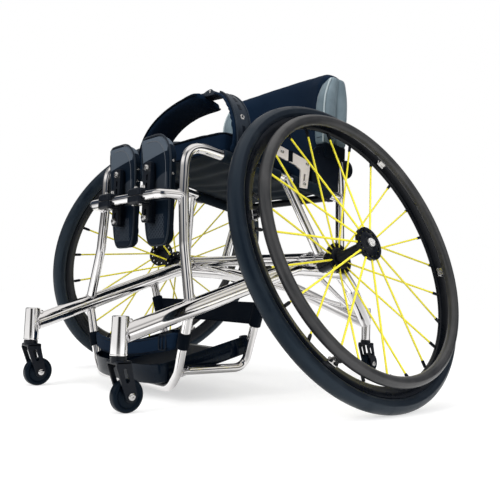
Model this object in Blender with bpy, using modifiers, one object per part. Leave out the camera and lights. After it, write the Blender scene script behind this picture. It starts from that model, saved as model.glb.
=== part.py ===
"""Tennis wheelchair: a rigid tube frame on two cambered wheels and three small casters.

The chair faces -Y, +X is its left side and the floor is z = 0. Everything is placed from the
point below the middle of the wheel axle, and the empty called chair then centres the whole.
"""

import math

import bmesh
import bpy
from mathutils import Matrix, Vector

# Clearances
GAP = 0.0003
RUNNING_GAP = 0.0006

# Large wheels
TYRE_SECTION = 0.030
TYRE_RISE = 0.012
CAMBER = math.radians(20.4)
WHEEL_STEPS = 48
RIM_SEAT_RADIUS = 0.285
RIM_DEPTH = 0.022
RIM_HALF_WIDTH = 0.0115
RIM_EDGE_HALF_WIDTH = 0.003
HANDRIM_INSET = 0.0215
HANDRIM_TUBE_RADIUS = 0.0108
HANDRIM_OFFSET = 0.0335
HANDRIM_TAB_COUNT = 6
HANDRIM_TAB_WIDTH = 0.016
HANDRIM_TAB_THICKNESS = 0.004
HANDRIM_TAB_SHIFT = 0.004
HANDRIM_PHASE = math.radians(7.0)
SPOKE_COUNT = 24
SPOKE_RADIUS = 0.0020
SPOKE_SIDES = 4
SPOKE_PHASE = math.radians(3.0)
NIPPLE_RADIUS = 0.0032
NIPPLE_LENGTH = 0.015

# Hubs and quick release axles
HUB_RADIUS = 0.0135
HUB_INNER_END = 0.050
HUB_OUTER_END = 0.0365
FLANGE_THICKNESS = 0.008
INNER_FLANGE_OFFSET = 0.044
INNER_FLANGE_RADIUS = 0.032
OUTER_FLANGE_OFFSET = 0.031
OUTER_FLANGE_RADIUS = 0.0335
PIN_RADIUS = 0.00635
PIN_INSERTION = 0.040
PIN_HEAD_RADIUS = 0.0085
PIN_HEAD_LENGTH = 0.004
BUTTON_RADIUS = 0.0050
BUTTON_REACH = 0.003
BUTTON_TRAVEL = 0.0025
BUTTON_LENGTH = 0.008

# Axle tube
AXLE_TUBE_RADIUS = 0.0125
AXLE_TUBE_DROP = 0.0144
AXLE_TUBE_OVERHANG = 0.045
HUB_STANDOFF = 0.0705
SOCKET_RADIUS = 0.0140
SOCKET_END_WALL = 0.003

# Frame tubes
SIDE_TUBE_RADIUS = 0.016
FRAME_TUBE_RADIUS = 0.0095
FOOT_TUBE_RADIUS = 0.0085
BRACE_RADIUS = 0.006
SIDE_HALF_WIDTH = 0.200
SIDE_TUBE_DROP = 0.021
SIDE_KINK_Y = -0.045
SIDE_TURN_Y = 0.095
SIDE_DROP_INSET = 0.095
SIDE_DROP_Y = 0.250
SIDE_DROP_HEIGHT = 0.026
SIDE_BEND = 0.100
MITRE_REACH = 0.100

# Front casters and the rear caster share one fork and wheel
CASTER_INSET = 0.028
CASTER_FORWARD = 0.4195
HOUSING_RADIUS = 0.014
HOUSING_BOTTOM = 0.092
HOUSING_HEIGHT = 0.064
HOUSING_LID = 0.004
TAIL_BACK = 0.459
TAIL_HOUSING_RADIUS = 0.0125
TAIL_HOUSING_HEIGHT = 0.088
TAIL_TUBE_RISE = 0.046
STEM_RADIUS = 0.006
CASTER_RADIUS = 0.028
CASTER_HALF_WIDTH = 0.009
CASTER_HUB_RADIUS = 0.0095
CASTER_HUB_HALF_WIDTH = 0.0115
CASTER_TREAD_HALF_WIDTH = 0.0055
CASTER_TRAIL = 0.0185
FORK_PLATE = 0.004
FORK_CROWN = 0.007
FORK_CROWN_RADIUS = 0.0135
FORK_BRIDGE = 0.006
FORK_FRONT = 0.012
FORK_REAR = 0.016
FORK_BOSS_RADIUS = 0.010
BOLT_RADIUS = 0.004
BOLT_HEAD_RADIUS = 0.0065
BOLT_HEAD_HEIGHT = 0.003

# Front uprights, seat rails and back posts
UPRIGHT_FOOT_Y = -0.289
UPRIGHT_LOW_INSET = 0.020
UPRIGHT_LOW_Z = 0.284
UPRIGHT_TOP_INSET = 0.010
UPRIGHT_Y = -0.286
UPRIGHT_BEND = 0.075
RAIL_FRONT_Z = 0.473
RAIL_REAR_Z = 0.425
POST_FOOT_Y = 0.095
POST_KINK_INSET = 0.032
POST_KINK_Y = 0.125
POST_KINK_Z = 0.450
POST_TOP_INSET = 0.018
POST_TOP_Y = 0.120
POST_TOP_Z = 0.690
STRUT_TOP_Y = -0.045
STRUT_FOOT_OUTSET = 0.028

# Knee bar and knee pads
BAR_Z = 0.375
BAR_INSET = 0.018
BAR_FORWARD = 0.326
BAR_BEND = 0.018
PAD_SIDE_GAP = 0.017
PAD_HALF_GAP = 0.0075
PAD_HEIGHT = 0.215
PAD_THICKNESS = 0.020
PAD_BOTTOM_Z = 0.285
PAD_TOE_TAPER = 0.034
PAD_MIDDLE_Y = -0.284
PAD_LEAN_SLOPE = 0.070
PAD_SHOULDER_SHARE = 0.28
PAD_SHOULDER_START = 0.4
PAD_EASED_SHARE = 0.042
PAD_TOE_SHARE = 0.25
PAD_TOE_START = 0.6
BRACKET_INSET = 0.0055
CLAMP_WIDTH = 0.042
CLAMP_BOLT_SPACING = 0.025
BRACKET_LOW_Z = 0.328
RIB_WIDTH = 0.012
BRACKET_WIDTH = 0.024
BRACKET_WALL = 0.0055
BRACKET_PLATE = 0.011
BRACKET_LENGTH = 0.117
BRACKET_BOLT_RADIUS = 0.0055
BRACKET_BOLT_HEIGHT = 0.003

# Foot frame and footplate
LEG_LOW_INSET = 0.006
LEG_LOW_Y = -0.282
LEG_LOW_Z = 0.056
CROSS_Z = 0.026
CROSS_CORNER_INSET = 0.022
RUNNER_INSET = 0.016
RUNNER_LOW_Y = -0.108
RUNNER_LOW_Z = 0.056
RUNNER_TOP_Y = -0.120
FOOT_BEND = 0.028
TRAY_WALL = 0.003
TRAY_HEIGHT = 0.037
TRAY_TILT = math.radians(13.8)
TRAY_FRONT = 0.030
TRAY_LENGTH = 0.233
TRAY_CORNER = 0.035

# Seat
SLING_FRONT_Y = -0.205
SLEEVE_STRUT_SPACE = 0.018
SLEEVE_REAR_Y = 0.086
SLING_REAR_Y = 0.098
SLING_THICKNESS = 0.003
SLEEVE_WALL = 0.003
SLING_FOLD = 0.002
SLING_FOLD_COUNT = 4
CUSHION_INSET = 0.0035
CUSHION_FRONT_Y = -0.190
CUSHION_REAR_Y = 0.095
CUSHION_THICKNESS = 0.060
CUSHION_CROWN = 0.006
SEAT_TUBE_Y = 0.108

# Seat plates and side panels
PLATE_THICKNESS = 0.004
PLATE_FRONT_Y = -0.088
PLATE_CORNER_Y = -0.034
PLATE_REAR_Y = 0.0105
PLATE_FOOT_FRONT_Y = -0.017
PLATE_FOOT_REAR_Y = 0.004
PLATE_FOOT_Z = 0.428
PLATE_CORNER_Z = 0.472
PLATE_ARM_LOW_Z = 0.482
PLATE_ARM_TOP_Z = 0.503
PLATE_REAR_Z = 0.486
PLATE_CHAMFER = 0.008
PANEL_THICKNESS = 0.004
PANEL_FRONT_Y = 0.030
PANEL_TOP_Z = 0.530
PANEL_OUTSET = 0.001
PANEL_CORNER = 0.015

# Backrest and push bar
BACK_OUTSET = 0.005
BACK_BOTTOM_Z = 0.500
BACK_TOP_Z = 0.712
BACK_THICKNESS = 0.036
BACK_HOLLOW = 0.003
BACK_MIDDLE_Y = 0.1145
LOBE_DEPTH = 0.050
LOBE_WIDTH = 0.042
LOBE_OUTSET = 0.010
LOBE_FRONT_Y = 0.078
LOBE_REAR_Y = 0.118
LOBE_BOTTOM_Z = 0.536
LOBE_TOP_Z = 0.704
PUSH_BAR_RADIUS = 0.021
PUSH_BAR_INSET = 0.002
PUSH_BAR_Z = 0.497
PUSH_BAR_NESTLE = 0.0005

# Thigh strap
STRAP_Y = -0.165
THIGH_PAD_WIDTH = 0.078
THIGH_PAD_THICKNESS = 0.019
THIGH_END_X = 0.052
THIGH_END_Z = 0.600
THIGH_SIDE_OUTSET = 0.044
THIGH_SIDE_Z = 0.589
THIGH_CREST_X = -0.015
THIGH_CREST_Z = 0.605
LADDER_WIDTH = 0.022
LADDER_THICKNESS = 0.0025
LADDER_SHOULDER = 0.050
LADDER_SIDE_OUTSET = 0.038
LADDER_SIDE_Z = 0.535
BACKING_WIDTH = 0.056
BACKING_THICKNESS = 0.008
BACKING_START_SHARE = 0.35
LADDER_STRAIGHT_SHARE = 0.30
BUCKLE_LENGTH = 0.072
BUCKLE_WALL = 0.0025
BUCKLE_SINK = 0.0028
BUCKLE_CHEEK_HEIGHT = 0.014
LEVER_LENGTH = 0.050
LEVER_THICKNESS = 0.0035
LEVER_BARREL_RADIUS = 0.0036
LEVER_PIN_RADIUS = 0.002
LEVER_HINGE_HEIGHT = 0.0098

# Calf strap and foot strap
CALF_STRAP_BOTTOM_Z = 0.142
CALF_STRAP_TOP_Z = 0.186
CALF_STRAP_THICKNESS = 0.003
CALF_STRAP_SAG = 0.016
FOOT_STRAP_Z = 0.103
FOOT_STRAP_HEIGHT = 0.035
FOOT_STRAP_THICKNESS = 0.012
FOOT_STRAP_BOW = 0.020
FOOT_STRAP_SAG = 0.016
FOOT_STRAP_TILT = 0.010

# Tail brace
BRACE_AXLE_INSET = 0.020
BRACE_TAIL_Y = 0.352
BRACE_LANDING_X = 0.010
GUSSET_LENGTH = 0.045
GUSSET_THICKNESS = 0.004

# Derived places
SECTION_CENTRE_RADIUS = RIM_SEAT_RADIUS + TYRE_RISE
HUB_Z = SECTION_CENTRE_RADIUS * math.cos(CAMBER) + TYRE_SECTION / 2
HANDRIM_RADIUS = RIM_SEAT_RADIUS - HANDRIM_INSET
AXLE_TUBE_Z = HUB_Z - AXLE_TUBE_DROP
AXLE_TUBE_HALF_LENGTH = SIDE_HALF_WIDTH + AXLE_TUBE_OVERHANG
HALF_TRACK = AXLE_TUBE_HALF_LENGTH + HUB_STANDOFF
SIDE_TUBE_Z = AXLE_TUBE_Z - SIDE_TUBE_DROP
SIDE_DROP_X = SIDE_HALF_WIDTH - SIDE_DROP_INSET
SIDE_DROP_Z = SIDE_TUBE_Z - SIDE_DROP_HEIGHT
TAIL_TUBE_Z = HOUSING_BOTTOM + TAIL_TUBE_RISE
CASTER_HALF_TRACK = SIDE_HALF_WIDTH - CASTER_INSET
UPRIGHT_LOW_X = CASTER_HALF_TRACK - UPRIGHT_LOW_INSET
UPRIGHT_TOP_X = UPRIGHT_LOW_X - UPRIGHT_TOP_INSET
POST_KINK_X = SIDE_HALF_WIDTH - POST_KINK_INSET
POST_TOP_X = POST_KINK_X - POST_TOP_INSET
STRUT_FOOT_X = SIDE_HALF_WIDTH + STRUT_FOOT_OUTSET
BAR_HALF_LENGTH = UPRIGHT_TOP_X - BAR_INSET
PAD_WIDTH = UPRIGHT_TOP_X - FRAME_TUBE_RADIUS - PAD_SIDE_GAP - PAD_HALF_GAP
PAD_CENTRE_X = PAD_HALF_GAP + PAD_WIDTH / 2
PAD_TOE_WIDTH = PAD_WIDTH - PAD_TOE_TAPER
BRACKET_X = PAD_CENTRE_X - BRACKET_INSET
LEG_LOW_X = UPRIGHT_LOW_X - LEG_LOW_INSET
CROSS_CORNER_X = LEG_LOW_X - CROSS_CORNER_INSET
RUNNER_X = LEG_LOW_X - RUNNER_INSET
CUSHION_WIDTH = 2 * (UPRIGHT_TOP_X - CUSHION_INSET)
PANEL_X = POST_KINK_X + PANEL_OUTSET
BACK_HALF_WIDTH = POST_TOP_X + BACK_OUTSET
LOBE_X = POST_TOP_X + LOBE_OUTSET
PUSH_BAR_HALF_LENGTH = POST_KINK_X - PUSH_BAR_INSET
THIGH_SIDE_X = UPRIGHT_TOP_X + THIGH_SIDE_OUTSET
LADDER_SIDE_X = UPRIGHT_TOP_X + LADDER_SIDE_OUTSET
BRACE_AXLE_X = SIDE_HALF_WIDTH - BRACE_AXLE_INSET
RIM_INNER_RADIUS = RIM_SEAT_RADIUS - RIM_DEPTH
RIM_SHOULDER_RADIUS = RIM_SEAT_RADIUS - RIM_DEPTH * 0.30
HOUSING_TOP = HOUSING_BOTTOM + HOUSING_HEIGHT
HOUSING_MID = HOUSING_BOTTOM + HOUSING_HEIGHT / 2
FRONT_REACH = CASTER_FORWARD + HOUSING_RADIUS
REAR_REACH = TAIL_BACK + CASTER_TRAIL + CASTER_RADIUS
AXLE_Y = (FRONT_REACH - REAR_REACH) / 2
SLEEVE_RADIUS = FRAME_TUBE_RADIUS + GAP + SLEEVE_WALL
SIDES = ((1, "left"), (-1, "right"))


def remove_all_objects():
    """Empty the scene."""
    for item in list(bpy.data.objects):
        bpy.data.objects.remove(item, do_unlink=True)


def make_collection(name):
    """Add a collection to the scene."""
    collection = bpy.data.collections.new(name)
    bpy.context.scene.collection.children.link(collection)
    return collection


remove_all_objects()
PARTS = make_collection("tennis_wheelchair")
CUTTERS = make_collection("cutters")
CHAIR = bpy.data.objects.new("chair", None)
CHAIR.location = (0.0, AXLE_Y, 0.0)
PARTS.objects.link(CHAIR)

FINISHES = {
    "polished": ((0.80, 0.80, 0.82), 0.12, 1.0),
    "steel": ((0.62, 0.62, 0.64), 0.25, 1.0),
    "black_metal": ((0.02, 0.02, 0.022), 0.35, 0.6),
    "black_plastic": ((0.018, 0.018, 0.02), 0.45, 0.0),
    "rubber": ((0.03, 0.03, 0.033), 0.75, 0.0),
    "black_fabric": ((0.015, 0.017, 0.022), 0.90, 0.0),
    "grey_fabric": ((0.10, 0.11, 0.12), 0.80, 0.0),
    "handrim_coat": ((0.12, 0.11, 0.11), 0.40, 0.2),
    "yellow_fibre": ((0.85, 0.78, 0.08), 0.45, 0.0),
    "button_metal": ((0.70, 0.70, 0.72), 0.30, 0.9),
}


def paint(item, finish):
    """Give a piece its own Principled material."""
    colour, roughness, metallic = FINISHES[finish]
    material = bpy.data.materials.new(item.name + "_" + finish)
    material.use_nodes = True
    shader = material.node_tree.nodes["Principled BSDF"]
    shader.inputs["Base Color"].default_value = (*colour, 1.0)
    shader.inputs["Roughness"].default_value = roughness
    shader.inputs["Metallic"].default_value = metallic
    material.diffuse_color = (*colour, 1.0)
    item.data.materials.clear()
    item.data.materials.append(material)


def bake(source, name):
    """Replace an object by a plain mesh object of what it evaluates to."""
    graph = bpy.context.evaluated_depsgraph_get()
    graph.update()
    mesh = bpy.data.meshes.new_from_object(source.evaluated_get(graph))
    place = source.matrix_world.copy()
    bpy.data.objects.remove(source, do_unlink=True)
    work = bmesh.new()
    work.from_mesh(mesh)
    bmesh.ops.transform(work, matrix=place, verts=work.verts)
    bmesh.ops.remove_doubles(work, verts=work.verts, dist=0.000005)
    work.to_mesh(mesh)
    work.free()
    mesh.shade_smooth()
    mesh.set_sharp_from_angle(angle=math.radians(35.0))
    result = bpy.data.objects.new(name, mesh)
    CUTTERS.objects.link(result)
    return result


def publish(item, name, finish, parent=None):
    """Make a finished piece one of the chair's parts."""
    CUTTERS.objects.unlink(item)
    PARTS.objects.link(item)
    item.name = name
    item.parent = parent or CHAIR
    paint(item, finish)
    return item


def as_cutter(item):
    """Keep an object only as the operand of a Boolean."""
    item.hide_render = True
    item.display_type = "WIRE"
    if item.parent is None:
        item.parent = CHAIR
    return item


def combine(target, operand, operation):
    """Add a Boolean of the operand to the target."""
    change = target.modifiers.new(operation.lower(), "BOOLEAN")
    change.operation = operation
    change.solver = "EXACT"
    change.object = as_cutter(operand)
    return target


def cut(target, *operands):
    """Take each operand away from the target."""
    for operand in operands:
        combine(target, operand, "DIFFERENCE")
    return target


def join(target, *operands):
    """Fuse each operand with the target."""
    for operand in operands:
        combine(target, operand, "UNION")
    return target


def link_source(data, name="source"):
    """Put raw data in the scene so that it can be evaluated."""
    item = bpy.data.objects.new(name, data)
    CUTTERS.objects.link(item)
    bpy.context.view_layer.update()
    return item


def turned(name, profile, steps=WHEEL_STEPS, place=None):
    """Turn (radius, height) pairs about Z, listed down the outer side from the top."""
    mesh = bpy.data.meshes.new(name)
    points = [(radius, 0.0, height) for radius, height in profile]
    edges = [(i, i + 1) for i in range(len(points) - 1)]
    if profile[0][0] > 0.0:
        edges.append((len(points) - 1, 0))
    mesh.from_pydata(points, edges, [])
    source = link_source(mesh)
    source.matrix_world = place or Matrix()
    bpy.context.view_layer.update()
    turn = source.modifiers.new("turn", "SCREW")
    turn.axis = "Z"
    turn.angle = math.tau
    turn.steps = steps
    turn.render_steps = steps
    turn.use_merge_vertices = True
    turn.merge_threshold = 0.00001
    return bake(source, name)


def bent_path(corners, radius):
    """Round each inner corner of a polyline with an arc."""
    corners = [Vector(corner) for corner in corners]
    path = [corners[0]]
    for before, corner, after in zip(corners, corners[1:], corners[2:]):
        back = (before - corner)
        ahead = (after - corner)
        turn = math.pi - back.angle(ahead)
        reach = min(radius * math.tan(turn / 2), 0.45 * back.length, 0.45 * ahead.length)
        start = corner + back.normalized() * reach
        end = corner + ahead.normalized() * reach
        count = max(1, math.ceil(math.degrees(turn) / 18.0))
        for step in range(count + 1):
            share = step / count
            path.append((1 - share) ** 2 * start + 2 * share * (1 - share) * corner + share ** 2 * end)
    path.append(corners[-1])
    return path


def tube(name, path, radius, resolution=3):
    """Sweep a round section along a path as a closed mesh."""
    curve = bpy.data.curves.new(name, "CURVE")
    curve.dimensions = "3D"
    curve.bevel_depth = radius
    curve.bevel_resolution = resolution
    curve.use_fill_caps = True
    spline = curve.splines.new("POLY")
    spline.points.add(len(path) - 1)
    for point, place in zip(spline.points, path):
        point.co = (*place, 1.0)
    return bake(link_source(curve), name)


def flat_plate(name, outline, thickness, place):
    """Extrude an outline, centred on its plane."""
    curve = bpy.data.curves.new(name, "CURVE")
    curve.dimensions = "2D"
    curve.fill_mode = "BOTH"
    curve.extrude = thickness / 2
    spline = curve.splines.new("POLY")
    spline.points.add(len(outline) - 1)
    spline.use_cyclic_u = True
    for point, (across, up) in zip(spline.points, outline):
        point.co = (across, up, 0.0, 1.0)
    source = link_source(curve)
    source.matrix_world = place
    bpy.context.view_layer.update()
    return bake(source, name)


def block(name, low, high, bevel=0.0):
    """Make a box between two corners."""
    work = bmesh.new()
    bmesh.ops.create_cube(work, size=1.0)
    size = Vector(high) - Vector(low)
    middle = (Vector(high) + Vector(low)) / 2
    bmesh.ops.scale(work, vec=size, verts=work.verts)
    bmesh.ops.translate(work, vec=middle, verts=work.verts)
    if bevel > 0.0:
        bmesh.ops.bevel(work, geom=work.edges[:], offset=bevel, segments=1, affect="EDGES")
    mesh = bpy.data.meshes.new(name)
    work.to_mesh(mesh)
    work.free()
    item = bpy.data.objects.new(name, mesh)
    CUTTERS.objects.link(item)
    return item


def cylinder(name, start, end, radius, sides=24):
    """Make a solid cylinder between two points."""
    start = Vector(start)
    end = Vector(end)
    axis = end - start
    place = Matrix.Translation((start + end) / 2) @ axis.to_track_quat("Z", "Y").to_matrix().to_4x4()
    work = bmesh.new()
    bmesh.ops.create_cone(
        work, cap_ends=True, segments=sides, radius1=radius, radius2=radius,
        depth=axis.length, matrix=place,
    )
    mesh = bpy.data.meshes.new(name)
    work.to_mesh(mesh)
    work.free()
    mesh.shade_smooth()
    mesh.set_sharp_from_angle(angle=math.radians(35.0))
    item = bpy.data.objects.new(name, mesh)
    CUTTERS.objects.link(item)
    return item


def soft_block(name, shape, cuts, margins=(0.0, 0.0, 0.0)):
    """Map a cube, cut along each axis, through a shape function and smooth it.

    A margin above zero moves an axis's outermost cuts to that share of the half size from the end.
    """
    work = bmesh.new()
    bmesh.ops.create_cube(work, size=2.0)
    for axis, count in enumerate(cuts):
        along = [
            edge for edge in work.edges
            if abs(edge.verts[0].co[axis] - edge.verts[1].co[axis]) > 1.5
        ]
        bmesh.ops.subdivide_edges(work, edges=along, cuts=count, use_grid_fill=True)
    for axis, (count, margin) in enumerate(zip(cuts, margins)):
        if margin > 0.0:
            stretch = (1.0 - margin) * (count + 1) / (count - 1)
            for vert in work.verts:
                if abs(vert.co[axis]) < 0.999:
                    vert.co[axis] *= stretch
    for vert in work.verts:
        vert.co = shape(*vert.co)
    if work.calc_volume(signed=True) < 0.0:
        bmesh.ops.reverse_faces(work, faces=work.faces)
    mesh = bpy.data.meshes.new(name)
    work.to_mesh(mesh)
    work.free()
    source = link_source(mesh)
    smooth = source.modifiers.new("smooth", "SUBSURF")
    smooth.levels = 1
    smooth.render_levels = 1
    return bake(source, name)


def sheet(name, surface, columns, rows, thickness):
    """Solidify an open surface given by a function of two shares from 0 to 1."""
    work = bmesh.new()
    bmesh.ops.create_grid(work, x_segments=columns, y_segments=rows, size=0.5)
    for vert in work.verts:
        vert.co = surface(vert.co.x + 0.5, vert.co.y + 0.5)
    mesh = bpy.data.meshes.new(name)
    work.to_mesh(mesh)
    work.free()
    source = link_source(mesh)
    thicken = source.modifiers.new("thicken", "SOLIDIFY")
    thicken.thickness = thickness
    thicken.offset = 0.0
    return bake(source, name)


# Paths that several pieces share


def sided(side, x, y, z):
    """Mirror a point of the left side where side is -1."""
    return Vector((side * x, y, z))


def front_slope(y):
    """Give x and z of the side tube's centre between the caster and the kink."""
    share = (y + CASTER_FORWARD) / (SIDE_KINK_Y + CASTER_FORWARD)
    x = CASTER_HALF_TRACK + share * (SIDE_HALF_WIDTH - CASTER_HALF_TRACK)
    z = HOUSING_MID + share * (SIDE_TUBE_Z - HOUSING_MID)
    return x, z


def side_tube_path(side):
    """Run from the caster housing past the axle and in to the tail."""
    return bent_path(
        [
            sided(side, CASTER_HALF_TRACK, -CASTER_FORWARD, HOUSING_MID),
            sided(side, SIDE_HALF_WIDTH, SIDE_KINK_Y, SIDE_TUBE_Z),
            sided(side, SIDE_HALF_WIDTH, SIDE_TURN_Y, SIDE_TUBE_Z),
            sided(side, SIDE_DROP_X, SIDE_DROP_Y, SIDE_DROP_Z),
            sided(side, 0.0, TAIL_BACK, TAIL_TUBE_Z),
        ],
        SIDE_BEND,
    )


def post_path(side):
    """Run from the side tube up to the top of the back."""
    return bent_path(
        [
            sided(side, SIDE_HALF_WIDTH, POST_FOOT_Y, SIDE_TUBE_Z),
            sided(side, POST_KINK_X, POST_KINK_Y, POST_KINK_Z),
            sided(side, POST_TOP_X, POST_TOP_Y, POST_TOP_Z),
        ],
        SIDE_BEND,
    )


def post_at(side, z):
    """Give the post's centre at a height."""
    low = sided(side, SIDE_HALF_WIDTH, POST_FOOT_Y, SIDE_TUBE_Z)
    kink = sided(side, POST_KINK_X, POST_KINK_Y, POST_KINK_Z)
    top = sided(side, POST_TOP_X, POST_TOP_Y, POST_TOP_Z)
    if z < POST_KINK_Z:
        return low.lerp(kink, (z - low.z) / (kink.z - low.z))
    return kink.lerp(top, (z - kink.z) / (top.z - kink.z))


def rail_corner(side):
    """Give the corner where the upright turns into the seat rail."""
    return sided(side, UPRIGHT_TOP_X, UPRIGHT_Y, RAIL_FRONT_Z)


def rail_at(side, y):
    """Give the seat rail's centre at a place along the chair."""
    front = rail_corner(side)
    rear = post_at(side, RAIL_REAR_Z)
    return front.lerp(rear, (y - front.y) / (rear.y - front.y))


def rail_end(side):
    """Give the end of the seat rail, just inside the post's wall."""
    return rail_at(side, post_at(side, RAIL_REAR_Z).y - FRAME_TUBE_RADIUS / 2)


def upright_path(side):
    """Run from the side tube up and back along the seat."""
    foot_x, foot_z = front_slope(UPRIGHT_FOOT_Y)
    return bent_path(
        [
            sided(side, foot_x, UPRIGHT_FOOT_Y, foot_z),
            sided(side, UPRIGHT_LOW_X, UPRIGHT_Y, UPRIGHT_LOW_Z),
            sided(side, UPRIGHT_TOP_X, UPRIGHT_Y, BAR_Z),
            rail_corner(side),
            rail_end(side),
        ],
        UPRIGHT_BEND,
    )


def leg_path(side):
    """Run from the side tube down to the low corner of the foot frame."""
    foot_x, foot_z = front_slope(UPRIGHT_FOOT_Y)
    return [sided(side, foot_x, UPRIGHT_FOOT_Y, foot_z), sided(side, LEG_LOW_X, LEG_LOW_Y, LEG_LOW_Z)]


def foot_loop_path():
    """Run down one front leg, across below the feet and up the other."""
    left = leg_path(1) + [sided(1, CROSS_CORNER_X, LEG_LOW_Y, CROSS_Z)]
    right = [sided(-1, CROSS_CORNER_X, LEG_LOW_Y, CROSS_Z)] + leg_path(-1)[::-1]
    return bent_path(left + right, FOOT_BEND)


def runner_top(side):
    """Give the place where the runner meets the side tube."""
    x, z = front_slope(RUNNER_TOP_Y)
    return sided(side, x, RUNNER_TOP_Y, z)


def runner_path(side):
    """Run back from the front leg and up to the side tube."""
    return bent_path(
        [
            sided(side, LEG_LOW_X, LEG_LOW_Y, LEG_LOW_Z),
            sided(side, RUNNER_X, LEG_LOW_Y + FOOT_BEND, RUNNER_LOW_Z),
            sided(side, RUNNER_X, RUNNER_LOW_Y, RUNNER_LOW_Z),
            runner_top(side),
        ],
        FOOT_BEND,
    )


def runner_at(side, z):
    """Give the centre of the runner's rising stretch at a height."""
    low = sided(side, RUNNER_X, RUNNER_LOW_Y, RUNNER_LOW_Z)
    top = runner_top(side)
    return low.lerp(top, (z - low.z) / (top.z - low.z))


def knee_bar_path():
    """Run from upright to upright in front of the knees."""
    return bent_path(
        [
            sided(1, UPRIGHT_TOP_X, UPRIGHT_Y, BAR_Z),
            sided(1, BAR_HALF_LENGTH, -BAR_FORWARD, BAR_Z),
            sided(-1, BAR_HALF_LENGTH, -BAR_FORWARD, BAR_Z),
            sided(-1, UPRIGHT_TOP_X, UPRIGHT_Y, BAR_Z),
        ],
        BAR_BEND,
    )


def axle_place(side):
    """Give the frame of a wheel: origin at the hub, Z outward along the axle, Y down."""
    outward = sided(side, math.cos(CAMBER), 0.0, math.sin(CAMBER))
    level = Vector((0.0, -side, 0.0))
    down = outward.cross(level)
    place = Matrix((level, down, outward)).transposed().to_4x4()
    place.translation = sided(side, HALF_TRACK, 0.0, HUB_Z)
    return place


# Large wheels


def rim_half_width(radius):
    """Give half the rim's width at a radius below its shoulder."""
    share = (radius - RIM_INNER_RADIUS) / (RIM_SHOULDER_RADIUS - RIM_INNER_RADIUS)
    return RIM_EDGE_HALF_WIDTH + share * (RIM_HALF_WIDTH - RIM_EDGE_HALF_WIDTH)


def tyre_profile():
    """Cut a round section flat where it sits on the rim, with one corner toward the floor."""
    half = TYRE_SECTION / 2
    seat = RIM_SEAT_RADIUS + GAP
    seat_half = math.sqrt(half ** 2 - (SECTION_CENTRE_RADIUS - seat) ** 2)
    points = [(seat, seat_half)]
    for step in range(3, -3, -1):
        angle = math.tau * step / 8 - CAMBER
        points.append((SECTION_CENTRE_RADIUS + half * math.cos(angle), half * math.sin(angle)))
    points.append((seat, -seat_half))
    return points


def rim_profile():
    """Draw a deep rim that narrows toward the hub."""
    return [
        (RIM_SEAT_RADIUS, RIM_HALF_WIDTH),
        (RIM_SEAT_RADIUS, -RIM_HALF_WIDTH),
        (RIM_SHOULDER_RADIUS, -RIM_HALF_WIDTH),
        (RIM_INNER_RADIUS, -RIM_EDGE_HALF_WIDTH),
        (RIM_INNER_RADIUS, RIM_EDGE_HALF_WIDTH),
        (RIM_SHOULDER_RADIUS, RIM_HALF_WIDTH),
    ]


def handrim_profile():
    """Draw the round section of the handrim."""
    points = []
    for step in range(8):
        angle = math.radians(67.5) - math.tau * step / 8
        points.append(
            (
                HANDRIM_RADIUS + HANDRIM_TUBE_RADIUS * math.cos(angle),
                HANDRIM_OFFSET + HANDRIM_TUBE_RADIUS * math.sin(angle),
            )
        )
    return points


def handrim_tab(index):
    """Make one tab between the rim's side and the handrim."""
    angle = HANDRIM_PHASE + math.tau * index / HANDRIM_TAB_COUNT
    inner = HANDRIM_RADIUS + HANDRIM_TAB_SHIFT - HANDRIM_TAB_THICKNESS / 2
    outer = inner + HANDRIM_TAB_THICKNESS
    root = rim_half_width(outer / math.cos(math.pi / WHEEL_STEPS)) + GAP
    tab = block(
        "tab",
        (inner, -HANDRIM_TAB_WIDTH / 2, root),
        (outer, HANDRIM_TAB_WIDTH / 2, HANDRIM_OFFSET),
    )
    tab.data.transform(Matrix.Rotation(-angle, 4, "Z"))
    return tab


def spoke_wheel(offset, flange_radius, first):
    """Make every second spoke, fused to the flange disc that holds them."""
    half = FLANGE_THICKNESS / 2
    bore = HUB_RADIUS + GAP
    disc = turned(
        "disc",
        [
            (bore, offset + half),
            (flange_radius, offset + half),
            (flange_radius, offset - half),
            (bore, offset - half),
        ],
        steps=24,
    )
    facet = math.cos(math.pi / WHEEL_STEPS)
    hub_end = Vector((flange_radius - FLANGE_THICKNESS, 0.0, offset))
    lean = math.atan2(abs(offset), RIM_INNER_RADIUS - hub_end.x)
    rim_end = Vector((RIM_INNER_RADIUS * facet - GAP - NIPPLE_RADIUS * math.sin(lean), 0.0, 0.0))
    length = (rim_end - hub_end).length
    profile = [
        (0.0, length),
        (NIPPLE_RADIUS, length),
        (NIPPLE_RADIUS, length - NIPPLE_LENGTH),
        (SPOKE_RADIUS, length - NIPPLE_LENGTH - SPOKE_RADIUS),
        (SPOKE_RADIUS, 0.0),
        (0.0, 0.0),
    ]
    aim = (rim_end - hub_end).to_track_quat("Z", "Y").to_matrix().to_4x4()
    for index in range(first, SPOKE_COUNT, 2):
        turn = Matrix.Rotation(-(SPOKE_PHASE + math.tau * index / SPOKE_COUNT), 4, "Z")
        join(disc, turned("spoke", profile, SPOKE_SIDES, turn @ Matrix.Translation(hub_end) @ aim))
    return disc


def hub_profile():
    """Draw the hub's barrel around its bore."""
    bore = PIN_RADIUS + RUNNING_GAP
    return [
        (bore, HUB_OUTER_END),
        (HUB_RADIUS, HUB_OUTER_END),
        (HUB_RADIUS, -HUB_INNER_END),
        (bore, -HUB_INNER_END),
    ]


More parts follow.
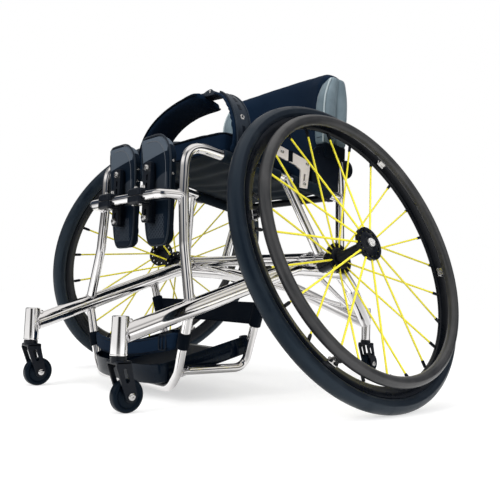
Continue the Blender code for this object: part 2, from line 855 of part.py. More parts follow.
def pin_profile():
    """Draw the quick release pin, its head and the pocket for the button."""
    head_start = HUB_OUTER_END + RUNNING_GAP
    head_end = head_start + PIN_HEAD_LENGTH
    pocket = BUTTON_RADIUS + GAP
    pocket_end = head_end + BUTTON_REACH - BUTTON_LENGTH - BUTTON_TRAVEL - GAP
    return [
        (0.0, pocket_end),
        (pocket, pocket_end),
        (pocket, head_end),
        (PIN_HEAD_RADIUS, head_end),
        (PIN_HEAD_RADIUS, head_start),
        (PIN_RADIUS, head_start),
        (PIN_RADIUS, -HUB_INNER_END - PIN_INSERTION),
        (0.0, -HUB_INNER_END - PIN_INSERTION),
    ]


def button_profile():
    """Draw the release button in the pin's head."""
    top = HUB_OUTER_END + RUNNING_GAP + PIN_HEAD_LENGTH + BUTTON_REACH
    return [
        (0.0, top),
        (BUTTON_RADIUS * 0.8, top),
        (BUTTON_RADIUS, top - BUTTON_RADIUS * 0.25),
        (BUTTON_RADIUS, top - BUTTON_LENGTH),
        (0.0, top - BUTTON_LENGTH),
    ]


def make_wheel(side, label):
    """Make one large wheel, its axle pin and its button."""
    axle = bpy.data.objects.new(label + "_wheel_axle", None)
    axle.matrix_world = axle_place(side)
    axle.parent = CHAIR
    PARTS.objects.link(axle)

    publish(turned("tyre", tyre_profile()), label + "_tyre", "rubber", axle)
    publish(turned("rim", rim_profile()), label + "_rim", "black_metal", axle)
    handrim = turned("handrim", handrim_profile())
    for index in range(HANDRIM_TAB_COUNT):
        tab = handrim_tab(index)
        tab.parent = axle
        join(handrim, tab)
    publish(handrim, label + "_handrim", "handrim_coat", axle)
    layouts = (
        ("_outer_spokes", OUTER_FLANGE_OFFSET, OUTER_FLANGE_RADIUS, 0),
        ("_inner_spokes", -INNER_FLANGE_OFFSET, INNER_FLANGE_RADIUS, 1),
    )
    for ending, offset, radius, first in layouts:
        spokes = spoke_wheel(offset, radius, first)
        for change in spokes.modifiers:
            change.object.parent = axle
        publish(spokes, label + ending, "yellow_fibre", axle)
    publish(turned("hub", hub_profile(), 20), label + "_hub", "black_metal", axle)
    publish(turned("pin", pin_profile(), 16), label + "_axle_pin", "steel", axle)
    publish(turned("button", button_profile(), 12), label + "_release_button", "button_metal", axle)


# Frame


def trimmed_tube(path, radius, *cutters):
    """Make a tube and cut its ends to the tubes that it meets."""
    return cut(tube("tube", path, radius), *cutters)


def clearance_tube(path, radius):
    """Make the cutter that leaves a gap round a tube."""
    return tube("clearance", path, radius + GAP)


def housing_cutter(side):
    """Make the clearance round a caster housing."""
    return cylinder(
        "housing_clearance",
        sided(side, CASTER_HALF_TRACK, -CASTER_FORWARD, HOUSING_BOTTOM - GAP),
        sided(side, CASTER_HALF_TRACK, -CASTER_FORWARD, HOUSING_TOP + GAP),
        HOUSING_RADIUS + GAP,
    )


def tail_housing_cutter():
    """Make the clearance round the tail housing."""
    return cylinder(
        "tail_clearance",
        (0.0, TAIL_BACK, HOUSING_BOTTOM - GAP),
        (0.0, TAIL_BACK, HOUSING_BOTTOM + TAIL_HOUSING_HEIGHT + GAP),
        TAIL_HOUSING_RADIUS + GAP,
    )


def axle_cutter():
    """Make the clearance round the axle tube."""
    return cylinder(
        "axle_clearance",
        (-AXLE_TUBE_HALF_LENGTH, 0.0, AXLE_TUBE_Z),
        (AXLE_TUBE_HALF_LENGTH, 0.0, AXLE_TUBE_Z),
        AXLE_TUBE_RADIUS + GAP,
    )


def make_side_tube(side, label):
    """Make the main tube of one side, mitred to its twin at the tail."""
    half_space = block(
        "mitre",
        (min(-side * SIDE_HALF_WIDTH, side * GAP / 2), SIDE_DROP_Y, TAIL_TUBE_Z - MITRE_REACH),
        (max(-side * SIDE_HALF_WIDTH, side * GAP / 2), TAIL_BACK + MITRE_REACH, SIDE_TUBE_Z + MITRE_REACH),
    )
    item = trimmed_tube(
        side_tube_path(side), SIDE_TUBE_RADIUS,
        housing_cutter(side), tail_housing_cutter(), half_space, axle_cutter(),
    )
    publish(item, label + "_side_tube", "polished")


def socket_end(side, offset):
    """Give a point on a wheel's axle line, measured outward from the hub."""
    return axle_place(side) @ Vector((0.0, 0.0, offset))


def make_axle_tube():
    """Make the axle tube with a cambered socket at each end."""
    item = cylinder(
        "axle_tube",
        (-AXLE_TUBE_HALF_LENGTH, 0.0, AXLE_TUBE_Z),
        (AXLE_TUBE_HALF_LENGTH, 0.0, AXLE_TUBE_Z),
        AXLE_TUBE_RADIUS, 16,
    )
    mouth = -HUB_INNER_END - 2 * RUNNING_GAP
    floor = -HUB_INNER_END - PIN_INSERTION - RUNNING_GAP
    for side in (1, -1):
        inner_end = socket_end(side, floor - SOCKET_END_WALL)
        join(item, cylinder("socket", inner_end, socket_end(side, mouth), SOCKET_RADIUS, 20))
    for side in (1, -1):
        beyond = socket_end(side, mouth + SOCKET_END_WALL)
        cut(item, cylinder("socket_bore", socket_end(side, floor), beyond, PIN_RADIUS + GAP, 16))
    publish(item, "axle_tube", "polished")


def make_upright(side, label):
    """Make one tube that is the front upright and the seat rail."""
    item = trimmed_tube(
        upright_path(side), FRAME_TUBE_RADIUS,
        clearance_tube(side_tube_path(side), SIDE_TUBE_RADIUS),
        clearance_tube(post_path(side), FRAME_TUBE_RADIUS),
    )
    publish(item, label + "_upright_and_rail", "polished")


def make_post(side, label):
    """Make the post that carries the back."""
    item = trimmed_tube(
        post_path(side), FRAME_TUBE_RADIUS,
        clearance_tube(side_tube_path(side), SIDE_TUBE_RADIUS),
    )
    publish(item, label + "_back_post", "polished")


def strut_path(side):
    """Run from the seat rail down to the axle tube."""
    return [rail_at(side, STRUT_TOP_Y), sided(side, STRUT_FOOT_X, 0.0, AXLE_TUBE_Z)]


def make_strut(side, label):
    """Make the strut between seat rail and axle tube."""
    item = trimmed_tube(
        strut_path(side), FRAME_TUBE_RADIUS,
        clearance_tube(upright_path(side), FRAME_TUBE_RADIUS),
        axle_cutter(),
    )
    publish(item, label + "_seat_strut", "polished")


def make_foot_frame():
    """Make the foot frame: front legs, cross tube and runners as one weldment."""
    item = tube("foot_loop", foot_loop_path(), FOOT_TUBE_RADIUS)
    for side in (1, -1):
        join(item, tube("runner", runner_path(side), FOOT_TUBE_RADIUS))
    for side in (1, -1):
        cut(item, clearance_tube(side_tube_path(side), SIDE_TUBE_RADIUS))
    publish(item, "foot_frame", "polished")


def make_knee_bar():
    """Make the bar in front of the knees."""
    item = trimmed_tube(
        knee_bar_path(), FRAME_TUBE_RADIUS,
        clearance_tube(upright_path(1), FRAME_TUBE_RADIUS),
        clearance_tube(upright_path(-1), FRAME_TUBE_RADIUS),
    )
    publish(item, "knee_bar", "polished")


def tail_line(y):
    """Give x and z of the left side tube's centre on its straight run to the tail."""
    share = (y - SIDE_DROP_Y) / (TAIL_BACK - SIDE_DROP_Y)
    return SIDE_DROP_X * (1.0 - share), SIDE_DROP_Z + share * (TAIL_TUBE_Z - SIDE_DROP_Z)


def make_tail_brace():
    """Make the two thin rods and the gusset that tie the tail to the axle tube."""
    front_x, front_z = tail_line(BRACE_TAIL_Y)
    rear_x, rear_z = tail_line(BRACE_TAIL_Y + GUSSET_LENGTH)
    slope = math.atan2(rear_z - front_z, GUSSET_LENGTH)
    length = GUSSET_LENGTH / math.cos(slope)
    outline = [(-front_x, 0.0), (front_x, 0.0), (rear_x, length), (-rear_x, length)]
    place = Matrix.Translation((0.0, BRACE_TAIL_Y, front_z)) @ Matrix.Rotation(slope, 4, "X")
    item = flat_plate("gusset", outline, GUSSET_THICKNESS, place)
    for side in (1, -1):
        start = sided(side, BRACE_AXLE_X, 0.0, AXLE_TUBE_Z - AXLE_TUBE_RADIUS / 2)
        end = sided(side, BRACE_LANDING_X, BRACE_TAIL_Y + BRACE_RADIUS, front_z)
        join(item, cylinder("rod", start, end, BRACE_RADIUS, 12))
    cut(item, axle_cutter())
    for side in (1, -1):
        cut(item, clearance_tube(side_tube_path(side), SIDE_TUBE_RADIUS))
    publish(item, "tail_brace", "steel")


# Casters


def caster_housing_profile(radius, height):
    """Draw a housing closed above, with a bore for the stem."""
    bore = STEM_RADIUS + RUNNING_GAP
    top = HOUSING_BOTTOM + height
    return [
        (0.0, top),
        (radius, top),
        (radius, HOUSING_BOTTOM),
        (bore, HOUSING_BOTTOM),
        (bore, top - HOUSING_LID),
        (0.0, top - HOUSING_LID),
    ]


def caster_wheel_profile():
    """Draw the small wheel round its bore."""
    bore = BOLT_RADIUS + RUNNING_GAP
    shoulder = CASTER_RADIUS - (CASTER_HALF_WIDTH - CASTER_TREAD_HALF_WIDTH)
    return [
        (bore, CASTER_HUB_HALF_WIDTH),
        (CASTER_HUB_RADIUS, CASTER_HUB_HALF_WIDTH),
        (CASTER_HUB_RADIUS, CASTER_HALF_WIDTH),
        (shoulder, CASTER_HALF_WIDTH),
        (CASTER_RADIUS, CASTER_TREAD_HALF_WIDTH),
        (CASTER_RADIUS, -CASTER_TREAD_HALF_WIDTH),
        (shoulder, -CASTER_HALF_WIDTH),
        (CASTER_HUB_RADIUS, -CASTER_HALF_WIDTH),
        (CASTER_HUB_RADIUS, -CASTER_HUB_HALF_WIDTH),
        (bore, -CASTER_HUB_HALF_WIDTH),
    ]


def bolt_profile():
    """Draw the axle bolt with a head at each end."""
    seat = CASTER_HUB_HALF_WIDTH + RUNNING_GAP + FORK_PLATE + GAP
    return [
        (0.0, seat + BOLT_HEAD_HEIGHT),
        (BOLT_HEAD_RADIUS, seat + BOLT_HEAD_HEIGHT),
        (BOLT_HEAD_RADIUS, seat),
        (BOLT_RADIUS, seat),
        (BOLT_RADIUS, -seat),
        (BOLT_HEAD_RADIUS, -seat),
        (BOLT_HEAD_RADIUS, -seat - BOLT_HEAD_HEIGHT),
        (0.0, -seat - BOLT_HEAD_HEIGHT),
    ]


def side_view(x):
    """Give the plane of an outline drawn as (along, up) at a distance across."""
    return Matrix(((0, 0, 1, x), (1, 0, 0, 0), (0, 1, 0, 0), (0, 0, 0, 1)))


def fork_outline(top, bridge_bottom):
    """Taper from under the crown to the boss round the bolt."""
    outline = []
    for step in range(9):
        angle = math.radians(195.0 + step * 22.5)
        outline.append(
            (
                CASTER_TRAIL + FORK_BOSS_RADIUS * math.cos(angle),
                CASTER_RADIUS + FORK_BOSS_RADIUS * math.sin(angle),
            )
        )
    outline += [(FORK_REAR, bridge_bottom), (FORK_REAR, top)]
    outline += [(-FORK_FRONT, top), (-FORK_FRONT, bridge_bottom)]
    return outline


def make_fork(housing_height):
    """Make stem, crown and slotted leg block as one casting."""
    crown_top = HOUSING_BOTTOM - RUNNING_GAP
    bridge_top = crown_top - FORK_CROWN
    bridge_bottom = bridge_top - FORK_BRIDGE
    slot_half = CASTER_HUB_HALF_WIDTH + RUNNING_GAP
    half = slot_half + FORK_PLATE
    stem_top = HOUSING_BOTTOM + housing_height - HOUSING_LID - RUNNING_GAP
    fork = flat_plate("legs", fork_outline(bridge_top, bridge_bottom), 2 * half, side_view(0.0))
    slot = block(
        "slot",
        (-slot_half, -CASTER_RADIUS, -CASTER_RADIUS),
        (slot_half, CASTER_TRAIL + CASTER_RADIUS, bridge_bottom),
    )
    bolt_line = Vector((2 * half, 0.0, 0.0))
    bolt_middle = Vector((0.0, CASTER_TRAIL, CASTER_RADIUS))
    hole = cylinder("hole", bolt_middle - bolt_line, bolt_middle + bolt_line, BOLT_RADIUS + GAP, 12)
    cut(fork, slot, hole)
    profile = [
        (0.0, stem_top),
        (STEM_RADIUS, stem_top),
        (STEM_RADIUS, crown_top),
        (FORK_CROWN_RADIUS, crown_top),
        (FORK_CROWN_RADIUS, bridge_top - FORK_BRIDGE / 2),
        (0.0, bridge_top - FORK_BRIDGE / 2),
    ]
    join(fork, turned("stem", profile, 16))
    return fork


def make_caster(label, x, y, housing_radius, housing_height):
    """Make one caster: housing, fork, wheel and bolt."""
    swivel = bpy.data.objects.new(label + "_swivel", None)
    swivel.location = (x, y, 0.0)
    swivel.parent = CHAIR
    PARTS.objects.link(swivel)
    axle = bpy.data.objects.new(label + "_axle", None)
    axle.matrix_world = Matrix.Translation((0.0, CASTER_TRAIL, CASTER_RADIUS)) @ Matrix.Rotation(
        math.pi / 2, 4, "Y"
    )
    axle.parent = swivel
    PARTS.objects.link(axle)

    housing = turned("housing", caster_housing_profile(housing_radius, housing_height), 20)
    publish(housing, label + "_housing", "polished", swivel)
    fork = make_fork(housing_height)
    for change in fork.modifiers:
        change.object.parent = swivel
    publish(fork, label + "_fork", "black_metal", swivel)
    publish(turned("wheel", caster_wheel_profile(), 20), label + "_wheel", "rubber", axle)
    publish(turned("bolt", bolt_profile(), 12), label + "_bolt", "steel", axle)


# Knee pads


def pad_middle_y(z):
    """Give the place of a knee pad's middle plane, which leans back toward the feet."""
    return PAD_MIDDLE_Y - PAD_LEAN_SLOPE * (z - BAR_Z)


def make_knee_pad(side, label):
    """Make a pad that narrows to its toe, with its right upper corner cut round."""

    def shape(x, y, z):
        height = PAD_BOTTOM_Z + (z + 1.0) * PAD_HEIGHT / 2
        width = PAD_TOE_WIDTH + (PAD_WIDTH - PAD_TOE_WIDTH) * (z + 1.0) / 2
        if z > 0.9 and x > PAD_SHOULDER_START:
            height -= PAD_HEIGHT * PAD_SHOULDER_SHARE * (x - PAD_SHOULDER_START)
        if z > 0.9 and x < -0.9:
            height -= PAD_HEIGHT * PAD_EASED_SHARE
        toe = 1.0 - PAD_TOE_SHARE * max(0.0, -z - PAD_TOE_START)
        depth = y * PAD_THICKNESS / 2
        return Vector((side * PAD_CENTRE_X + x * toe * width / 2, pad_middle_y(height) + depth, height))

    pad = soft_block("knee_pad", shape, (2, 1, 3), (0.26, 0.0, 0.25))
    publish(pad, label + "_knee_pad", "black_fabric")


def make_pad_bracket(side, label):
    """Make the clamp on the bar and the ribbed plate that carries a knee pad."""
    x = side * BRACKET_X
    half = BRACKET_WIDTH / 2
    grip = FRAME_TUBE_RADIUS + BRACKET_WALL
    plate_front = -BAR_FORWARD + FRAME_TUBE_RADIUS + 2 * GAP
    plate_rear = plate_front + BRACKET_PLATE
    plate_top = BRACKET_LOW_Z + BRACKET_LENGTH
    item = block(
        "clamp",
        (x - CLAMP_WIDTH / 2, -BAR_FORWARD - grip, BAR_Z - grip),
        (x + CLAMP_WIDTH / 2, -BAR_FORWARD + grip, BAR_Z + grip),
        BRACKET_WALL / 3,
    )
    join(item, block("plate", (x - half, plate_front, BRACKET_LOW_Z), (x + half, plate_rear, plate_top)))
    pad_face = -PAD_THICKNESS / 2 - GAP
    rib = [
        (plate_rear - GAP, BRACKET_LOW_Z),
        (pad_middle_y(BRACKET_LOW_Z) + pad_face, BRACKET_LOW_Z),
        (pad_middle_y(plate_top) + pad_face, plate_top),
        (plate_rear - GAP, plate_top),
    ]
    join(item, flat_plate("rib", rib, RIB_WIDTH, side_view(x)))
    for z in (plate_top - half, BRACKET_LOW_Z + half * 0.8):
        head_top = (x, plate_front - BRACKET_BOLT_HEIGHT, z)
        head_root = (x, plate_front + BRACKET_BOLT_HEIGHT / 3, z)
        join(item, cylinder("bolt_head", head_top, head_root, BRACKET_BOLT_RADIUS, 12))
    for shift in (-CLAMP_BOLT_SPACING / 2, CLAMP_BOLT_SPACING / 2):
        head_top = (x + shift, -BAR_FORWARD, BAR_Z + grip + BRACKET_BOLT_HEIGHT * 2)
        head_root = (x + shift, -BAR_FORWARD, BAR_Z + grip - BRACKET_BOLT_HEIGHT / 3)
        join(item, cylinder("bolt_head", head_top, head_root, BRACKET_BOLT_RADIUS * 0.8, 12))
    cut(item, clearance_tube(knee_bar_path(), FRAME_TUBE_RADIUS))
    publish(item, label + "_pad_bracket", "black_metal")


# Feet


def tray_outline(half_width):
    """Draw the footplate's plan: straight sides and a rounded front at y = 0."""
    points = [(-half_width, TRAY_LENGTH)]
    steps = 12
    for step in range(steps + 1):
        angle = math.pi * step / steps
        across = -math.copysign(abs(math.cos(angle)) ** 0.8, math.cos(angle))
        points.append((across * half_width, TRAY_CORNER * (1.0 - math.sin(angle) ** 0.8)))
    points.append((half_width, TRAY_LENGTH))
    return points


def tray_place():
    """Rest the tilted tray on the cross tube."""
    slope = Vector((0.0, math.cos(TRAY_TILT), math.sin(TRAY_TILT)))
    normal = Vector((0.0, -math.sin(TRAY_TILT), math.cos(TRAY_TILT)))
    rest = Vector((0.0, LEG_LOW_Y, CROSS_Z)) + normal * (FOOT_TUBE_RADIUS + GAP)
    return Matrix.Translation(rest - slope * TRAY_FRONT) @ Matrix.Rotation(TRAY_TILT, 4, "X")


def make_footplate():
    """Make the tray under the feet: floor, side walls and a rounded front wall."""
    half_width = RUNNER_X - FOOT_TUBE_RADIUS - 2 * GAP
    outline = tray_outline(half_width)
    work = bmesh.new()
    low = [work.verts.new((x, y, 0.0)) for x, y in outline]
    high = [work.verts.new((x, y, TRAY_HEIGHT)) for x, y in outline]
    work.faces.new(low[::-1])
    for index in range(len(outline) - 1):
        work.faces.new((low[index], low[index + 1], high[index + 1], high[index]))
    mesh = bpy.data.meshes.new("tray")
    work.to_mesh(mesh)
    work.free()
    source = link_source(mesh)
    source.matrix_world = tray_place()
    bpy.context.view_layer.update()
    thicken = source.modifiers.new("thicken", "SOLIDIFY")
    thicken.thickness = TRAY_WALL
    thicken.offset = -1.0
    thicken.use_even_offset = True
    item = bake(source, "tray")
    cut(item, clearance_tube(foot_loop_path(), FOOT_TUBE_RADIUS))
    publish(item, "footplate", "black_plastic")


def make_calf_strap():
    """Make the band behind the calves, sewn round both runners."""

    def surface(across, up):
        z = CALF_STRAP_BOTTOM_Z + up * (CALF_STRAP_TOP_Z - CALF_STRAP_BOTTOM_Z)
        point = runner_at(1, z).lerp(runner_at(-1, z), across)
        return point + Vector((0.0, 4.0 * CALF_STRAP_SAG * across * (1.0 - across), 0.0))

    item = sheet("band", surface, 10, 1, CALF_STRAP_THICKNESS)
    sleeve_radius = FOOT_TUBE_RADIUS + GAP + CALF_STRAP_THICKNESS
    for side in (1, -1):
        low = runner_at(side, CALF_STRAP_BOTTOM_Z)
        high = runner_at(side, CALF_STRAP_TOP_Z)
        join(item, cylinder("sleeve", low, high, sleeve_radius, 16))
    for side in (1, -1):
        cut(item, clearance_tube(runner_path(side), FOOT_TUBE_RADIUS))
    publish(item, "calf_strap", "black_fabric")


def leg_at(side, z):
    """Give the centre of a front leg at a height."""
    top, low = leg_path(side)
    return top.lerp(low, (top.z - z) / (top.z - low.z))


def make_foot_strap():
    """Make the padded strap over the feet, between the front legs."""

    def shape(x, y, z):
        drop = FOOT_STRAP_SAG * (1.0 - x * x) - FOOT_STRAP_TILT * x
        height = FOOT_STRAP_Z - drop + z * FOOT_STRAP_HEIGHT / 2
        point = leg_at(-1, height).lerp(leg_at(1, height), (x + 1.0) / 2)
        bow = FOOT_STRAP_BOW * (1.0 - x * x)
        return point + Vector((0.0, y * FOOT_STRAP_THICKNESS / 2 - bow, 0.0))

    item = soft_block("foot_strap", shape, (5, 1, 1))
    for side in (1, -1):
        cut(item, clearance_tube([leg_at(side, HOUSING_TOP), leg_at(side, LEG_LOW_Z)], FOOT_TUBE_RADIUS))
    publish(item, "foot_strap", "black_fabric")


# Seat


def sling_surface(across, along):
    """Span the rails, with small folds across."""
    y = SLING_FRONT_Y + along * (SLING_REAR_Y - SLING_FRONT_Y)
    rail = rail_at(1, y)
    half = rail.x - FRAME_TUBE_RADIUS * 0.6
    spread = 2.0 * across - 1.0
    fold = SLING_FOLD * (1.0 - math.cos(math.tau * SLING_FOLD_COUNT * along)) / 2
    drop = fold * (1.0 - spread ** 4)
    return Vector((spread * half, y, rail.z + SLEEVE_RADIUS - SLING_THICKNESS / 2 - drop))


def make_sling():
    """Make the seat sling with two sleeves round each rail."""
    item = sheet("sling", sling_surface, 3, 12, SLING_THICKNESS)
    stretches = (
        (SLING_FRONT_Y, STRUT_TOP_Y - SLEEVE_STRUT_SPACE),
        (STRUT_TOP_Y + SLEEVE_STRUT_SPACE, SLEEVE_REAR_Y),
    )
    for side in (1, -1):
        for front, rear in stretches:
            join(item, cylinder("sleeve", rail_at(side, front), rail_at(side, rear), SLEEVE_RADIUS, 12))
    for side in (1, -1):
        cut(item, clearance_tube(upright_path(side), FRAME_TUBE_RADIUS))
    publish(item, "seat_sling", "black_fabric")


def make_cushion():
    """Make the seat cushion with a crowned top and drawn-in sides."""
    middle = (CUSHION_FRONT_Y + CUSHION_REAR_Y) / 2
    half_length = (CUSHION_REAR_Y - CUSHION_FRONT_Y) / 2

    def shape(x, y, z):
        along = middle + y * half_length
        base = rail_at(1, along).z + SLEEVE_RADIUS + GAP
        crown = CUSHION_CROWN * (1.0 - x * x) * (1.0 - y * y) if z > 0 else 0.0
        waist = 1.0 - 0.03 * z * z
        height = (z + 1.0) / 2 * CUSHION_THICKNESS
        return Vector((x * waist * CUSHION_WIDTH / 2, along, base + height + crown))

    publish(soft_block("cushion", shape, (3, 3, 2), (0.14, 0.14, 0.40)), "seat_cushion", "black_fabric")


def make_seat_tube():
    """Make the tube that joins the rails behind the cushion."""
    item = cylinder("seat_tube", rail_at(1, SEAT_TUBE_Y), rail_at(-1, SEAT_TUBE_Y), FOOT_TUBE_RADIUS, 16)
    for side in (1, -1):
        cut(item, clearance_tube(upright_path(side), FRAME_TUBE_RADIUS))
        cut(item, clearance_tube(post_path(side), FRAME_TUBE_RADIUS))
    publish(item, "seat_cross_tube", "black_metal")


def make_seat_plate(side, label):
    """Make the angled plate that stands against the outside of the rail's sleeve."""
    rail = rail_at(side, PLATE_FOOT_REAR_Y)
    x = rail.x + side * (SLEEVE_RADIUS + GAP + PLATE_THICKNESS / 2)
    outline = [
        (PLATE_FOOT_FRONT_Y, PLATE_FOOT_Z),
        (PLATE_FOOT_REAR_Y, PLATE_FOOT_Z),
        (PLATE_REAR_Y, PLATE_REAR_Z - PLATE_CHAMFER),
        (PLATE_REAR_Y, PLATE_REAR_Z),
        (PLATE_FRONT_Y + PLATE_CHAMFER, PLATE_ARM_TOP_Z),
        (PLATE_FRONT_Y, PLATE_ARM_TOP_Z - PLATE_CHAMFER / 2),
        (PLATE_FRONT_Y, PLATE_ARM_LOW_Z),
        (PLATE_CORNER_Y, PLATE_CORNER_Z),
        (PLATE_FOOT_FRONT_Y, PLATE_CORNER_Z - PLATE_CHAMFER),
    ]
    item = flat_plate("seat_plate", outline, PLATE_THICKNESS, side_view(x))
    publish(item, label + "_seat_plate", "polished")


def make_side_panel(side, label):
    """Make the guard between the cushion and the wheel."""
    rail = rail_at(side, PANEL_FRONT_Y)
    post = post_at(side, PANEL_TOP_Z)
    outline = [
        (PANEL_FRONT_Y, rail.z),
        (post_at(side, rail.z).y, rail_at(side, post.y).z),
        (post.y, PANEL_TOP_Z),
        (PANEL_FRONT_Y + PANEL_CORNER, PANEL_TOP_Z),
        (PANEL_FRONT_Y, PANEL_TOP_Z - PANEL_CORNER),
    ]
    item = flat_plate("side_panel", outline, PANEL_THICKNESS, side_view(side * PANEL_X))
    cut(
        item,
        clearance_tube(upright_path(side), FRAME_TUBE_RADIUS),
        clearance_tube(post_path(side), FRAME_TUBE_RADIUS),
        sleeve_cutter(side),
        cylinder(
            "cross_clearance", rail_at(1, SEAT_TUBE_Y), rail_at(-1, SEAT_TUBE_Y), FOOT_TUBE_RADIUS + GAP, 16
        ),
    )
    publish(item, label + "_side_panel", "black_plastic")


# Back


def make_backrest():
    """Make the back pad, hollow toward the middle, with two upright lobes at each side."""

    def shape(x, y, z):
        height = BACK_BOTTOM_Z + (z + 1.0) / 2 * (BACK_TOP_Z - BACK_BOTTOM_Z)
        hollow = BACK_HOLLOW * (1.0 - x * x)
        depth = y * BACK_THICKNESS / 2
        return Vector((x * BACK_HALF_WIDTH, BACK_MIDDLE_Y + depth + hollow, height))

    item = soft_block("back", shape, (3, 1, 2), (0.12, 0.0, 0.12))
    for side in (1, -1):
        for lobe_y in (LOBE_FRONT_Y, LOBE_REAR_Y):

            def lobe(x, y, z, centre_y=lobe_y, centre_x=side * LOBE_X):
                height = LOBE_BOTTOM_Z + (z + 1.0) / 2 * (LOBE_TOP_Z - LOBE_BOTTOM_Z)
                taper = 1.0 - 0.2 * max(0.0, z) ** 4
                corner = 1.0 - 0.16 * abs(x * y)
                return Vector(
                    (
                        centre_x + x * corner * taper * LOBE_WIDTH / 2,
                        centre_y + y * corner * taper * LOBE_DEPTH / 2,
                        height,
                    )
                )

            join(item, soft_block("lobe", lobe, (1, 1, 1)))
    for side in (1, -1):
        pocket = post_path(side)
        pocket[-1] = pocket[-1] + Vector((0.0, 0.0, 2 * GAP))
        cut(item, clearance_tube(pocket, FRAME_TUBE_RADIUS))
    bar_end = Vector((PUSH_BAR_HALF_LENGTH + GAP, push_bar_y(), PUSH_BAR_Z))
    bar_start = Vector((-bar_end.x, bar_end.y, bar_end.z))
    cut(item, cylinder("bar_clearance", bar_start, bar_end, PUSH_BAR_RADIUS + GAP))
    publish(item, "backrest", "black_fabric")


def push_bar_y():
    """Give the place of the push bar's centre, just behind the posts."""
    return post_at(1, PUSH_BAR_Z).y + FRAME_TUBE_RADIUS + PUSH_BAR_RADIUS - PUSH_BAR_NESTLE


def make_push_bar():
    """Make the padded bar behind the posts."""
    corner = PUSH_BAR_RADIUS * 0.2
    profile = [
        (0.0, PUSH_BAR_HALF_LENGTH),
        (PUSH_BAR_RADIUS - corner, PUSH_BAR_HALF_LENGTH),
        (PUSH_BAR_RADIUS, PUSH_BAR_HALF_LENGTH - corner),
        (PUSH_BAR_RADIUS, -PUSH_BAR_HALF_LENGTH + corner),
        (PUSH_BAR_RADIUS - corner, -PUSH_BAR_HALF_LENGTH),
        (0.0, -PUSH_BAR_HALF_LENGTH),
    ]
    item = turned("push_bar", profile, 24)
    place = Matrix.Translation((0.0, push_bar_y(), PUSH_BAR_Z)) @ Matrix.Rotation(math.pi / 2, 4, "Y")
    item.data.transform(place)
    publish(item, "push_bar", "black_fabric")


# Thigh strap


def bezier(points, share):
    """Evaluate a cubic Bezier curve and its direction."""
    rest = 1.0 - share
    first, second, third, last = points
    place = rest ** 3 * first + 3 * rest ** 2 * share * second
    place += 3 * rest * share ** 2 * third + share ** 3 * last
    heading = rest ** 2 * (second - first) + 2 * rest * share * (third - second)
    heading += share ** 2 * (last - third)
    return place, heading.normalized()


def strap_seat():
    """Give the centre of the rail that each end of the strap saddles."""
    return rail_at(1, STRAP_Y)


def sleeve_cutter(side):
    """Make the clearance round the sling's sleeve."""
    front = rail_at(side, SLING_FRONT_Y - GAP)
    rear = rail_at(side, SLEEVE_REAR_Y + GAP)
    return cylinder("sleeve_clearance", front, rear, SLEEVE_RADIUS + GAP, 12)


def thigh_arch():
    """Arch over the thighs from the right rail to the buckle."""
    seat = strap_seat()
    return [
        Vector((-seat.x - THIGH_PAD_THICKNESS / 2, STRAP_Y, seat.z)),
        Vector((-THIGH_SIDE_X, STRAP_Y, THIGH_SIDE_Z)),
        Vector((THIGH_CREST_X, STRAP_Y, THIGH_CREST_Z)),
        Vector((THIGH_END_X, STRAP_Y, THIGH_END_Z)),
    ]


def make_thigh_pad():
    """Make the padded half of the thigh strap."""
    arch = thigh_arch()

    def shape(x, y, z):
        place, heading = bezier(arch, (x + 1.0) / 2)
        normal = Vector((-heading.z, 0.0, heading.x))
        width = THIGH_PAD_WIDTH * (1.0 - 0.20 * abs(x) ** 3)
        rise = z * (1.0 - 0.3 * y * y) * THIGH_PAD_THICKNESS / 2
        return place + Vector((0.0, y * width / 2, 0.0)) + normal * rise

    pad = soft_block("thigh_pad", shape, (5, 2, 1), (0.0, 0.30, 0.0))
    publish(cut(pad, sleeve_cutter(-1)), "thigh_pad", "black_fabric")


def buckle_place():
    """Give the buckle's frame: X down the strap, Z away from the thigh."""
    place, heading = bezier(thigh_arch(), 1.0)
    normal = Vector((-heading.z, 0.0, heading.x))
    across = normal.cross(heading)
    matrix = Matrix((heading, across, normal)).transposed().to_4x4()
    matrix.translation = place + normal * (THIGH_PAD_THICKNESS / 2 - BUCKLE_SINK)
    return matrix


def ladder_curve():
    """Give the start, and the curve that drops from the buckle's mouth to the left rail."""
    frame = buckle_place()
    height = BUCKLE_WALL + GAP + LADDER_THICKNESS / 2
    start = frame @ Vector((-BUCKLE_LENGTH * 0.6, 0.0, height))
    mouth = frame @ Vector((BUCKLE_LENGTH * 0.45, 0.0, height))
    heading = (mouth - start).normalized()
    seat = strap_seat()
    foot = Vector((seat.x + BACKING_THICKNESS / 2, STRAP_Y, seat.z))
    side = Vector((LADDER_SIDE_X, STRAP_Y, LADDER_SIDE_Z))
    return start, [mouth, mouth + heading * LADDER_SHOULDER, side, foot]


def ladder_surface(across, along):
    """Run through the buckle and down to the left rail."""
    start, curve = ladder_curve()
    if along < LADDER_STRAIGHT_SHARE:
        place = start.lerp(curve[0], along / LADDER_STRAIGHT_SHARE)
    else:
        place, heading = bezier(curve, (along - LADDER_STRAIGHT_SHARE) / (1.0 - LADDER_STRAIGHT_SHARE))
    return place + Vector((0.0, (across - 0.5) * LADDER_WIDTH, 0.0))


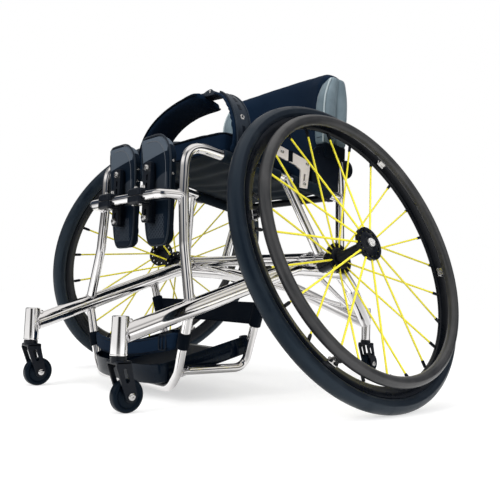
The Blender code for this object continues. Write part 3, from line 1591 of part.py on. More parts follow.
def make_ladder():
    """Make the toothed strap that the buckle grips, with its padded backing below."""
    start, curve = ladder_curve()

    def backing(x, y, z):
        share = BACKING_START_SHARE + (x + 1.0) / 2 * (1.0 - BACKING_START_SHARE)
        place, heading = bezier(curve, share)
        normal = Vector((-heading.z, 0.0, heading.x))
        depth = (z - 1.0) * BACKING_THICKNESS / 2
        width = BACKING_WIDTH * (1.0 - 0.2 * max(0.0, -x))
        return place + Vector((0.0, y * width / 2, 0.0)) + normal * depth

    item = sheet("ladder", ladder_surface, 1, 14, LADDER_THICKNESS)
    join(item, soft_block("backing", backing, (7, 1, 1)))
    cut(item, sleeve_cutter(1))
    publish(item, "strap_ladder", "black_plastic")


def lever_place():
    """Give the lever's hinge frame: Y along the hinge, X down the strap."""
    hinge = Vector((BUCKLE_LENGTH * 0.2, 0.0, LEVER_HINGE_HEIGHT))
    return buckle_place() @ Matrix.Translation(hinge)


def make_buckle():
    """Make the buckle's base and its lever."""
    frame = buckle_place()
    inner = LADDER_WIDTH / 2 + RUNNING_GAP
    outer = inner + BUCKLE_WALL
    base = block(
        "floor", (-BUCKLE_LENGTH * 0.6, -outer, 0.0), (BUCKLE_LENGTH * 0.4, outer, BUCKLE_WALL)
    )
    for side in (1, -1):
        low = (-BUCKLE_LENGTH * 0.3, min(side * inner, side * outer), 0.0)
        high = (BUCKLE_LENGTH * 0.36, max(side * inner, side * outer), BUCKLE_CHEEK_HEIGHT)
        join(base, block("cheek", low, high))
    pin_hole = cylinder(
        "pin_hole", (BUCKLE_LENGTH * 0.2, -outer * 2, LEVER_HINGE_HEIGHT),
        (BUCKLE_LENGTH * 0.2, outer * 2, LEVER_HINGE_HEIGHT), LEVER_PIN_RADIUS + GAP, 16,
    )
    cut(base, pin_hole)
    holder = bpy.data.objects.new("buckle", None)
    holder.matrix_world = frame
    holder.parent = CHAIR
    PARTS.objects.link(holder)
    for change in base.modifiers:
        change.object.parent = holder
    publish(base, "buckle_base", "black_metal", holder)

    pivot = bpy.data.objects.new("buckle_hinge", None)
    pivot.matrix_world = lever_place()
    pivot.parent = CHAIR
    PARTS.objects.link(pivot)
    half = inner - RUNNING_GAP
    lever = block(
        "lever", (-LEVER_LENGTH, -half, -LEVER_THICKNESS / 2), (0.0, half, LEVER_THICKNESS / 2),
        LEVER_THICKNESS / 4,
    )
    join(
        lever,
        cylinder("barrel", (0.0, GAP - half, 0.0), (0.0, half - GAP, 0.0), LEVER_BARREL_RADIUS, 16),
        cylinder("pin", (0.0, -outer, 0.0), (0.0, outer, 0.0), LEVER_PIN_RADIUS, 12),
    )
    for change in lever.modifiers:
        change.object.parent = pivot
    publish(lever, "buckle_lever", "black_plastic", pivot)


def main():
    """Build the chair."""
    for side, label in SIDES:
        make_wheel(side, label)
        make_side_tube(side, label)
        make_upright(side, label)
        make_post(side, label)
        make_strut(side, label)
        make_knee_pad(side, label)
        make_pad_bracket(side, label)
        make_seat_plate(side, label)
        make_side_panel(side, label)
        make_caster(
            label + "_caster", side * CASTER_HALF_TRACK, -CASTER_FORWARD, HOUSING_RADIUS, HOUSING_HEIGHT
        )
    make_caster("tail_caster", 0.0, TAIL_BACK, TAIL_HOUSING_RADIUS, TAIL_HOUSING_HEIGHT)
    make_axle_tube()
    make_foot_frame()
    make_knee_bar()
    make_tail_brace()
    make_footplate()
    make_calf_strap()
    make_foot_strap()
    make_sling()
    make_cushion()
    make_seat_tube()
    make_backrest()
    make_push_bar()
    make_thigh_pad()
    make_ladder()
    make_buckle()
    bpy.context.view_layer.update()


main()
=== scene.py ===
"""Looks of a tennis wheelchair: polished tubes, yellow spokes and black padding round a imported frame.

The chair faces -Y, +X is its left side and the floor is z = 0. All lengths are metres.
"""

from __future__ import annotations

import logging
import math
import sys
from dataclasses import dataclass, field
from enum import Enum
from typing import Callable, Iterable, Sequence

import bmesh
import bpy
from mathutils import Matrix, Vector, noise


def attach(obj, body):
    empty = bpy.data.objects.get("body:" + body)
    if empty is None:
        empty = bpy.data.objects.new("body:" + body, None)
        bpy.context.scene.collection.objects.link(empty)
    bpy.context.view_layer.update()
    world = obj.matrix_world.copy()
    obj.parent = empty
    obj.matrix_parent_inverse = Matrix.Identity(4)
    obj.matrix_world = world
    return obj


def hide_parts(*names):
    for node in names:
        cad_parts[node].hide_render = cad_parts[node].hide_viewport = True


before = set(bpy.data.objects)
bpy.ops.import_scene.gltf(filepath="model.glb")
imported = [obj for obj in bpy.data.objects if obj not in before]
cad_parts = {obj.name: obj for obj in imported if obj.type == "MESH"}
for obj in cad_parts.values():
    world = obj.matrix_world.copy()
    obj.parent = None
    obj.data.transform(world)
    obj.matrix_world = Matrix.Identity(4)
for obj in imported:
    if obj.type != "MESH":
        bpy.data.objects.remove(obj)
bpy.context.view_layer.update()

log = logging.getLogger("wheelchair")
Shape = Callable[[float, float, float], Vector]
AXLE_Y = -0.036
GAP = 0.0003


class Side(Enum):
    """The chair's two sides, with the sign of their x."""

    LEFT = 1
    RIGHT = -1

    @property
    def label(self) -> str:
        """Name as the frame's pieces spell it."""
        return self.name.lower()

    def point(self, x: float, y: float, z: float) -> Vector:
        """Place a point given from below the axle on this side."""
        return Vector((self.value * x, y + AXLE_Y, z))


# Finishes


def node_group(name: str, inputs: dict[str, float], outputs: dict[str, str]) -> bpy.types.NodeTree:
    """Start a shader node group with named sockets.

    Args:
        name: The group's name.
        inputs: Default value of each float input.
        outputs: Socket type of each output.

    Returns:
        The group with its input and output nodes.
    """
    group = bpy.data.node_groups.new(name, "ShaderNodeTree")
    group.interface.new_socket("Vector", in_out="INPUT", socket_type="NodeSocketVector")
    for label, value in inputs.items():
        socket = group.interface.new_socket(label, in_out="INPUT", socket_type="NodeSocketFloat")
        socket.default_value = value
    for label, kind in outputs.items():
        group.interface.new_socket(label, in_out="OUTPUT", socket_type=kind)
    group.nodes.new("NodeGroupInput")
    group.nodes.new("NodeGroupOutput")
    return group


class Wiring:
    """Adds nodes to a tree and links them in a line or two."""

    def __init__(self, tree: bpy.types.NodeTree) -> None:
        """Keep the tree."""
        self.tree = tree

    def add(self, kind: str, links: dict | None = None, **settings) -> bpy.types.Node:
        """Add a node.

        Args:
            kind: The node's type without the ShaderNode prefix.
            links: Input name or index to a value or an output socket.
            settings: Attributes of the node.

        Returns:
            The new node.
        """
        made = self.tree.nodes.new("ShaderNode" + kind)
        for key, value in settings.items():
            setattr(made, key, value)
        for key, value in (links or {}).items():
            if isinstance(value, bpy.types.NodeSocket):
                self.tree.links.new(value, made.inputs[key])
            else:
                made.inputs[key].default_value = value
        return made

    def math(self, operation: str, *values) -> bpy.types.NodeSocket:
        """Add a Math node on up to three values or sockets and give its output."""
        made = self.add("Math", dict(enumerate(values)), operation=operation)
        return made.outputs[0]

    def ramp(self, value, low: float, high: float, out_low: float, out_high: float):
        """Map a value smoothly from one range to another and give the result."""
        made = self.add(
            "MapRange",
            {"Value": value, "From Min": low, "From Max": high, "To Min": out_low, "To Max": out_high},
        )
        return made.outputs["Result"]

    def blend(self, mask, first, second):
        """Mix two colours by a mask and give the result."""
        made = self.add("Mix", {0: mask, 6: first, 7: second}, data_type="RGBA")
        return made.outputs[2]


def make_wear_group() -> bpy.types.NodeTree:
    """Handling marks: a rough-patch value and a fine scratch height."""
    group = node_group(
        "handling_wear",
        {"Scale": 30.0, "Low": 0.1, "High": 0.3},
        {"Roughness": "NodeSocketFloat", "Height": "NodeSocketFloat", "Patch": "NodeSocketFloat"},
    )
    wire = Wiring(group)
    entry = group.nodes["Group Input"]
    cloud = wire.add("TexNoise", {"Vector": entry.outputs["Vector"], "Scale": entry.outputs["Scale"], "Detail": 5.0})
    streak_scale = wire.math("MULTIPLY", entry.outputs["Scale"], 14.0)
    streak = wire.add("TexNoise", {"Vector": entry.outputs["Vector"], "Scale": streak_scale, "Detail": 2.0})
    patch = wire.ramp(cloud.outputs["Fac"], 0.42, 0.72, 0.0, 1.0)
    span = wire.math("SUBTRACT", entry.outputs["High"], entry.outputs["Low"])
    rough = wire.math("MULTIPLY_ADD", patch, span, entry.outputs["Low"])
    out = group.nodes["Group Output"]
    group.links.new(rough, out.inputs["Roughness"])
    group.links.new(streak.outputs["Fac"], out.inputs["Height"])
    group.links.new(patch, out.inputs["Patch"])
    return group


def make_cloth_group() -> bpy.types.NodeTree:
    """Close knit: the height of small cells over soft creases, and the crease value that lays a painted highlight on
    the raised creases.
    """
    group = node_group(
        "close_knit",
        {"Cells": 900.0, "Creases": 14.0, "Crease Share": 0.4},
        {"Height": "NodeSocketFloat", "Shade": "NodeSocketFloat"},
    )
    wire = Wiring(group)
    entry = group.nodes["Group Input"]
    cells = wire.add("TexVoronoi", {"Vector": entry.outputs["Vector"], "Scale": entry.outputs["Cells"]})
    crease = wire.add(
        "TexNoise",
        {"Vector": entry.outputs["Vector"], "Scale": entry.outputs["Creases"], "Detail": 3.0, "Distortion": 0.6},
    )
    knit = wire.math("MULTIPLY", cells.outputs["Distance"], -0.25)
    height = wire.math("MULTIPLY_ADD", crease.outputs["Fac"], entry.outputs["Crease Share"], knit)
    out = group.nodes["Group Output"]
    group.links.new(height, out.inputs["Height"])
    # The crease value is the mask of a painted highlight: where the creases rise, the cloth gets its lighter colour.
    group.links.new(crease.outputs["Fac"], out.inputs["Shade"])
    return group


def make_grain_group() -> bpy.types.NodeTree:
    """Moulded grain: pebbled height and faint dust in the hollows."""
    group = node_group(
        "moulded_grain",
        {"Scale": 500.0},
        {"Height": "NodeSocketFloat", "Dust": "NodeSocketFloat"},
    )
    wire = Wiring(group)
    entry = group.nodes["Group Input"]
    pebble = wire.add(
        "TexVoronoi",
        {"Vector": entry.outputs["Vector"], "Scale": entry.outputs["Scale"]},
        feature="SMOOTH_F1",
    )
    cloud = wire.add("TexNoise", {"Vector": entry.outputs["Vector"], "Scale": 22.0, "Detail": 6.0})
    out = group.nodes["Group Output"]
    group.links.new(pebble.outputs["Distance"], out.inputs["Height"])
    group.links.new(wire.ramp(cloud.outputs["Fac"], 0.5, 0.8, 0.0, 1.0), out.inputs["Dust"])
    return group


WEAR = make_wear_group()
KNIT = make_cloth_group()
GRAIN = make_grain_group()
Colour = tuple[float, float, float]
NAVY_SHINE = (0.62, 0.82, 1.0, 1.0)


def rgba(colour: Colour) -> tuple[float, float, float, float]:
    """Add a full alpha to a colour."""
    return (*colour, 1.0)


def start_material(name: str, roughness: float, metallic: float, **sockets) -> tuple[Wiring, bpy.types.Material]:
    """Make a Principled material with its constant values on the shader.

    Args:
        name: The material's name.
        roughness: Roughness where nothing is linked.
        metallic: Metallic value.
        sockets: More shader inputs, with underscores for spaces.

    Returns:
        The wiring of its tree, and the material.
    """
    material = bpy.data.materials.new(name)
    material.use_nodes = True
    shader = material.node_tree.nodes["Principled BSDF"]
    shader.inputs["Roughness"].default_value = roughness
    shader.inputs["Metallic"].default_value = metallic
    for key, value in sockets.items():
        shader.inputs[key.replace("_", " ")].default_value = value
    return Wiring(material.node_tree), material


def connect(wire: Wiring, colour=None, roughness=None, height=None, depth: float = 0.001, strength: float = 1.0) -> None:
    """Link what varies to the shader.

    Args:
        wire: The material's wiring.
        colour: A colour socket or four numbers.
        roughness: A value socket.
        height: A height socket for the bump.
        depth: The bump's distance in metres.
        strength: The bump's strength.
    """
    shader = wire.tree.nodes["Principled BSDF"]
    if isinstance(colour, bpy.types.NodeSocket):
        wire.tree.links.new(colour, shader.inputs["Base Color"])
    elif colour is not None:
        shader.inputs["Base Color"].default_value = colour
    if roughness is not None:
        wire.tree.links.new(roughness, shader.inputs["Roughness"])
    if height is not None:
        bump = wire.add("Bump", {"Height": height, "Distance": depth, "Strength": strength})
        wire.tree.links.new(bump.outputs["Normal"], shader.inputs["Normal"])


@dataclass(frozen=True)
class Metal:
    """Bare or coated metal with handling marks."""

    name: str
    colour: Colour
    tint: Colour
    low: float
    high: float
    metallic: float = 1.0
    scale: float = 30.0
    scratch: float = 0.00002
    coat: float = 0.0
    shine: float = 0.5

    def build(self) -> bpy.types.Material:
        """Make the material."""
        wire, material = start_material(
            self.name, self.low, self.metallic, Coat_Weight=self.coat, Specular_IOR_Level=self.shine
        )
        place = wire.add("TexCoord").outputs["Object"]
        wear = wire.add("Group", node_tree=WEAR)
        wire.tree.links.new(place, wear.inputs["Vector"])
        wear.inputs["Scale"].default_value = self.scale
        wear.inputs["Low"].default_value = self.low
        wear.inputs["High"].default_value = self.high
        colour = wire.blend(wear.outputs["Patch"], rgba(self.colour), rgba(self.tint))
        connect(wire, colour, wear.outputs["Roughness"], wear.outputs["Height"], self.scratch, 0.4)
        return material


@dataclass(frozen=True)
class Cloth:
    """Knitted or woven padding cover; its second colour, shade, is a painted highlight on the raised creases."""

    name: str
    colour: Colour
    # shade: the lighter colour painted on the raised creases, a painted highlight
    shade: Colour
    roughness: float = 0.85
    sheen: float = 0.35
    cells: float = 900.0
    creases: float = 14.0
    depth: float = 0.0006
    share: float = 0.6
    shine: float = 0.16

    def build(self) -> bpy.types.Material:
        """Make the material."""
        wire, material = start_material(
            self.name, self.roughness, 0.0, Sheen_Weight=self.sheen, Sheen_Roughness=0.5,
            Specular_IOR_Level=self.shine, Specular_Tint=NAVY_SHINE,
        )
        place = wire.add("TexCoord").outputs["Object"]
        knit = wire.add("Group", node_tree=KNIT)
        wire.tree.links.new(place, knit.inputs["Vector"])
        knit.inputs["Cells"].default_value = self.cells
        knit.inputs["Creases"].default_value = self.creases
        knit.inputs["Crease Share"].default_value = self.share
        # Painted highlight: the lighter second colour, shade, is laid where the creases rise.
        colour = wire.blend(knit.outputs["Shade"], rgba(self.colour), rgba(self.shade))
        connect(wire, colour, None, knit.outputs["Height"], self.depth, 0.6)
        return material


@dataclass(frozen=True)
class Moulded:
    """Moulded plastic or rubber with a fine grain and a little dust."""

    name: str
    colour: Colour
    dusty: Colour
    roughness: float
    dusty_roughness: float
    grain: float = 600.0
    depth: float = 0.00006
    coat: float = 0.0
    shine: float = 0.14

    def build(self) -> bpy.types.Material:
        """Make the material."""
        wire, material = start_material(
            self.name, self.roughness, 0.0, Coat_Weight=self.coat, Coat_Roughness=0.12,
            Specular_IOR_Level=self.shine, Specular_Tint=NAVY_SHINE,
        )
        place = wire.add("TexCoord").outputs["Object"]
        grain = wire.add("Group", node_tree=GRAIN)
        wire.tree.links.new(place, grain.inputs["Vector"])
        grain.inputs["Scale"].default_value = self.grain
        dust = grain.outputs["Dust"]
        colour = wire.blend(dust, rgba(self.colour), rgba(self.dusty))
        rough = wire.ramp(dust, 0.0, 1.0, self.roughness, self.dusty_roughness)
        connect(wire, colour, rough, grain.outputs["Height"], self.depth, 0.5)
        return material


@dataclass(frozen=True)
class Tread:
    """Tyre rubber: file tread on the crown and a faint moulded ring on each wall, on the piece's own map."""

    name: str
    colour: Colour
    dusty: Colour
    roughness: float = 0.38

    def build(self) -> bpy.types.Material:
        """Make the material. The map's u runs round the tyre and v across it, in metres from the crown."""
        wire, material = start_material(
            self.name, self.roughness, 0.0, Specular_IOR_Level=0.38, Specular_Tint=NAVY_SHINE
        )
        coords = wire.add("TexCoord")
        parts = wire.add("SeparateXYZ", {0: coords.outputs["UV"]})
        around, across = parts.outputs["X"], parts.outputs["Y"]
        out = wire.math("ABSOLUTE", across)
        crown = wire.ramp(out, 0.0075, 0.0085, 1.0, 0.0)
        slant = wire.math("MULTIPLY_ADD", out, 1.2, around)
        file_cut = wire.math("SINE", wire.math("MULTIPLY", slant, math.tau / 0.0032))
        rib = wire.math("SINE", wire.math("MULTIPLY", out, math.tau / 0.0026))
        pattern = wire.math("MULTIPLY", wire.math("MAXIMUM", file_cut, rib), crown)
        grain = wire.add("Group", node_tree=GRAIN)
        wire.tree.links.new(coords.outputs["Object"], grain.inputs["Vector"])
        grain.inputs["Scale"].default_value = 900.0
        height = wire.math("MULTIPLY_ADD", grain.outputs["Height"], 0.3, pattern)
        dust = wire.math("MULTIPLY", grain.outputs["Dust"], wire.ramp(out, 0.002, 0.012, 0.9, 0.25))
        colour = wire.blend(dust, rgba(self.colour), rgba(self.dusty))
        rough = wire.ramp(dust, 0.0, 1.0, self.roughness, 0.85)
        connect(wire, colour, rough, height, 0.00018, 0.7)
        return material


@dataclass(frozen=True)
class Fibre:
    """Braided fibre spoke in a clear sleeve."""

    name: str
    colour: Colour
    shade: Colour

    def build(self) -> bpy.types.Material:
        """Make the material."""
        wire, material = start_material(self.name, 0.38, 0.0, Coat_Weight=0.5, Coat_Roughness=0.15)
        place = wire.add("TexCoord").outputs["Object"]
        braid = wire.add("TexVoronoi", {"Vector": place, "Scale": 900.0})
        soil = wire.add("TexNoise", {"Vector": place, "Scale": 60.0, "Detail": 4.0})
        mask = wire.ramp(soil.outputs["Fac"], 0.45, 0.75, 0.0, 0.5)
        colour = wire.blend(mask, rgba(self.colour), rgba(self.shade))
        connect(wire, colour, None, braid.outputs["Distance"], 0.0002, 0.4)
        return material


POLISHED = Metal("polished_tube", (0.84, 0.825, 0.82), (0.76, 0.745, 0.745), 0.050, 0.12, scale=9.0, scratch=0.000002)
WELD = Metal("weld_bead", (0.70, 0.69, 0.70), (0.52, 0.51, 0.52), 0.20, 0.38, scale=60.0, scratch=0.0002)
STEEL = Metal("turned_steel", (0.72, 0.71, 0.70), (0.55, 0.54, 0.54), 0.16, 0.34, scale=50.0)
PIN_STEEL = Metal("ground_pin", (0.95, 0.94, 0.92), (0.86, 0.85, 0.84), 0.42, 0.52, 0.6, 50.0)
CHROME_PLATE = Metal("polished_plate", (0.95, 0.89, 0.86), (0.88, 0.82, 0.79), 0.34, 0.46, 0.45, 12.0, 0.000004)
ANODISED = Metal("black_anodised", (0.0040, 0.0055, 0.0090), (0.0090, 0.0110, 0.0150), 0.26, 0.42, 0.25, 18.0, shine=0.24)
SATIN_BLACK = Metal("satin_black_paint", (0.0025, 0.0042, 0.0080), (0.0060, 0.0085, 0.0130), 0.28, 0.44, 0.0, 14.0,
                    coat=0.04, shine=0.18)
HANDRIM_COAT = Metal("handrim_coat", (0.031, 0.032, 0.034), (0.058, 0.057, 0.058), 0.28, 0.42, 0.30, 16.0, 0.00004)
GLOSS_BLACK = Moulded("gloss_black_shell", (0.0012, 0.0035, 0.0085), (0.0030, 0.0065, 0.0120), 0.15, 0.30, 300.0, 0.00001,
                      0.12, 0.10)
BLACK_PLASTIC = Moulded("grained_black_plastic", (0.0045, 0.0065, 0.0110), (0.0120, 0.0150, 0.0210), 0.42, 0.62)
STRAP_PLASTIC = Moulded("strap_plastic", (0.022, 0.028, 0.038), (0.050, 0.060, 0.075), 0.30, 0.48, 350.0)
CASTER_RUBBER = Moulded("caster_polyurethane", (0.0018, 0.0042, 0.0085), (0.0050, 0.0085, 0.0140), 0.32, 0.52, 400.0, 0.00003)
RUBBER = Tread("tyre_rubber", (0.0032, 0.0060, 0.0110), (0.016, 0.021, 0.027))
# Each cloth's second colour is a painted highlight on its raised creases.
NAVY_CLOTH = Cloth("dark_neoprene", (0.0027, 0.0090, 0.0225), (0.0050, 0.0135, 0.0300), sheen=0.02, shine=0.10)
SLING_CLOTH = Cloth("woven_sling", (0.0035, 0.0080, 0.0145), (0.0085, 0.0150, 0.0240), 0.75, 0.03, 700.0, 22.0, 0.0012)
GREY_CLOTH = Cloth("grey_pad_cloth", (0.080, 0.090, 0.105), (0.110, 0.120, 0.135), 0.7, 0.05, 800.0, 10.0, 0.0004)
# The grey-teal leather's second colour is much lighter: a strong painted highlight on its creases.
TEAL_LEATHER = Cloth("grey_teal_leather", (0.075, 0.108, 0.130), (0.200, 0.255, 0.285), 0.34, 0.05, 500.0, 26.0, 0.0014)
PIPING_CLOTH = Cloth("light_piping", (0.30, 0.36, 0.38), (0.42, 0.48, 0.50), 0.6, 0.1, 900.0, 10.0, 0.0003)
PIPING_DARK = Cloth("dark_piping", (0.010, 0.014, 0.021), (0.022, 0.028, 0.037), 0.50, 0.05, 900.0, 10.0, 0.0003)
WEBBING = Cloth("black_webbing", (0.0012, 0.0024, 0.0052), (0.0030, 0.0050, 0.0090), 0.60, 0.01, 600.0, 18.0, 0.0006,
                shine=0.06)
YELLOW = Fibre("yellow_fibre", (0.97, 0.86, 0.030), (0.90, 0.77, 0.026))


class Palette:
    """Builds each finish the first time it is asked for."""

    def __init__(self) -> None:
        """Start with no materials."""
        self.made: dict[str, bpy.types.Material] = {}

    def get(self, finish) -> bpy.types.Material:
        """Give the material of a finish."""
        if finish.name not in self.made:
            self.made[finish.name] = finish.build()
        return self.made[finish.name]


PALETTE = Palette()


# Modelling


def pick_only(*items: bpy.types.Object) -> None:
    """Select these objects alone and make the first active."""
    bpy.ops.object.select_all(action="DESELECT")
    for item in items:
        item.select_set(True)
    bpy.context.view_layer.objects.active = items[0]


def edit(item: bpy.types.Object, *steps: Callable[[], object]) -> None:
    """Run operators on all of a mesh in edit mode.

    Args:
        item: The mesh object.
        steps: Calls to make in order, each starting with everything selected.
    """
    pick_only(item)
    bpy.ops.object.mode_set(mode="EDIT")
    for step in steps:
        bpy.ops.mesh.select_all(action="SELECT")
        step()
    bpy.ops.object.mode_set(mode="OBJECT")


def clean(item: bpy.types.Object, distance: float = 0.00001) -> None:
    """Merge doubles and turn the faces outward."""
    edit(
        item,
        lambda: bpy.ops.mesh.remove_doubles(threshold=distance),
        lambda: bpy.ops.mesh.normals_make_consistent(inside=False),
    )


def settle(item: bpy.types.Object, angle: float = 35.0) -> bpy.types.Object:
    """Apply an object's place to its mesh and shade it smooth up to an angle in degrees."""
    pick_only(item)
    bpy.ops.object.transform_apply(location=True, rotation=True, scale=True)
    bpy.ops.object.shade_smooth_by_angle(angle=math.radians(angle))
    return item


def modify(item: bpy.types.Object, kind: str, **settings) -> bpy.types.Object:
    """Add a modifier, set it up and apply it."""
    change = item.modifiers.new(kind.lower(), kind)
    for key, value in settings.items():
        setattr(change, key, value)
    pick_only(item)
    bpy.ops.object.modifier_apply(modifier=change.name)
    return item


def soften(item: bpy.types.Object, width: float, segments: int = 2) -> bpy.types.Object:
    """Round the edges sharper than 40 degrees."""
    return modify(item, "BEVEL", width=width, segments=segments, limit_method="ANGLE", angle_limit=math.radians(40.0))


def carve(item: bpy.types.Object, tool: bpy.types.Object, operation: str = "DIFFERENCE") -> bpy.types.Object:
    """Apply a Boolean with a tool that is then removed."""
    modify(item, "BOOLEAN", operation=operation, solver="EXACT", object=tool)
    bpy.data.objects.remove(tool, do_unlink=True)
    return item


def fuse(items: Sequence[bpy.types.Object], name: str) -> bpy.types.Object:
    """Join objects into one piece, which keeps their materials."""
    pick_only(*items)
    if len(items) > 1:
        bpy.ops.object.join()
    joined = bpy.context.view_layer.objects.active
    joined.name = name
    joined.data.name = name
    return joined


def dress(item: bpy.types.Object, finish) -> bpy.types.Object:
    """Give a mesh one finish."""
    item.data.materials.clear()
    item.data.materials.append(PALETTE.get(finish))
    return item


def between(start: Vector, end: Vector) -> Matrix:
    """Give the frame at the middle of two points, with Z toward the second."""
    turn = (end - start).to_track_quat("Z", "Y").to_matrix().to_4x4()
    return Matrix.Translation((start + end) / 2) @ turn


def rod(name: str, start: Vector, end: Vector, radius: float, sides: int = 24, end_radius: float | None = None):
    """Model a round bar or a cone between two points and return it."""
    bpy.ops.object.select_all(action="DESELECT")
    bpy.ops.mesh.primitive_cone_add(
        vertices=sides, radius1=radius, radius2=radius if end_radius is None else end_radius,
        depth=(end - start).length,
    )
    item = bpy.context.object
    item.name = name
    item.matrix_world = between(start, end)
    return settle(item)


def slab(name: str, low: Sequence[float], high: Sequence[float], place: Matrix, bevel: float = 0.0, segments: int = 2):
    """Model a box between two corners of a frame, with rounded edges, and return it."""
    bpy.ops.object.select_all(action="DESELECT")
    bpy.ops.mesh.primitive_cube_add(size=1.0)
    item = bpy.context.object
    item.name = name
    size = Vector(high) - Vector(low)
    item.data.transform(Matrix.Diagonal((*size, 1.0)))
    item.data.transform(Matrix.Translation((Vector(high) + Vector(low)) / 2))
    item.matrix_world = place
    settle(item)
    return soften(item, bevel, segments) if bevel else item


def tube(name: str, path: Sequence[Vector], radius: float, sides: int = 32, radii: Sequence[float] | None = None,
         cyclic: bool = False):
    """Sweep a round section along a path.

    Args:
        name: The piece's name.
        path: Points of the centreline.
        radius: Radius of the section.
        sides: Sides of the section, an even number of 4 or more.
        radii: Share of the radius at each point.
        cyclic: Close the path.

    Returns:
        The tube as a mesh.
    """
    curve = bpy.data.curves.new(name, "CURVE")
    curve.dimensions = "3D"
    curve.bevel_depth = radius
    curve.bevel_resolution = (sides - 4) // 2
    curve.use_fill_caps = not cyclic
    spline = curve.splines.new("POLY")
    spline.points.add(len(path) - 1)
    spline.use_cyclic_u = cyclic
    for index, (knot, place) in enumerate(zip(spline.points, path)):
        knot.co = (*place, 1.0)
        knot.radius = radii[index] if radii else 1.0
    item = bpy.data.objects.new(name, curve)
    bpy.context.scene.collection.objects.link(item)
    pick_only(item)
    bpy.ops.object.convert(target="MESH")
    item = bpy.context.object
    clean(item)
    return settle(item)


def turned(name: str, profile: Sequence[tuple[float, float]], place: Matrix, steps: int = 64, angle: float = 35.0):
    """Spin a closed outline of (radius, height) pairs round the frame's Z.

    Args:
        name: The piece's name.
        profile: The outline's corners in order. Where it starts and ends at radius 0, the axis closes it.
        place: The frame.
        steps: Steps of the turn.
        angle: Smoothing angle in degrees.

    Returns:
        The turned piece.
    """
    bpy.ops.object.select_all(action="DESELECT")
    bpy.ops.mesh.primitive_circle_add(vertices=len(profile), radius=1.0)
    item = bpy.context.object
    item.name = name
    for vert, (radius, height) in zip(item.data.vertices, profile):
        vert.co = (radius, 0.0, height)
    if profile[0][0] == 0.0 and profile[-1][0] == 0.0:
        work = bmesh.new()
        work.from_mesh(item.data)
        axis = [edge for edge in work.edges if all(abs(vert.co.x) < 1e-9 for vert in edge.verts)]
        bmesh.ops.delete(work, geom=axis, context="EDGES")
        work.to_mesh(item.data)
        work.free()
    edit(
        item,
        lambda: bpy.ops.mesh.spin(steps=steps, angle=math.tau, center=(0.0, 0.0, 0.0), axis=(0.0, 0.0, 1.0)),
    )
    clean(item)
    item.matrix_world = place
    return settle(item, angle)


def plate(name: str, outline: Sequence[tuple[float, float]], thickness: float, place: Matrix, bevel: float = 0.0,
          holes: Sequence[Sequence[tuple[float, float]]] = ()):
    """Extrude a flat outline with holes, centred on its plane, and round its edges.

    Args:
        name: The piece's name.
        outline: The outer outline in the plane.
        thickness: Thickness across the plane.
        place: The plane's frame.
        bevel: Width of the rounding.
        holes: Inner outlines.

    Returns:
        The plate.
    """
    curve = bpy.data.curves.new(name, "CURVE")
    curve.dimensions = "2D"
    curve.fill_mode = "BOTH"
    curve.extrude = thickness / 2
    for loop in (outline, *holes):
        spline = curve.splines.new("POLY")
        spline.points.add(len(loop) - 1)
        spline.use_cyclic_u = True
        for knot, (across, up) in zip(spline.points, loop):
            knot.co = (across, up, 0.0, 1.0)
    item = bpy.data.objects.new(name, curve)
    bpy.context.scene.collection.objects.link(item)
    pick_only(item)
    bpy.ops.object.convert(target="MESH")
    item = bpy.context.object
    clean(item)
    item.matrix_world = place
    settle(item)
    return soften(item, bevel) if bevel else item


def shaped(name: str, shape: Shape, cuts: tuple[int, int, int], levels: int = 2) -> bpy.types.Object:
    """Cut a cube along each axis, map it through a shape and smooth it.

    Args:
        name: The piece's name.
        shape: Takes x, y and z from -1 to 1 and gives a place.
        cuts: Cuts along each axis.
        levels: Levels of subdivision.

    Returns:
        The piece.
    """
    bpy.ops.object.select_all(action="DESELECT")
    bpy.ops.mesh.primitive_cube_add(size=2.0)
    item = bpy.context.object
    item.name = name
    work = bmesh.new()
    work.from_mesh(item.data)
    for axis, count in enumerate(cuts):
        along = [e for e in work.edges if abs(e.verts[0].co[axis] - e.verts[1].co[axis]) > 1.5]
        if count:
            bmesh.ops.subdivide_edges(work, edges=along, cuts=count, use_grid_fill=True)
    for vert in work.verts:
        vert.co = shape(*vert.co)
    if work.calc_volume(signed=True) < 0.0:
        bmesh.ops.reverse_faces(work, faces=work.faces)
    work.to_mesh(item.data)
    work.free()
    modify(item, "SUBSURF", levels=levels, render_levels=levels)
    return settle(item, 180.0)


def lattice_sheet(name: str, surface: Callable[[float, float], Vector], columns: int, rows: int, thickness: float,
                  levels: int = 1) -> bpy.types.Object:
    """Give thickness to a grid mapped through a function of two shares from 0 to 1, and return it."""
    bpy.ops.object.select_all(action="DESELECT")
    bpy.ops.mesh.primitive_grid_add(x_subdivisions=columns, y_subdivisions=rows, size=1.0)
    item = bpy.context.object
    item.name = name
    for vert in item.data.vertices:
        vert.co = surface(vert.co.x + 0.5, vert.co.y + 0.5)
    modify(item, "SOLIDIFY", thickness=thickness, offset=0.0)
    if levels:
        modify(item, "SUBSURF", levels=levels, render_levels=levels)
    clean(item)
    return settle(item, 50.0)


def map_uv(item: bpy.types.Object, where: Callable[[Vector], tuple[float, float]], wrap: float = 0.0) -> None:
    """Store a map on a mesh.

    Args:
        item: The mesh object.
        where: Gives u and v of a point.
        wrap: Length after which u starts again, so that a face across the seam stays whole.
    """
    layer = item.data.uv_layers.new(name="UVMap")
    for face in item.data.polygons:
        found = [where(item.data.vertices[item.data.loops[i].vertex_index].co) for i in face.loop_indices]
        first = found[0][0]
        for index, (u, v) in zip(face.loop_indices, found):
            if wrap:
                u -= wrap * round((u - first) / wrap)
            layer.data[index].uv = (u, v)


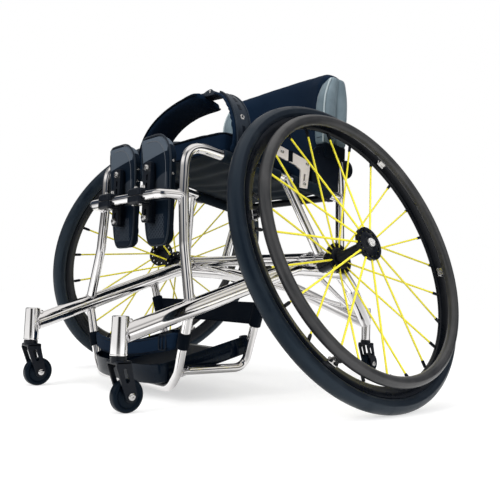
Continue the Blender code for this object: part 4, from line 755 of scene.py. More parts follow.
def publish(item: bpy.types.Object, body: str, slot: str, *nodes: str) -> bpy.types.Object:
    """Let a finished piece ride on a body in place of the frame's nodes.

    Args:
        item: The piece.
        body: The body that it moves with.
        slot: The record's material slot; not used.
        nodes: The nodes that it stands for.

    Returns:
        The piece.
    """
    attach(item, body)
    if nodes:
        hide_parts(*nodes)
    log.info("%s rides on %s, %d faces", item.name, body, len(item.data.polygons))
    return item


def ring_of(count: int, phase: float = 0.0) -> Iterable[float]:
    """Give evenly spaced angles."""
    return (phase + math.tau * index / count for index in range(count))


# Places that several sub-assemblies share


@dataclass(frozen=True)
class Layout:
    """The frame's centrelines, given from below the axle."""

    half_width: float = 0.200
    side_z: float = 0.257973
    kink_y: float = -0.045
    turn_y: float = 0.095
    drop: tuple[float, float, float] = (0.105, 0.250, 0.231973)
    tail_y: float = 0.459
    tail_z: float = 0.138
    side_radius: float = 0.016
    side_bend: float = 0.100
    caster_x: float = 0.172
    caster_y: float = -0.4195
    housing_low: float = 0.092
    housing_height: float = 0.064
    frame_radius: float = 0.0095
    foot_radius: float = 0.0085
    upright_foot_y: float = -0.289
    upright_y: float = -0.286
    upright_low: tuple[float, float] = (0.152, 0.284)
    upright_top_x: float = 0.142
    upright_bend: float = 0.075
    rail_front_z: float = 0.473
    rail_rear_z: float = 0.425
    post_foot_y: float = 0.095
    post_kink: tuple[float, float, float] = (0.168, 0.125, 0.450)
    post_top: tuple[float, float, float] = (0.150, 0.120, 0.690)
    strut_top_y: float = -0.045
    strut_foot_x: float = 0.228
    axle_z: float = 0.278973
    axle_half: float = 0.245
    axle_radius: float = 0.0125
    bar_z: float = 0.375
    bar_half: float = 0.124
    bar_y: float = -0.326
    bar_bend: float = 0.018
    leg_low: tuple[float, float, float] = (0.146, -0.282, 0.056)
    cross: tuple[float, float] = (0.124, 0.026)
    runner_x: float = 0.130
    runner_low: tuple[float, float] = (-0.108, 0.056)
    runner_top_y: float = -0.120
    foot_bend: float = 0.028
    sleeve_radius: float = 0.0128
    hub_z: float = 0.293373
    half_track: float = 0.3155
    camber: float = math.radians(20.4)

    def slope(self, y: float) -> tuple[float, float]:
        """Give x and z of the side tube between caster and kink."""
        low = self.housing_low + self.housing_height / 2
        share = (y - self.caster_y) / (self.kink_y - self.caster_y)
        return self.caster_x + share * (self.half_width - self.caster_x), low + share * (self.side_z - low)

    def side_path(self, side: Side) -> list[Vector]:
        """Give the main tube of one side."""
        corners = [
            side.point(self.caster_x, self.caster_y, self.housing_low + self.housing_height / 2),
            side.point(self.half_width, self.kink_y, self.side_z),
            side.point(self.half_width, self.turn_y, self.side_z),
            side.point(*self.drop),
            side.point(0.0, self.tail_y, self.tail_z),
        ]
        return bent(corners, self.side_bend)

    def post_at(self, side: Side, z: float) -> Vector:
        """Give the back post's centre at a height."""
        low = side.point(self.half_width, self.post_foot_y, self.side_z)
        kink = side.point(*self.post_kink)
        top = side.point(*self.post_top)
        if z < kink.z:
            return low.lerp(kink, (z - low.z) / (kink.z - low.z))
        return kink.lerp(top, (z - kink.z) / (top.z - kink.z))

    def post_path(self, side: Side) -> list[Vector]:
        """Give the back post."""
        foot = side.point(self.half_width, self.post_foot_y, self.side_z)
        return bent([foot, side.point(*self.post_kink), side.point(*self.post_top)], self.side_bend)

    def rail_at(self, side: Side, y: float) -> Vector:
        """Give the seat rail's centre at a place along the chair, measured from the axle."""
        front = side.point(self.upright_top_x, self.upright_y, self.rail_front_z)
        rear = self.post_at(side, self.rail_rear_z)
        return front.lerp(rear, (y + AXLE_Y - front.y) / (rear.y - front.y))

    def upright_path(self, side: Side) -> list[Vector]:
        """Give the tube that is front upright and seat rail."""
        foot_x, foot_z = self.slope(self.upright_foot_y)
        rear_y = self.post_at(side, self.rail_rear_z).y - AXLE_Y - self.frame_radius / 2
        corners = [
            side.point(foot_x, self.upright_foot_y, foot_z),
            side.point(self.upright_low[0], self.upright_y, self.upright_low[1]),
            side.point(self.upright_top_x, self.upright_y, self.bar_z),
            side.point(self.upright_top_x, self.upright_y, self.rail_front_z),
            self.rail_at(side, rear_y),
        ]
        return bent(corners, self.upright_bend)

    def strut_path(self, side: Side) -> list[Vector]:
        """Give the strut from seat rail to axle tube."""
        return [self.rail_at(side, self.strut_top_y), side.point(self.strut_foot_x, 0.0, self.axle_z)]

    def leg_path(self, side: Side) -> list[Vector]:
        """Give one front leg down to the low corner of the foot frame."""
        foot_x, foot_z = self.slope(self.upright_foot_y)
        return [side.point(foot_x, self.upright_foot_y, foot_z), side.point(*self.leg_low)]

    def leg_at(self, side: Side, z: float) -> Vector:
        """Give a front leg's centre at a height."""
        top, low = self.leg_path(side)
        return top.lerp(low, (top.z - z) / (top.z - low.z))

    def foot_loop(self) -> list[Vector]:
        """Give the loop down one leg, across below the feet and up the other."""
        left, right = Side.LEFT, Side.RIGHT
        corners = self.leg_path(left) + [left.point(self.cross[0], self.leg_low[1], self.cross[1])]
        corners += [right.point(self.cross[0], self.leg_low[1], self.cross[1])] + self.leg_path(right)[::-1]
        return bent(corners, self.foot_bend)

    def runner_top(self, side: Side) -> Vector:
        """Give the place where the runner meets the side tube."""
        x, z = self.slope(self.runner_top_y)
        return side.point(x, self.runner_top_y, z)

    def runner_path(self, side: Side) -> list[Vector]:
        """Give the runner from the front leg back and up to the side tube."""
        corners = [
            side.point(*self.leg_low),
            side.point(self.runner_x, self.leg_low[1] + self.foot_bend, self.runner_low[1]),
            side.point(self.runner_x, *self.runner_low),
            self.runner_top(side),
        ]
        return bent(corners, self.foot_bend)

    def runner_at(self, side: Side, z: float) -> Vector:
        """Give the centre of the runner's rising stretch at a height."""
        low = side.point(self.runner_x, *self.runner_low)
        top = self.runner_top(side)
        return low.lerp(top, (z - low.z) / (top.z - low.z))

    def bar_path(self) -> list[Vector]:
        """Give the bar in front of the knees."""
        left, right = Side.LEFT, Side.RIGHT
        corners = [
            left.point(self.upright_top_x, self.upright_y, self.bar_z),
            left.point(self.bar_half, self.bar_y, self.bar_z),
            right.point(self.bar_half, self.bar_y, self.bar_z),
            right.point(self.upright_top_x, self.upright_y, self.bar_z),
        ]
        return bent(corners, self.bar_bend)

    def wheel_place(self, side: Side) -> Matrix:
        """Give a large wheel's frame: origin at the hub, Z outward along the axle."""
        outward = Vector((side.value * math.cos(self.camber), 0.0, math.sin(self.camber)))
        level = Vector((0.0, -side.value, 0.0))
        place = Matrix((level, outward.cross(level), outward)).transposed().to_4x4()
        place.translation = side.point(self.half_track, 0.0, self.hub_z)
        return place


def bent(corners: Sequence[Vector], radius: float, step: float = 6.0) -> list[Vector]:
    """Round each inner corner of a polyline.

    Args:
        corners: The corners.
        radius: Bending radius.
        step: Degrees of turn between points.

    Returns:
        The rounded path.
    """
    path = [corners[0]]
    for before, corner, after in zip(corners, corners[1:], corners[2:]):
        back, ahead = before - corner, after - corner
        turn = math.pi - back.angle(ahead)
        reach = min(radius * math.tan(turn / 2), 0.45 * back.length, 0.45 * ahead.length)
        start = corner + back.normalized() * reach
        end = corner + ahead.normalized() * reach
        count = max(2, math.ceil(math.degrees(turn) / step))
        for index in range(count + 1):
            share = index / count
            path.append((1 - share) ** 2 * start + 2 * share * (1 - share) * corner + share ** 2 * end)
    path.append(corners[-1])
    return path


def bezier(points: Sequence[Vector], share: float) -> tuple[Vector, Vector]:
    """Evaluate a cubic Bezier curve: its place and its direction."""
    rest = 1.0 - share
    first, second, third, last = points
    place = rest ** 3 * first + 3 * rest ** 2 * share * second + 3 * rest * share ** 2 * third + share ** 3 * last
    heading = rest ** 2 * (second - first) + 2 * rest * share * (third - second) + share ** 2 * (last - third)
    return place, heading.normalized()


def weld(name: str, end: Vector, along: Vector, radius: float, line: tuple[Vector, Vector], target: float):
    """Lay a rippled weld bead where a round tube lands on another.

    Args:
        name: The bead's name.
        end: A point on the landing tube's centreline.
        along: Direction of the landing tube, toward the other.
        radius: Radius of the landing tube.
        line: Two points of the other tube's centreline.
        target: Radius of the other tube.

    Returns:
        The bead.
    """
    along = along.normalized()
    axis = (line[1] - line[0]).normalized()
    side_one = along.orthogonal().normalized()
    side_two = along.cross(side_one)
    count = 96
    path = []
    for angle in ring_of(count):
        start = end + (side_one * math.cos(angle) + side_two * math.sin(angle)) * radius
        offset = start - line[0]
        offset -= axis * offset.dot(axis)
        pace = along - axis * along.dot(axis)
        half_b = offset.dot(pace)
        inner = half_b ** 2 - pace.length_squared * (offset.length_squared - target ** 2)
        travel = (-half_b - math.sqrt(max(inner, 0.0))) / pace.length_squared
        path.append(start + along * travel)
    radii = [1.0 + 0.16 * math.cos(math.tau * index / 4) for index in range(count)]
    bead = tube(name, path, 0.0021, 10, radii, cyclic=True)
    return dress(bead, WELD)


LAYOUT = Layout()
SIDES = (Side.LEFT, Side.RIGHT)


# Large wheels


@dataclass
class Wheel:
    """One cambered wheel: tyre, rim, handrim, spokes, hub and its quick release."""

    side: Side
    section: float = 0.015
    section_radius: float = 0.297
    seat: float = 0.285
    rim_inner: float = 0.263
    rim_half: float = 0.0115
    rim_edge_half: float = 0.003
    shoulder: float = 0.2784
    handrim_radius: float = 0.2635
    handrim_tube: float = 0.0108
    handrim_offset: float = 0.0335
    tab_count: int = 6
    tab_phase: float = math.radians(7.0)
    spoke_count: int = 24
    spoke_radius: float = 0.0020
    spoke_phase: float = math.radians(3.0)
    nipple: tuple[float, float] = (0.0032, 0.015)
    hub_radius: float = 0.0135
    hub_ends: tuple[float, float] = (-0.050, 0.0365)
    outer_flange: tuple[float, float] = (0.031, 0.0335)
    inner_flange: tuple[float, float] = (-0.044, 0.032)
    flange: float = 0.008

    def __post_init__(self) -> None:
        """Find the wheel's frame."""
        self.place = LAYOUT.wheel_place(self.side)
        self.label = self.side.label
        self.body = self.label + "_wheel"

    def tyre(self) -> None:
        """Model the tyre with its bead lips, wall rings and a crowned tread."""
        half = self.section
        low = self.seat + GAP
        edge = math.sqrt(half ** 2 - (self.section_radius - low) ** 2)
        profile = [(low, edge)]
        steps = 40
        start = math.acos((low - self.section_radius) / half)
        for index in range(1, steps):
            angle = start - 2 * start * index / steps
            swell = half
            if 1.30 < abs(angle) < 1.40 or 1.95 < abs(angle) < 2.03:
                swell += 0.0005
            if 0.52 < abs(angle) < 0.60:
                swell -= 0.0005
            profile.append((self.section_radius + swell * math.cos(angle), swell * math.sin(angle)))
        profile.append((low, -edge))
        item = turned(self.label + "_tyre_cover", profile, Matrix(), 160, 60.0)

        def where(co: Vector) -> tuple[float, float]:
            angle = math.atan2(co.y, co.x)
            out = math.hypot(co.x, co.y) - self.section_radius
            return angle * self.section_radius, math.atan2(co.z, out) * half

        map_uv(item, where, math.tau * self.section_radius)
        item.matrix_world = self.place
        dress(settle(item, 60.0), RUBBER)
        publish(item, self.body, "tyre_rubber", self.label + "_tyre")

    def rim(self) -> None:
        """Model the deep rim with bead hooks, a hollow wall and a rounded inner edge."""
        right = [
            (self.seat, 0.0),
            (self.seat, 0.0088),
            (self.seat + 0.0012, 0.0100),
            (self.seat + 0.0004, 0.0116),
            (self.seat - 0.0020, self.rim_half),
            (self.shoulder, 0.0112),
            (0.2735, 0.0085),
            (0.2680, 0.0056),
            (0.2645, 0.0040),
            (self.rim_inner, 0.0022),
        ]
        profile = right + [(r, -h) for r, h in right[:0:-1]]
        item = turned(self.label + "_deep_rim", profile, self.place, 144, 50.0)
        valve = rod("valve", self.place @ Vector((0.0, self.rim_inner + 0.001, 0.0)),
                    self.place @ Vector((0.0, self.rim_inner - 0.022, 0.0)), 0.0024, 12, 0.0020)
        dress(item, ANODISED)
        item = fuse([item, dress(valve, STEEL)], self.label + "_deep_rim")
        publish(item, self.body, "black_metal", self.label + "_rim")

    def handrim(self) -> None:
        """Model the coated handrim, its bright tabs and their bolts."""
        profile = []
        for angle in ring_of(28):
            profile.append((
                self.handrim_radius + self.handrim_tube * math.cos(angle),
                self.handrim_offset + self.handrim_tube * math.sin(angle),
            ))
        ring = dress(turned("ring", profile, self.place, 144, 60.0), HANDRIM_COAT)
        parts = [ring]
        for angle in ring_of(self.tab_count, self.tab_phase):
            turn = self.place @ Matrix.Rotation(-angle, 4, "Z")
            radius = self.handrim_radius + 0.004
            arm = slab("arm", (radius - 0.002, -0.008, 0.0072), (radius + 0.002, 0.008, 0.0265), turn, 0.0008)
            cheek = slab("cheek", (radius - 0.004, -0.0095, 0.0080), (radius + 0.007, 0.0095, 0.0125), turn, 0.0012)
            collar = slab("collar", (radius - 0.006, -0.0085, 0.0205), (radius + 0.003, 0.0085, 0.0270), turn, 0.0016)
            parts += [dress(arm, STEEL), dress(cheek, STEEL), dress(collar, STEEL)]
            for shift in (-0.0050, 0.0050):
                head = rod("bolt", turn @ Vector((radius + 0.003, shift, 0.0120)),
                           turn @ Vector((radius + 0.003, shift, 0.0148)), 0.0026, 6)
                parts.append(dress(head, ANODISED))
        publish(fuse(parts, self.label + "_handrim_ring"), self.body, "handrim_coat", self.label + "_handrim")

    def spoke_set(self, name: str, offset: float, flange_radius: float, first: int) -> None:
        """Model twelve fibre spokes with black ferrules and the drilled flange that holds them."""
        hub_end = Vector((flange_radius - self.flange, 0.0, offset))
        lean = math.atan2(abs(offset), self.rim_inner - hub_end.x)
        rim_end = Vector((self.rim_inner - 0.001 - self.nipple[0] * math.sin(lean), 0.0, 0.0))
        length = (rim_end - hub_end).length
        aim = Matrix.Translation(hub_end) @ (rim_end - hub_end).to_track_quat("Z", "Y").to_matrix().to_4x4()
        fibre = [(0.0, length - 0.010), (self.spoke_radius, length - 0.010), (self.spoke_radius, 0.012),
                 (self.spoke_radius * 1.15, 0.010), (self.spoke_radius * 1.15, 0.0), (0.0, 0.0)]
        radius, reach = self.nipple
        ferrule = [(0.0, length), (radius, length), (radius, length - reach + 0.003),
                   (radius * 0.72, length - reach), (0.0, length - reach)]
        parts = []
        for index in range(first, self.spoke_count, 2):
            turn = Matrix.Rotation(-(self.spoke_phase + math.tau * index / self.spoke_count), 4, "Z")
            place = self.place @ turn @ aim
            parts.append(dress(turned("fibre", fibre, place, 12), YELLOW))
            parts.append(dress(turned("ferrule", ferrule, place, 12), ANODISED))
        half = self.flange / 2
        disc_profile = [
            (self.hub_radius, offset - half), (self.hub_radius, offset + half),
            (flange_radius * 0.62, offset + half), (flange_radius * 0.70, offset + half * 0.55),
            (flange_radius * 0.90, offset + half * 0.55), (flange_radius, offset + half * 0.85),
            (flange_radius, offset - half * 0.85), (flange_radius * 0.70, offset - half * 0.55),
            (flange_radius * 0.62, offset - half),
        ]
        disc = dress(turned("disc", disc_profile, self.place, 72), ANODISED)
        drills = []
        for angle in ring_of(12, self.spoke_phase + math.tau * (first + 1) / self.spoke_count):
            turn = self.place @ Matrix.Rotation(-angle, 4, "Z")
            middle = turn @ Vector((flange_radius * 0.80, 0.0, offset))
            depth = (turn.to_3x3() @ Vector((0.0, 0.0, 1.0))) * self.flange
            drills.append(rod("drill", middle - depth, middle + depth, 0.0028, 16))
        disc = settle(carve(disc, fuse(drills, "drills")))
        publish(fuse([disc] + parts, self.label + name + "_fibre"), self.body, "yellow_fibre", self.label + name)

    def hub(self) -> None:
        """Model the hub barrel with its waist, lips and end cap round the pin."""
        low, high = self.hub_ends
        bore = 0.0070
        radius = self.hub_radius
        profile = [
            (bore, high), (radius - 0.003, high), (radius - 0.0015, high - 0.001), (radius, high - 0.0025),
            (radius, 0.026), (radius - 0.0018, 0.021), (radius - 0.0032, 0.008), (radius - 0.0032, -0.024),
            (radius - 0.0012, -0.036), (radius, -0.039), (radius, low + 0.002), (radius - 0.001, low), (bore, low),
        ]
        barrel = dress(turned("barrel", profile, self.place, 64), ANODISED)
        cap_profile = [(0.0086, high + 0.0002), (0.0112, high + 0.0002), (0.0120, high - 0.0012), (0.0086, high - 0.0012)]
        washer = dress(turned("washer", cap_profile, self.place, 48), ANODISED)
        publish(fuse([barrel, washer], self.label + "_hub_barrel"), self.body, "black_metal", self.label + "_hub")

    def pin(self) -> None:
        """Model the pin's shank and cupped head, and the release button."""
        head = self.hub_ends[1] + 0.0006
        profile = [
            (0.0, head - 0.0042), (0.0053, head - 0.0042), (0.0053, head + 0.0036), (0.0061, head + 0.0040),
            (0.0078, head + 0.0040), (0.0085, head + 0.0032), (0.0085, head), (0.00635, head), (0.00635, -0.086),
            (0.0052, -0.090), (0.0, -0.090),
        ]
        item = dress(turned(self.label + "_quick_release_pin", profile, self.place, 48), PIN_STEEL)
        publish(item, "frame", "steel", self.label + "_axle_pin")
        top = head + 0.0070
        press = [
            (0.0, top - 0.0006), (0.0022, top - 0.0003), (0.0038, top), (0.0046, top - 0.0006),
            (0.0050, top - 0.0016), (0.0050, top - 0.008), (0.0, top - 0.008),
        ]
        item = dress(turned(self.label + "_press_button", press, self.place, 32), PIN_STEEL)
        publish(item, self.label + "_button", "steel", self.label + "_release_button")

    def build(self) -> None:
        """Build the wheel."""
        self.tyre()
        self.rim()
        self.handrim()
        self.spoke_set("_outer_spokes", *self.outer_flange, 0)
        self.spoke_set("_inner_spokes", *self.inner_flange, 1)
        self.hub()
        self.pin()


# Frame


@dataclass
class FrameTubes:
    """The polished tubes with their weld beads."""

    clearance: float = GAP
    tail_reach: float = 0.012

    def post(self, side: Side) -> None:
        """Model one back post with its open top plugged."""
        label = side.label
        path = LAYOUT.post_path(side)
        heading = (path[-1] - path[-2]).normalized()
        item = dress(tube("post", path, LAYOUT.frame_radius), POLISHED)
        plug = rod("plug", path[-1] - heading * 0.002, path[-1] + heading * 0.0015, LAYOUT.frame_radius * 0.86)
        bead = weld("bead", path[1], path[0] - path[1], LAYOUT.frame_radius, self.level_line(side), LAYOUT.side_radius)
        item = fuse([item, dress(soften(plug, 0.0008), BLACK_PLASTIC), bead], label + "_post_tube")
        publish(item, "frame", "polished", label + "_back_post")

    @staticmethod
    def level_line(side: Side) -> tuple[Vector, Vector]:
        """Give the straight stretch of the side tube beside the axle."""
        return (
            side.point(LAYOUT.half_width, LAYOUT.kink_y, LAYOUT.side_z),
            side.point(LAYOUT.half_width, LAYOUT.turn_y, LAYOUT.side_z),
        )

    @staticmethod
    def slope_line(side: Side) -> tuple[Vector, Vector]:
        """Give the stretch of the side tube between the caster and the kink."""
        low = LAYOUT.housing_low + LAYOUT.housing_height / 2
        return (
            side.point(LAYOUT.caster_x, LAYOUT.caster_y, low),
            side.point(LAYOUT.half_width, LAYOUT.kink_y, LAYOUT.side_z),
        )

    def side_tube(self, side: Side) -> None:
        """Model one main tube, closed at the tail and welded to the front housing."""
        label = side.label
        path = LAYOUT.side_path(side)
        heading = (path[-1] - path[-2]).normalized()
        path[-1] = path[-1] - heading * self.tail_reach
        front = (path[1] - path[0]).normalized()
        path[0] = path[0] + front * 0.010
        item = dress(tube("side", path, LAYOUT.side_radius, 40), POLISHED)
        low = side.point(LAYOUT.caster_x, LAYOUT.caster_y, 0.0)
        bead = weld("bead", path[0] + front * 0.05, -front, LAYOUT.side_radius * 0.80,
                    (low, low + Vector((0.0, 0.0, 1.0))), 0.0142)
        publish(fuse([item, bead], label + "_main_tube"), "frame", "polished", label + "_side_tube")

    def upright(self, side: Side) -> None:
        """Model the upright that bends back into the seat rail."""
        label = side.label
        path = LAYOUT.upright_path(side)
        item = dress(tube("upright", path, LAYOUT.frame_radius), POLISHED)
        foot = weld("foot_bead", path[1], path[0] - path[1], LAYOUT.frame_radius, self.slope_line(side),
                    LAYOUT.side_radius)
        low = LAYOUT.post_at(side, LAYOUT.rail_rear_z - 0.05)
        high = LAYOUT.post_at(side, LAYOUT.rail_rear_z + 0.02)
        rear = weld("rear_bead", path[-1] + (path[-2] - path[-1]) * 0.3, path[-1] - path[-2], LAYOUT.frame_radius * 0.98,
                    (low, high), LAYOUT.frame_radius + 0.0002)
        publish(fuse([item, foot, rear], label + "_upright_tube"), "frame", "polished", label + "_upright_and_rail")

    def strut(self, side: Side) -> None:
        """Model the strut between seat rail and axle tube."""
        label = side.label
        top, foot = LAYOUT.strut_path(side)
        item = dress(tube("strut", [top, foot], LAYOUT.frame_radius), POLISHED)
        axle = (Vector((-LAYOUT.axle_half, AXLE_Y, LAYOUT.axle_z)), Vector((LAYOUT.axle_half, AXLE_Y, LAYOUT.axle_z)))
        low = weld("low_bead", foot.lerp(top, 0.4), foot - top, LAYOUT.frame_radius, axle, LAYOUT.axle_radius)
        rail = (LAYOUT.rail_at(side, -0.15), LAYOUT.rail_at(side, 0.05))
        high = weld("high_bead", foot.lerp(top, 0.6), top - foot, LAYOUT.frame_radius * 0.97, rail,
                    LAYOUT.frame_radius + 0.0002)
        publish(fuse([item, low, high], label + "_strut_tube"), "frame", "polished", label + "_seat_strut")

    def axle(self) -> None:
        """Model the axle tube, the cambered sockets with their lips and the welds to the side tubes."""
        ends = [Vector((sign * LAYOUT.axle_half, AXLE_Y, LAYOUT.axle_z)) for sign in (-1, 1)]
        parts = [dress(soften(rod("axle", ends[0], ends[1], LAYOUT.axle_radius, 40), 0.0015), POLISHED)]
        profile = [
            (0.0068, -0.0515), (0.0125, -0.0515), (0.0140, -0.0530), (0.0140, -0.0560), (0.0132, -0.0572),
            (0.0132, -0.0905), (0.0112, -0.0935), (0.0, -0.0935), (0.0, -0.0906), (0.0068, -0.0906),
        ]
        for side in SIDES:
            place = LAYOUT.wheel_place(side)
            parts.append(dress(turned("socket", profile, place, 48), ANODISED))
            line = self.level_line(side)
            for reach in (-1, 1):
                start = Vector((line[0].x + reach * 0.028, AXLE_Y, LAYOUT.axle_z))
                parts.append(weld("bead", start, Vector((-reach, 0.0, 0.0)), LAYOUT.axle_radius, line,
                                  LAYOUT.side_radius + 0.0145))
        publish(fuse(parts, "axle_beam"), "frame", "polished", "axle_tube")

    def foot_frame(self) -> None:
        """Model the loop under the feet, its runners and welds."""
        parts = [dress(tube("loop", LAYOUT.foot_loop(), LAYOUT.foot_radius), POLISHED)]
        for side in SIDES:
            parts.append(dress(tube("runner", LAYOUT.runner_path(side), LAYOUT.foot_radius), POLISHED))
            top = LAYOUT.leg_path(side)
            parts.append(weld("leg_bead", top[1], top[0] - top[1], LAYOUT.foot_radius, self.slope_line(side),
                              LAYOUT.side_radius))
            path = LAYOUT.runner_path(side)
            parts.append(weld("runner_bead", path[-2], path[-1] - path[-2], LAYOUT.foot_radius,
                              self.slope_line(side), LAYOUT.side_radius))
            parts.append(weld("front_bead", path[1], path[0] - path[1], LAYOUT.foot_radius * 0.9,
                              (top[0], top[1]), LAYOUT.foot_radius + 0.0008))
        publish(fuse(parts, "foot_loop"), "frame", "polished", "foot_frame")

    def knee_bar(self) -> None:
        """Model the bar in front of the knees."""
        path = LAYOUT.bar_path()
        parts = [dress(tube("bar", path, LAYOUT.frame_radius), POLISHED)]
        for side, corner, inner in ((Side.LEFT, path[0], path[1]), (Side.RIGHT, path[-1], path[-2])):
            line = (side.point(LAYOUT.upright_top_x, LAYOUT.upright_y, 0.3),
                    side.point(LAYOUT.upright_top_x, LAYOUT.upright_y, 0.4))
            parts.append(weld("bead", inner, corner - inner, LAYOUT.frame_radius * 0.97, line, LAYOUT.frame_radius))
        publish(fuse(parts, "knee_bar_tube"), "frame", "polished", "knee_bar")

    def brace(self) -> None:
        """Model the thin rods and the gusset of the tail."""
        fall = (LAYOUT.tail_z - LAYOUT.drop[2]) / (LAYOUT.tail_y - LAYOUT.drop[1])
        front_y, length = 0.352, 0.045

        def width(y: float) -> float:
            return LAYOUT.drop[0] * (1.0 - (y - LAYOUT.drop[1]) / (LAYOUT.tail_y - LAYOUT.drop[1]))

        front_z = LAYOUT.drop[2] + fall * (front_y - LAYOUT.drop[1])
        slope = math.atan(fall)
        along = length / math.cos(slope)
        front_x, rear_x = width(front_y) - 0.014, width(front_y + length) - 0.010
        outline = [(-front_x, 0.0), (front_x, 0.0), (rear_x, along), (-rear_x, along)]
        hole = [(0.010 * math.cos(angle), along * 0.42 + 0.010 * math.sin(angle)) for angle in ring_of(24)]
        place = Matrix.Translation((0.0, front_y + AXLE_Y, front_z)) @ Matrix.Rotation(slope, 4, "X")
        parts = [dress(plate("gusset", outline, 0.004, place, 0.0008, [hole]), STEEL)]
        axle = (Vector((-0.2, AXLE_Y, LAYOUT.axle_z)), Vector((0.2, AXLE_Y, LAYOUT.axle_z)))
        for side in SIDES:
            start = side.point(0.180, 0.0, LAYOUT.axle_z - 0.00625)
            end = side.point(0.010, front_y + 0.006, front_z)
            parts.append(dress(rod("stay", start, end, 0.006, 24), POLISHED))
            parts.append(weld("bead", start.lerp(end, 0.2), start - end, 0.0058, axle, LAYOUT.axle_radius))
        publish(fuse(parts, "tail_stays"), "frame", "steel", "tail_brace")

    def cross_tube(self) -> None:
        """Model the dark tube behind the cushion, with its end collars."""
        ends = [LAYOUT.rail_at(side, 0.108) for side in SIDES]
        inner = [ends[0].lerp(ends[1], share) for share in (0.035, 0.965)]
        parts = [dress(rod("cross", inner[0], inner[1], LAYOUT.foot_radius, 32), SATIN_BLACK)]
        for share in (0.05, 0.95):
            middle = ends[0].lerp(ends[1], share)
            reach = Vector((0.006, 0.0, 0.0))
            parts.append(dress(soften(rod("collar", middle - reach, middle + reach, 0.0105, 32), 0.001), ANODISED))
        publish(fuse(parts, "seat_cross_bar"), "frame", "black_metal", "seat_cross_tube")

    def build(self) -> None:
        """Build every tube."""
        for side in SIDES:
            self.side_tube(side)
            self.upright(side)
            self.post(side)
            self.strut(side)
        self.axle()
        self.foot_frame()
        self.knee_bar()
        self.brace()
        self.cross_tube()


# Casters


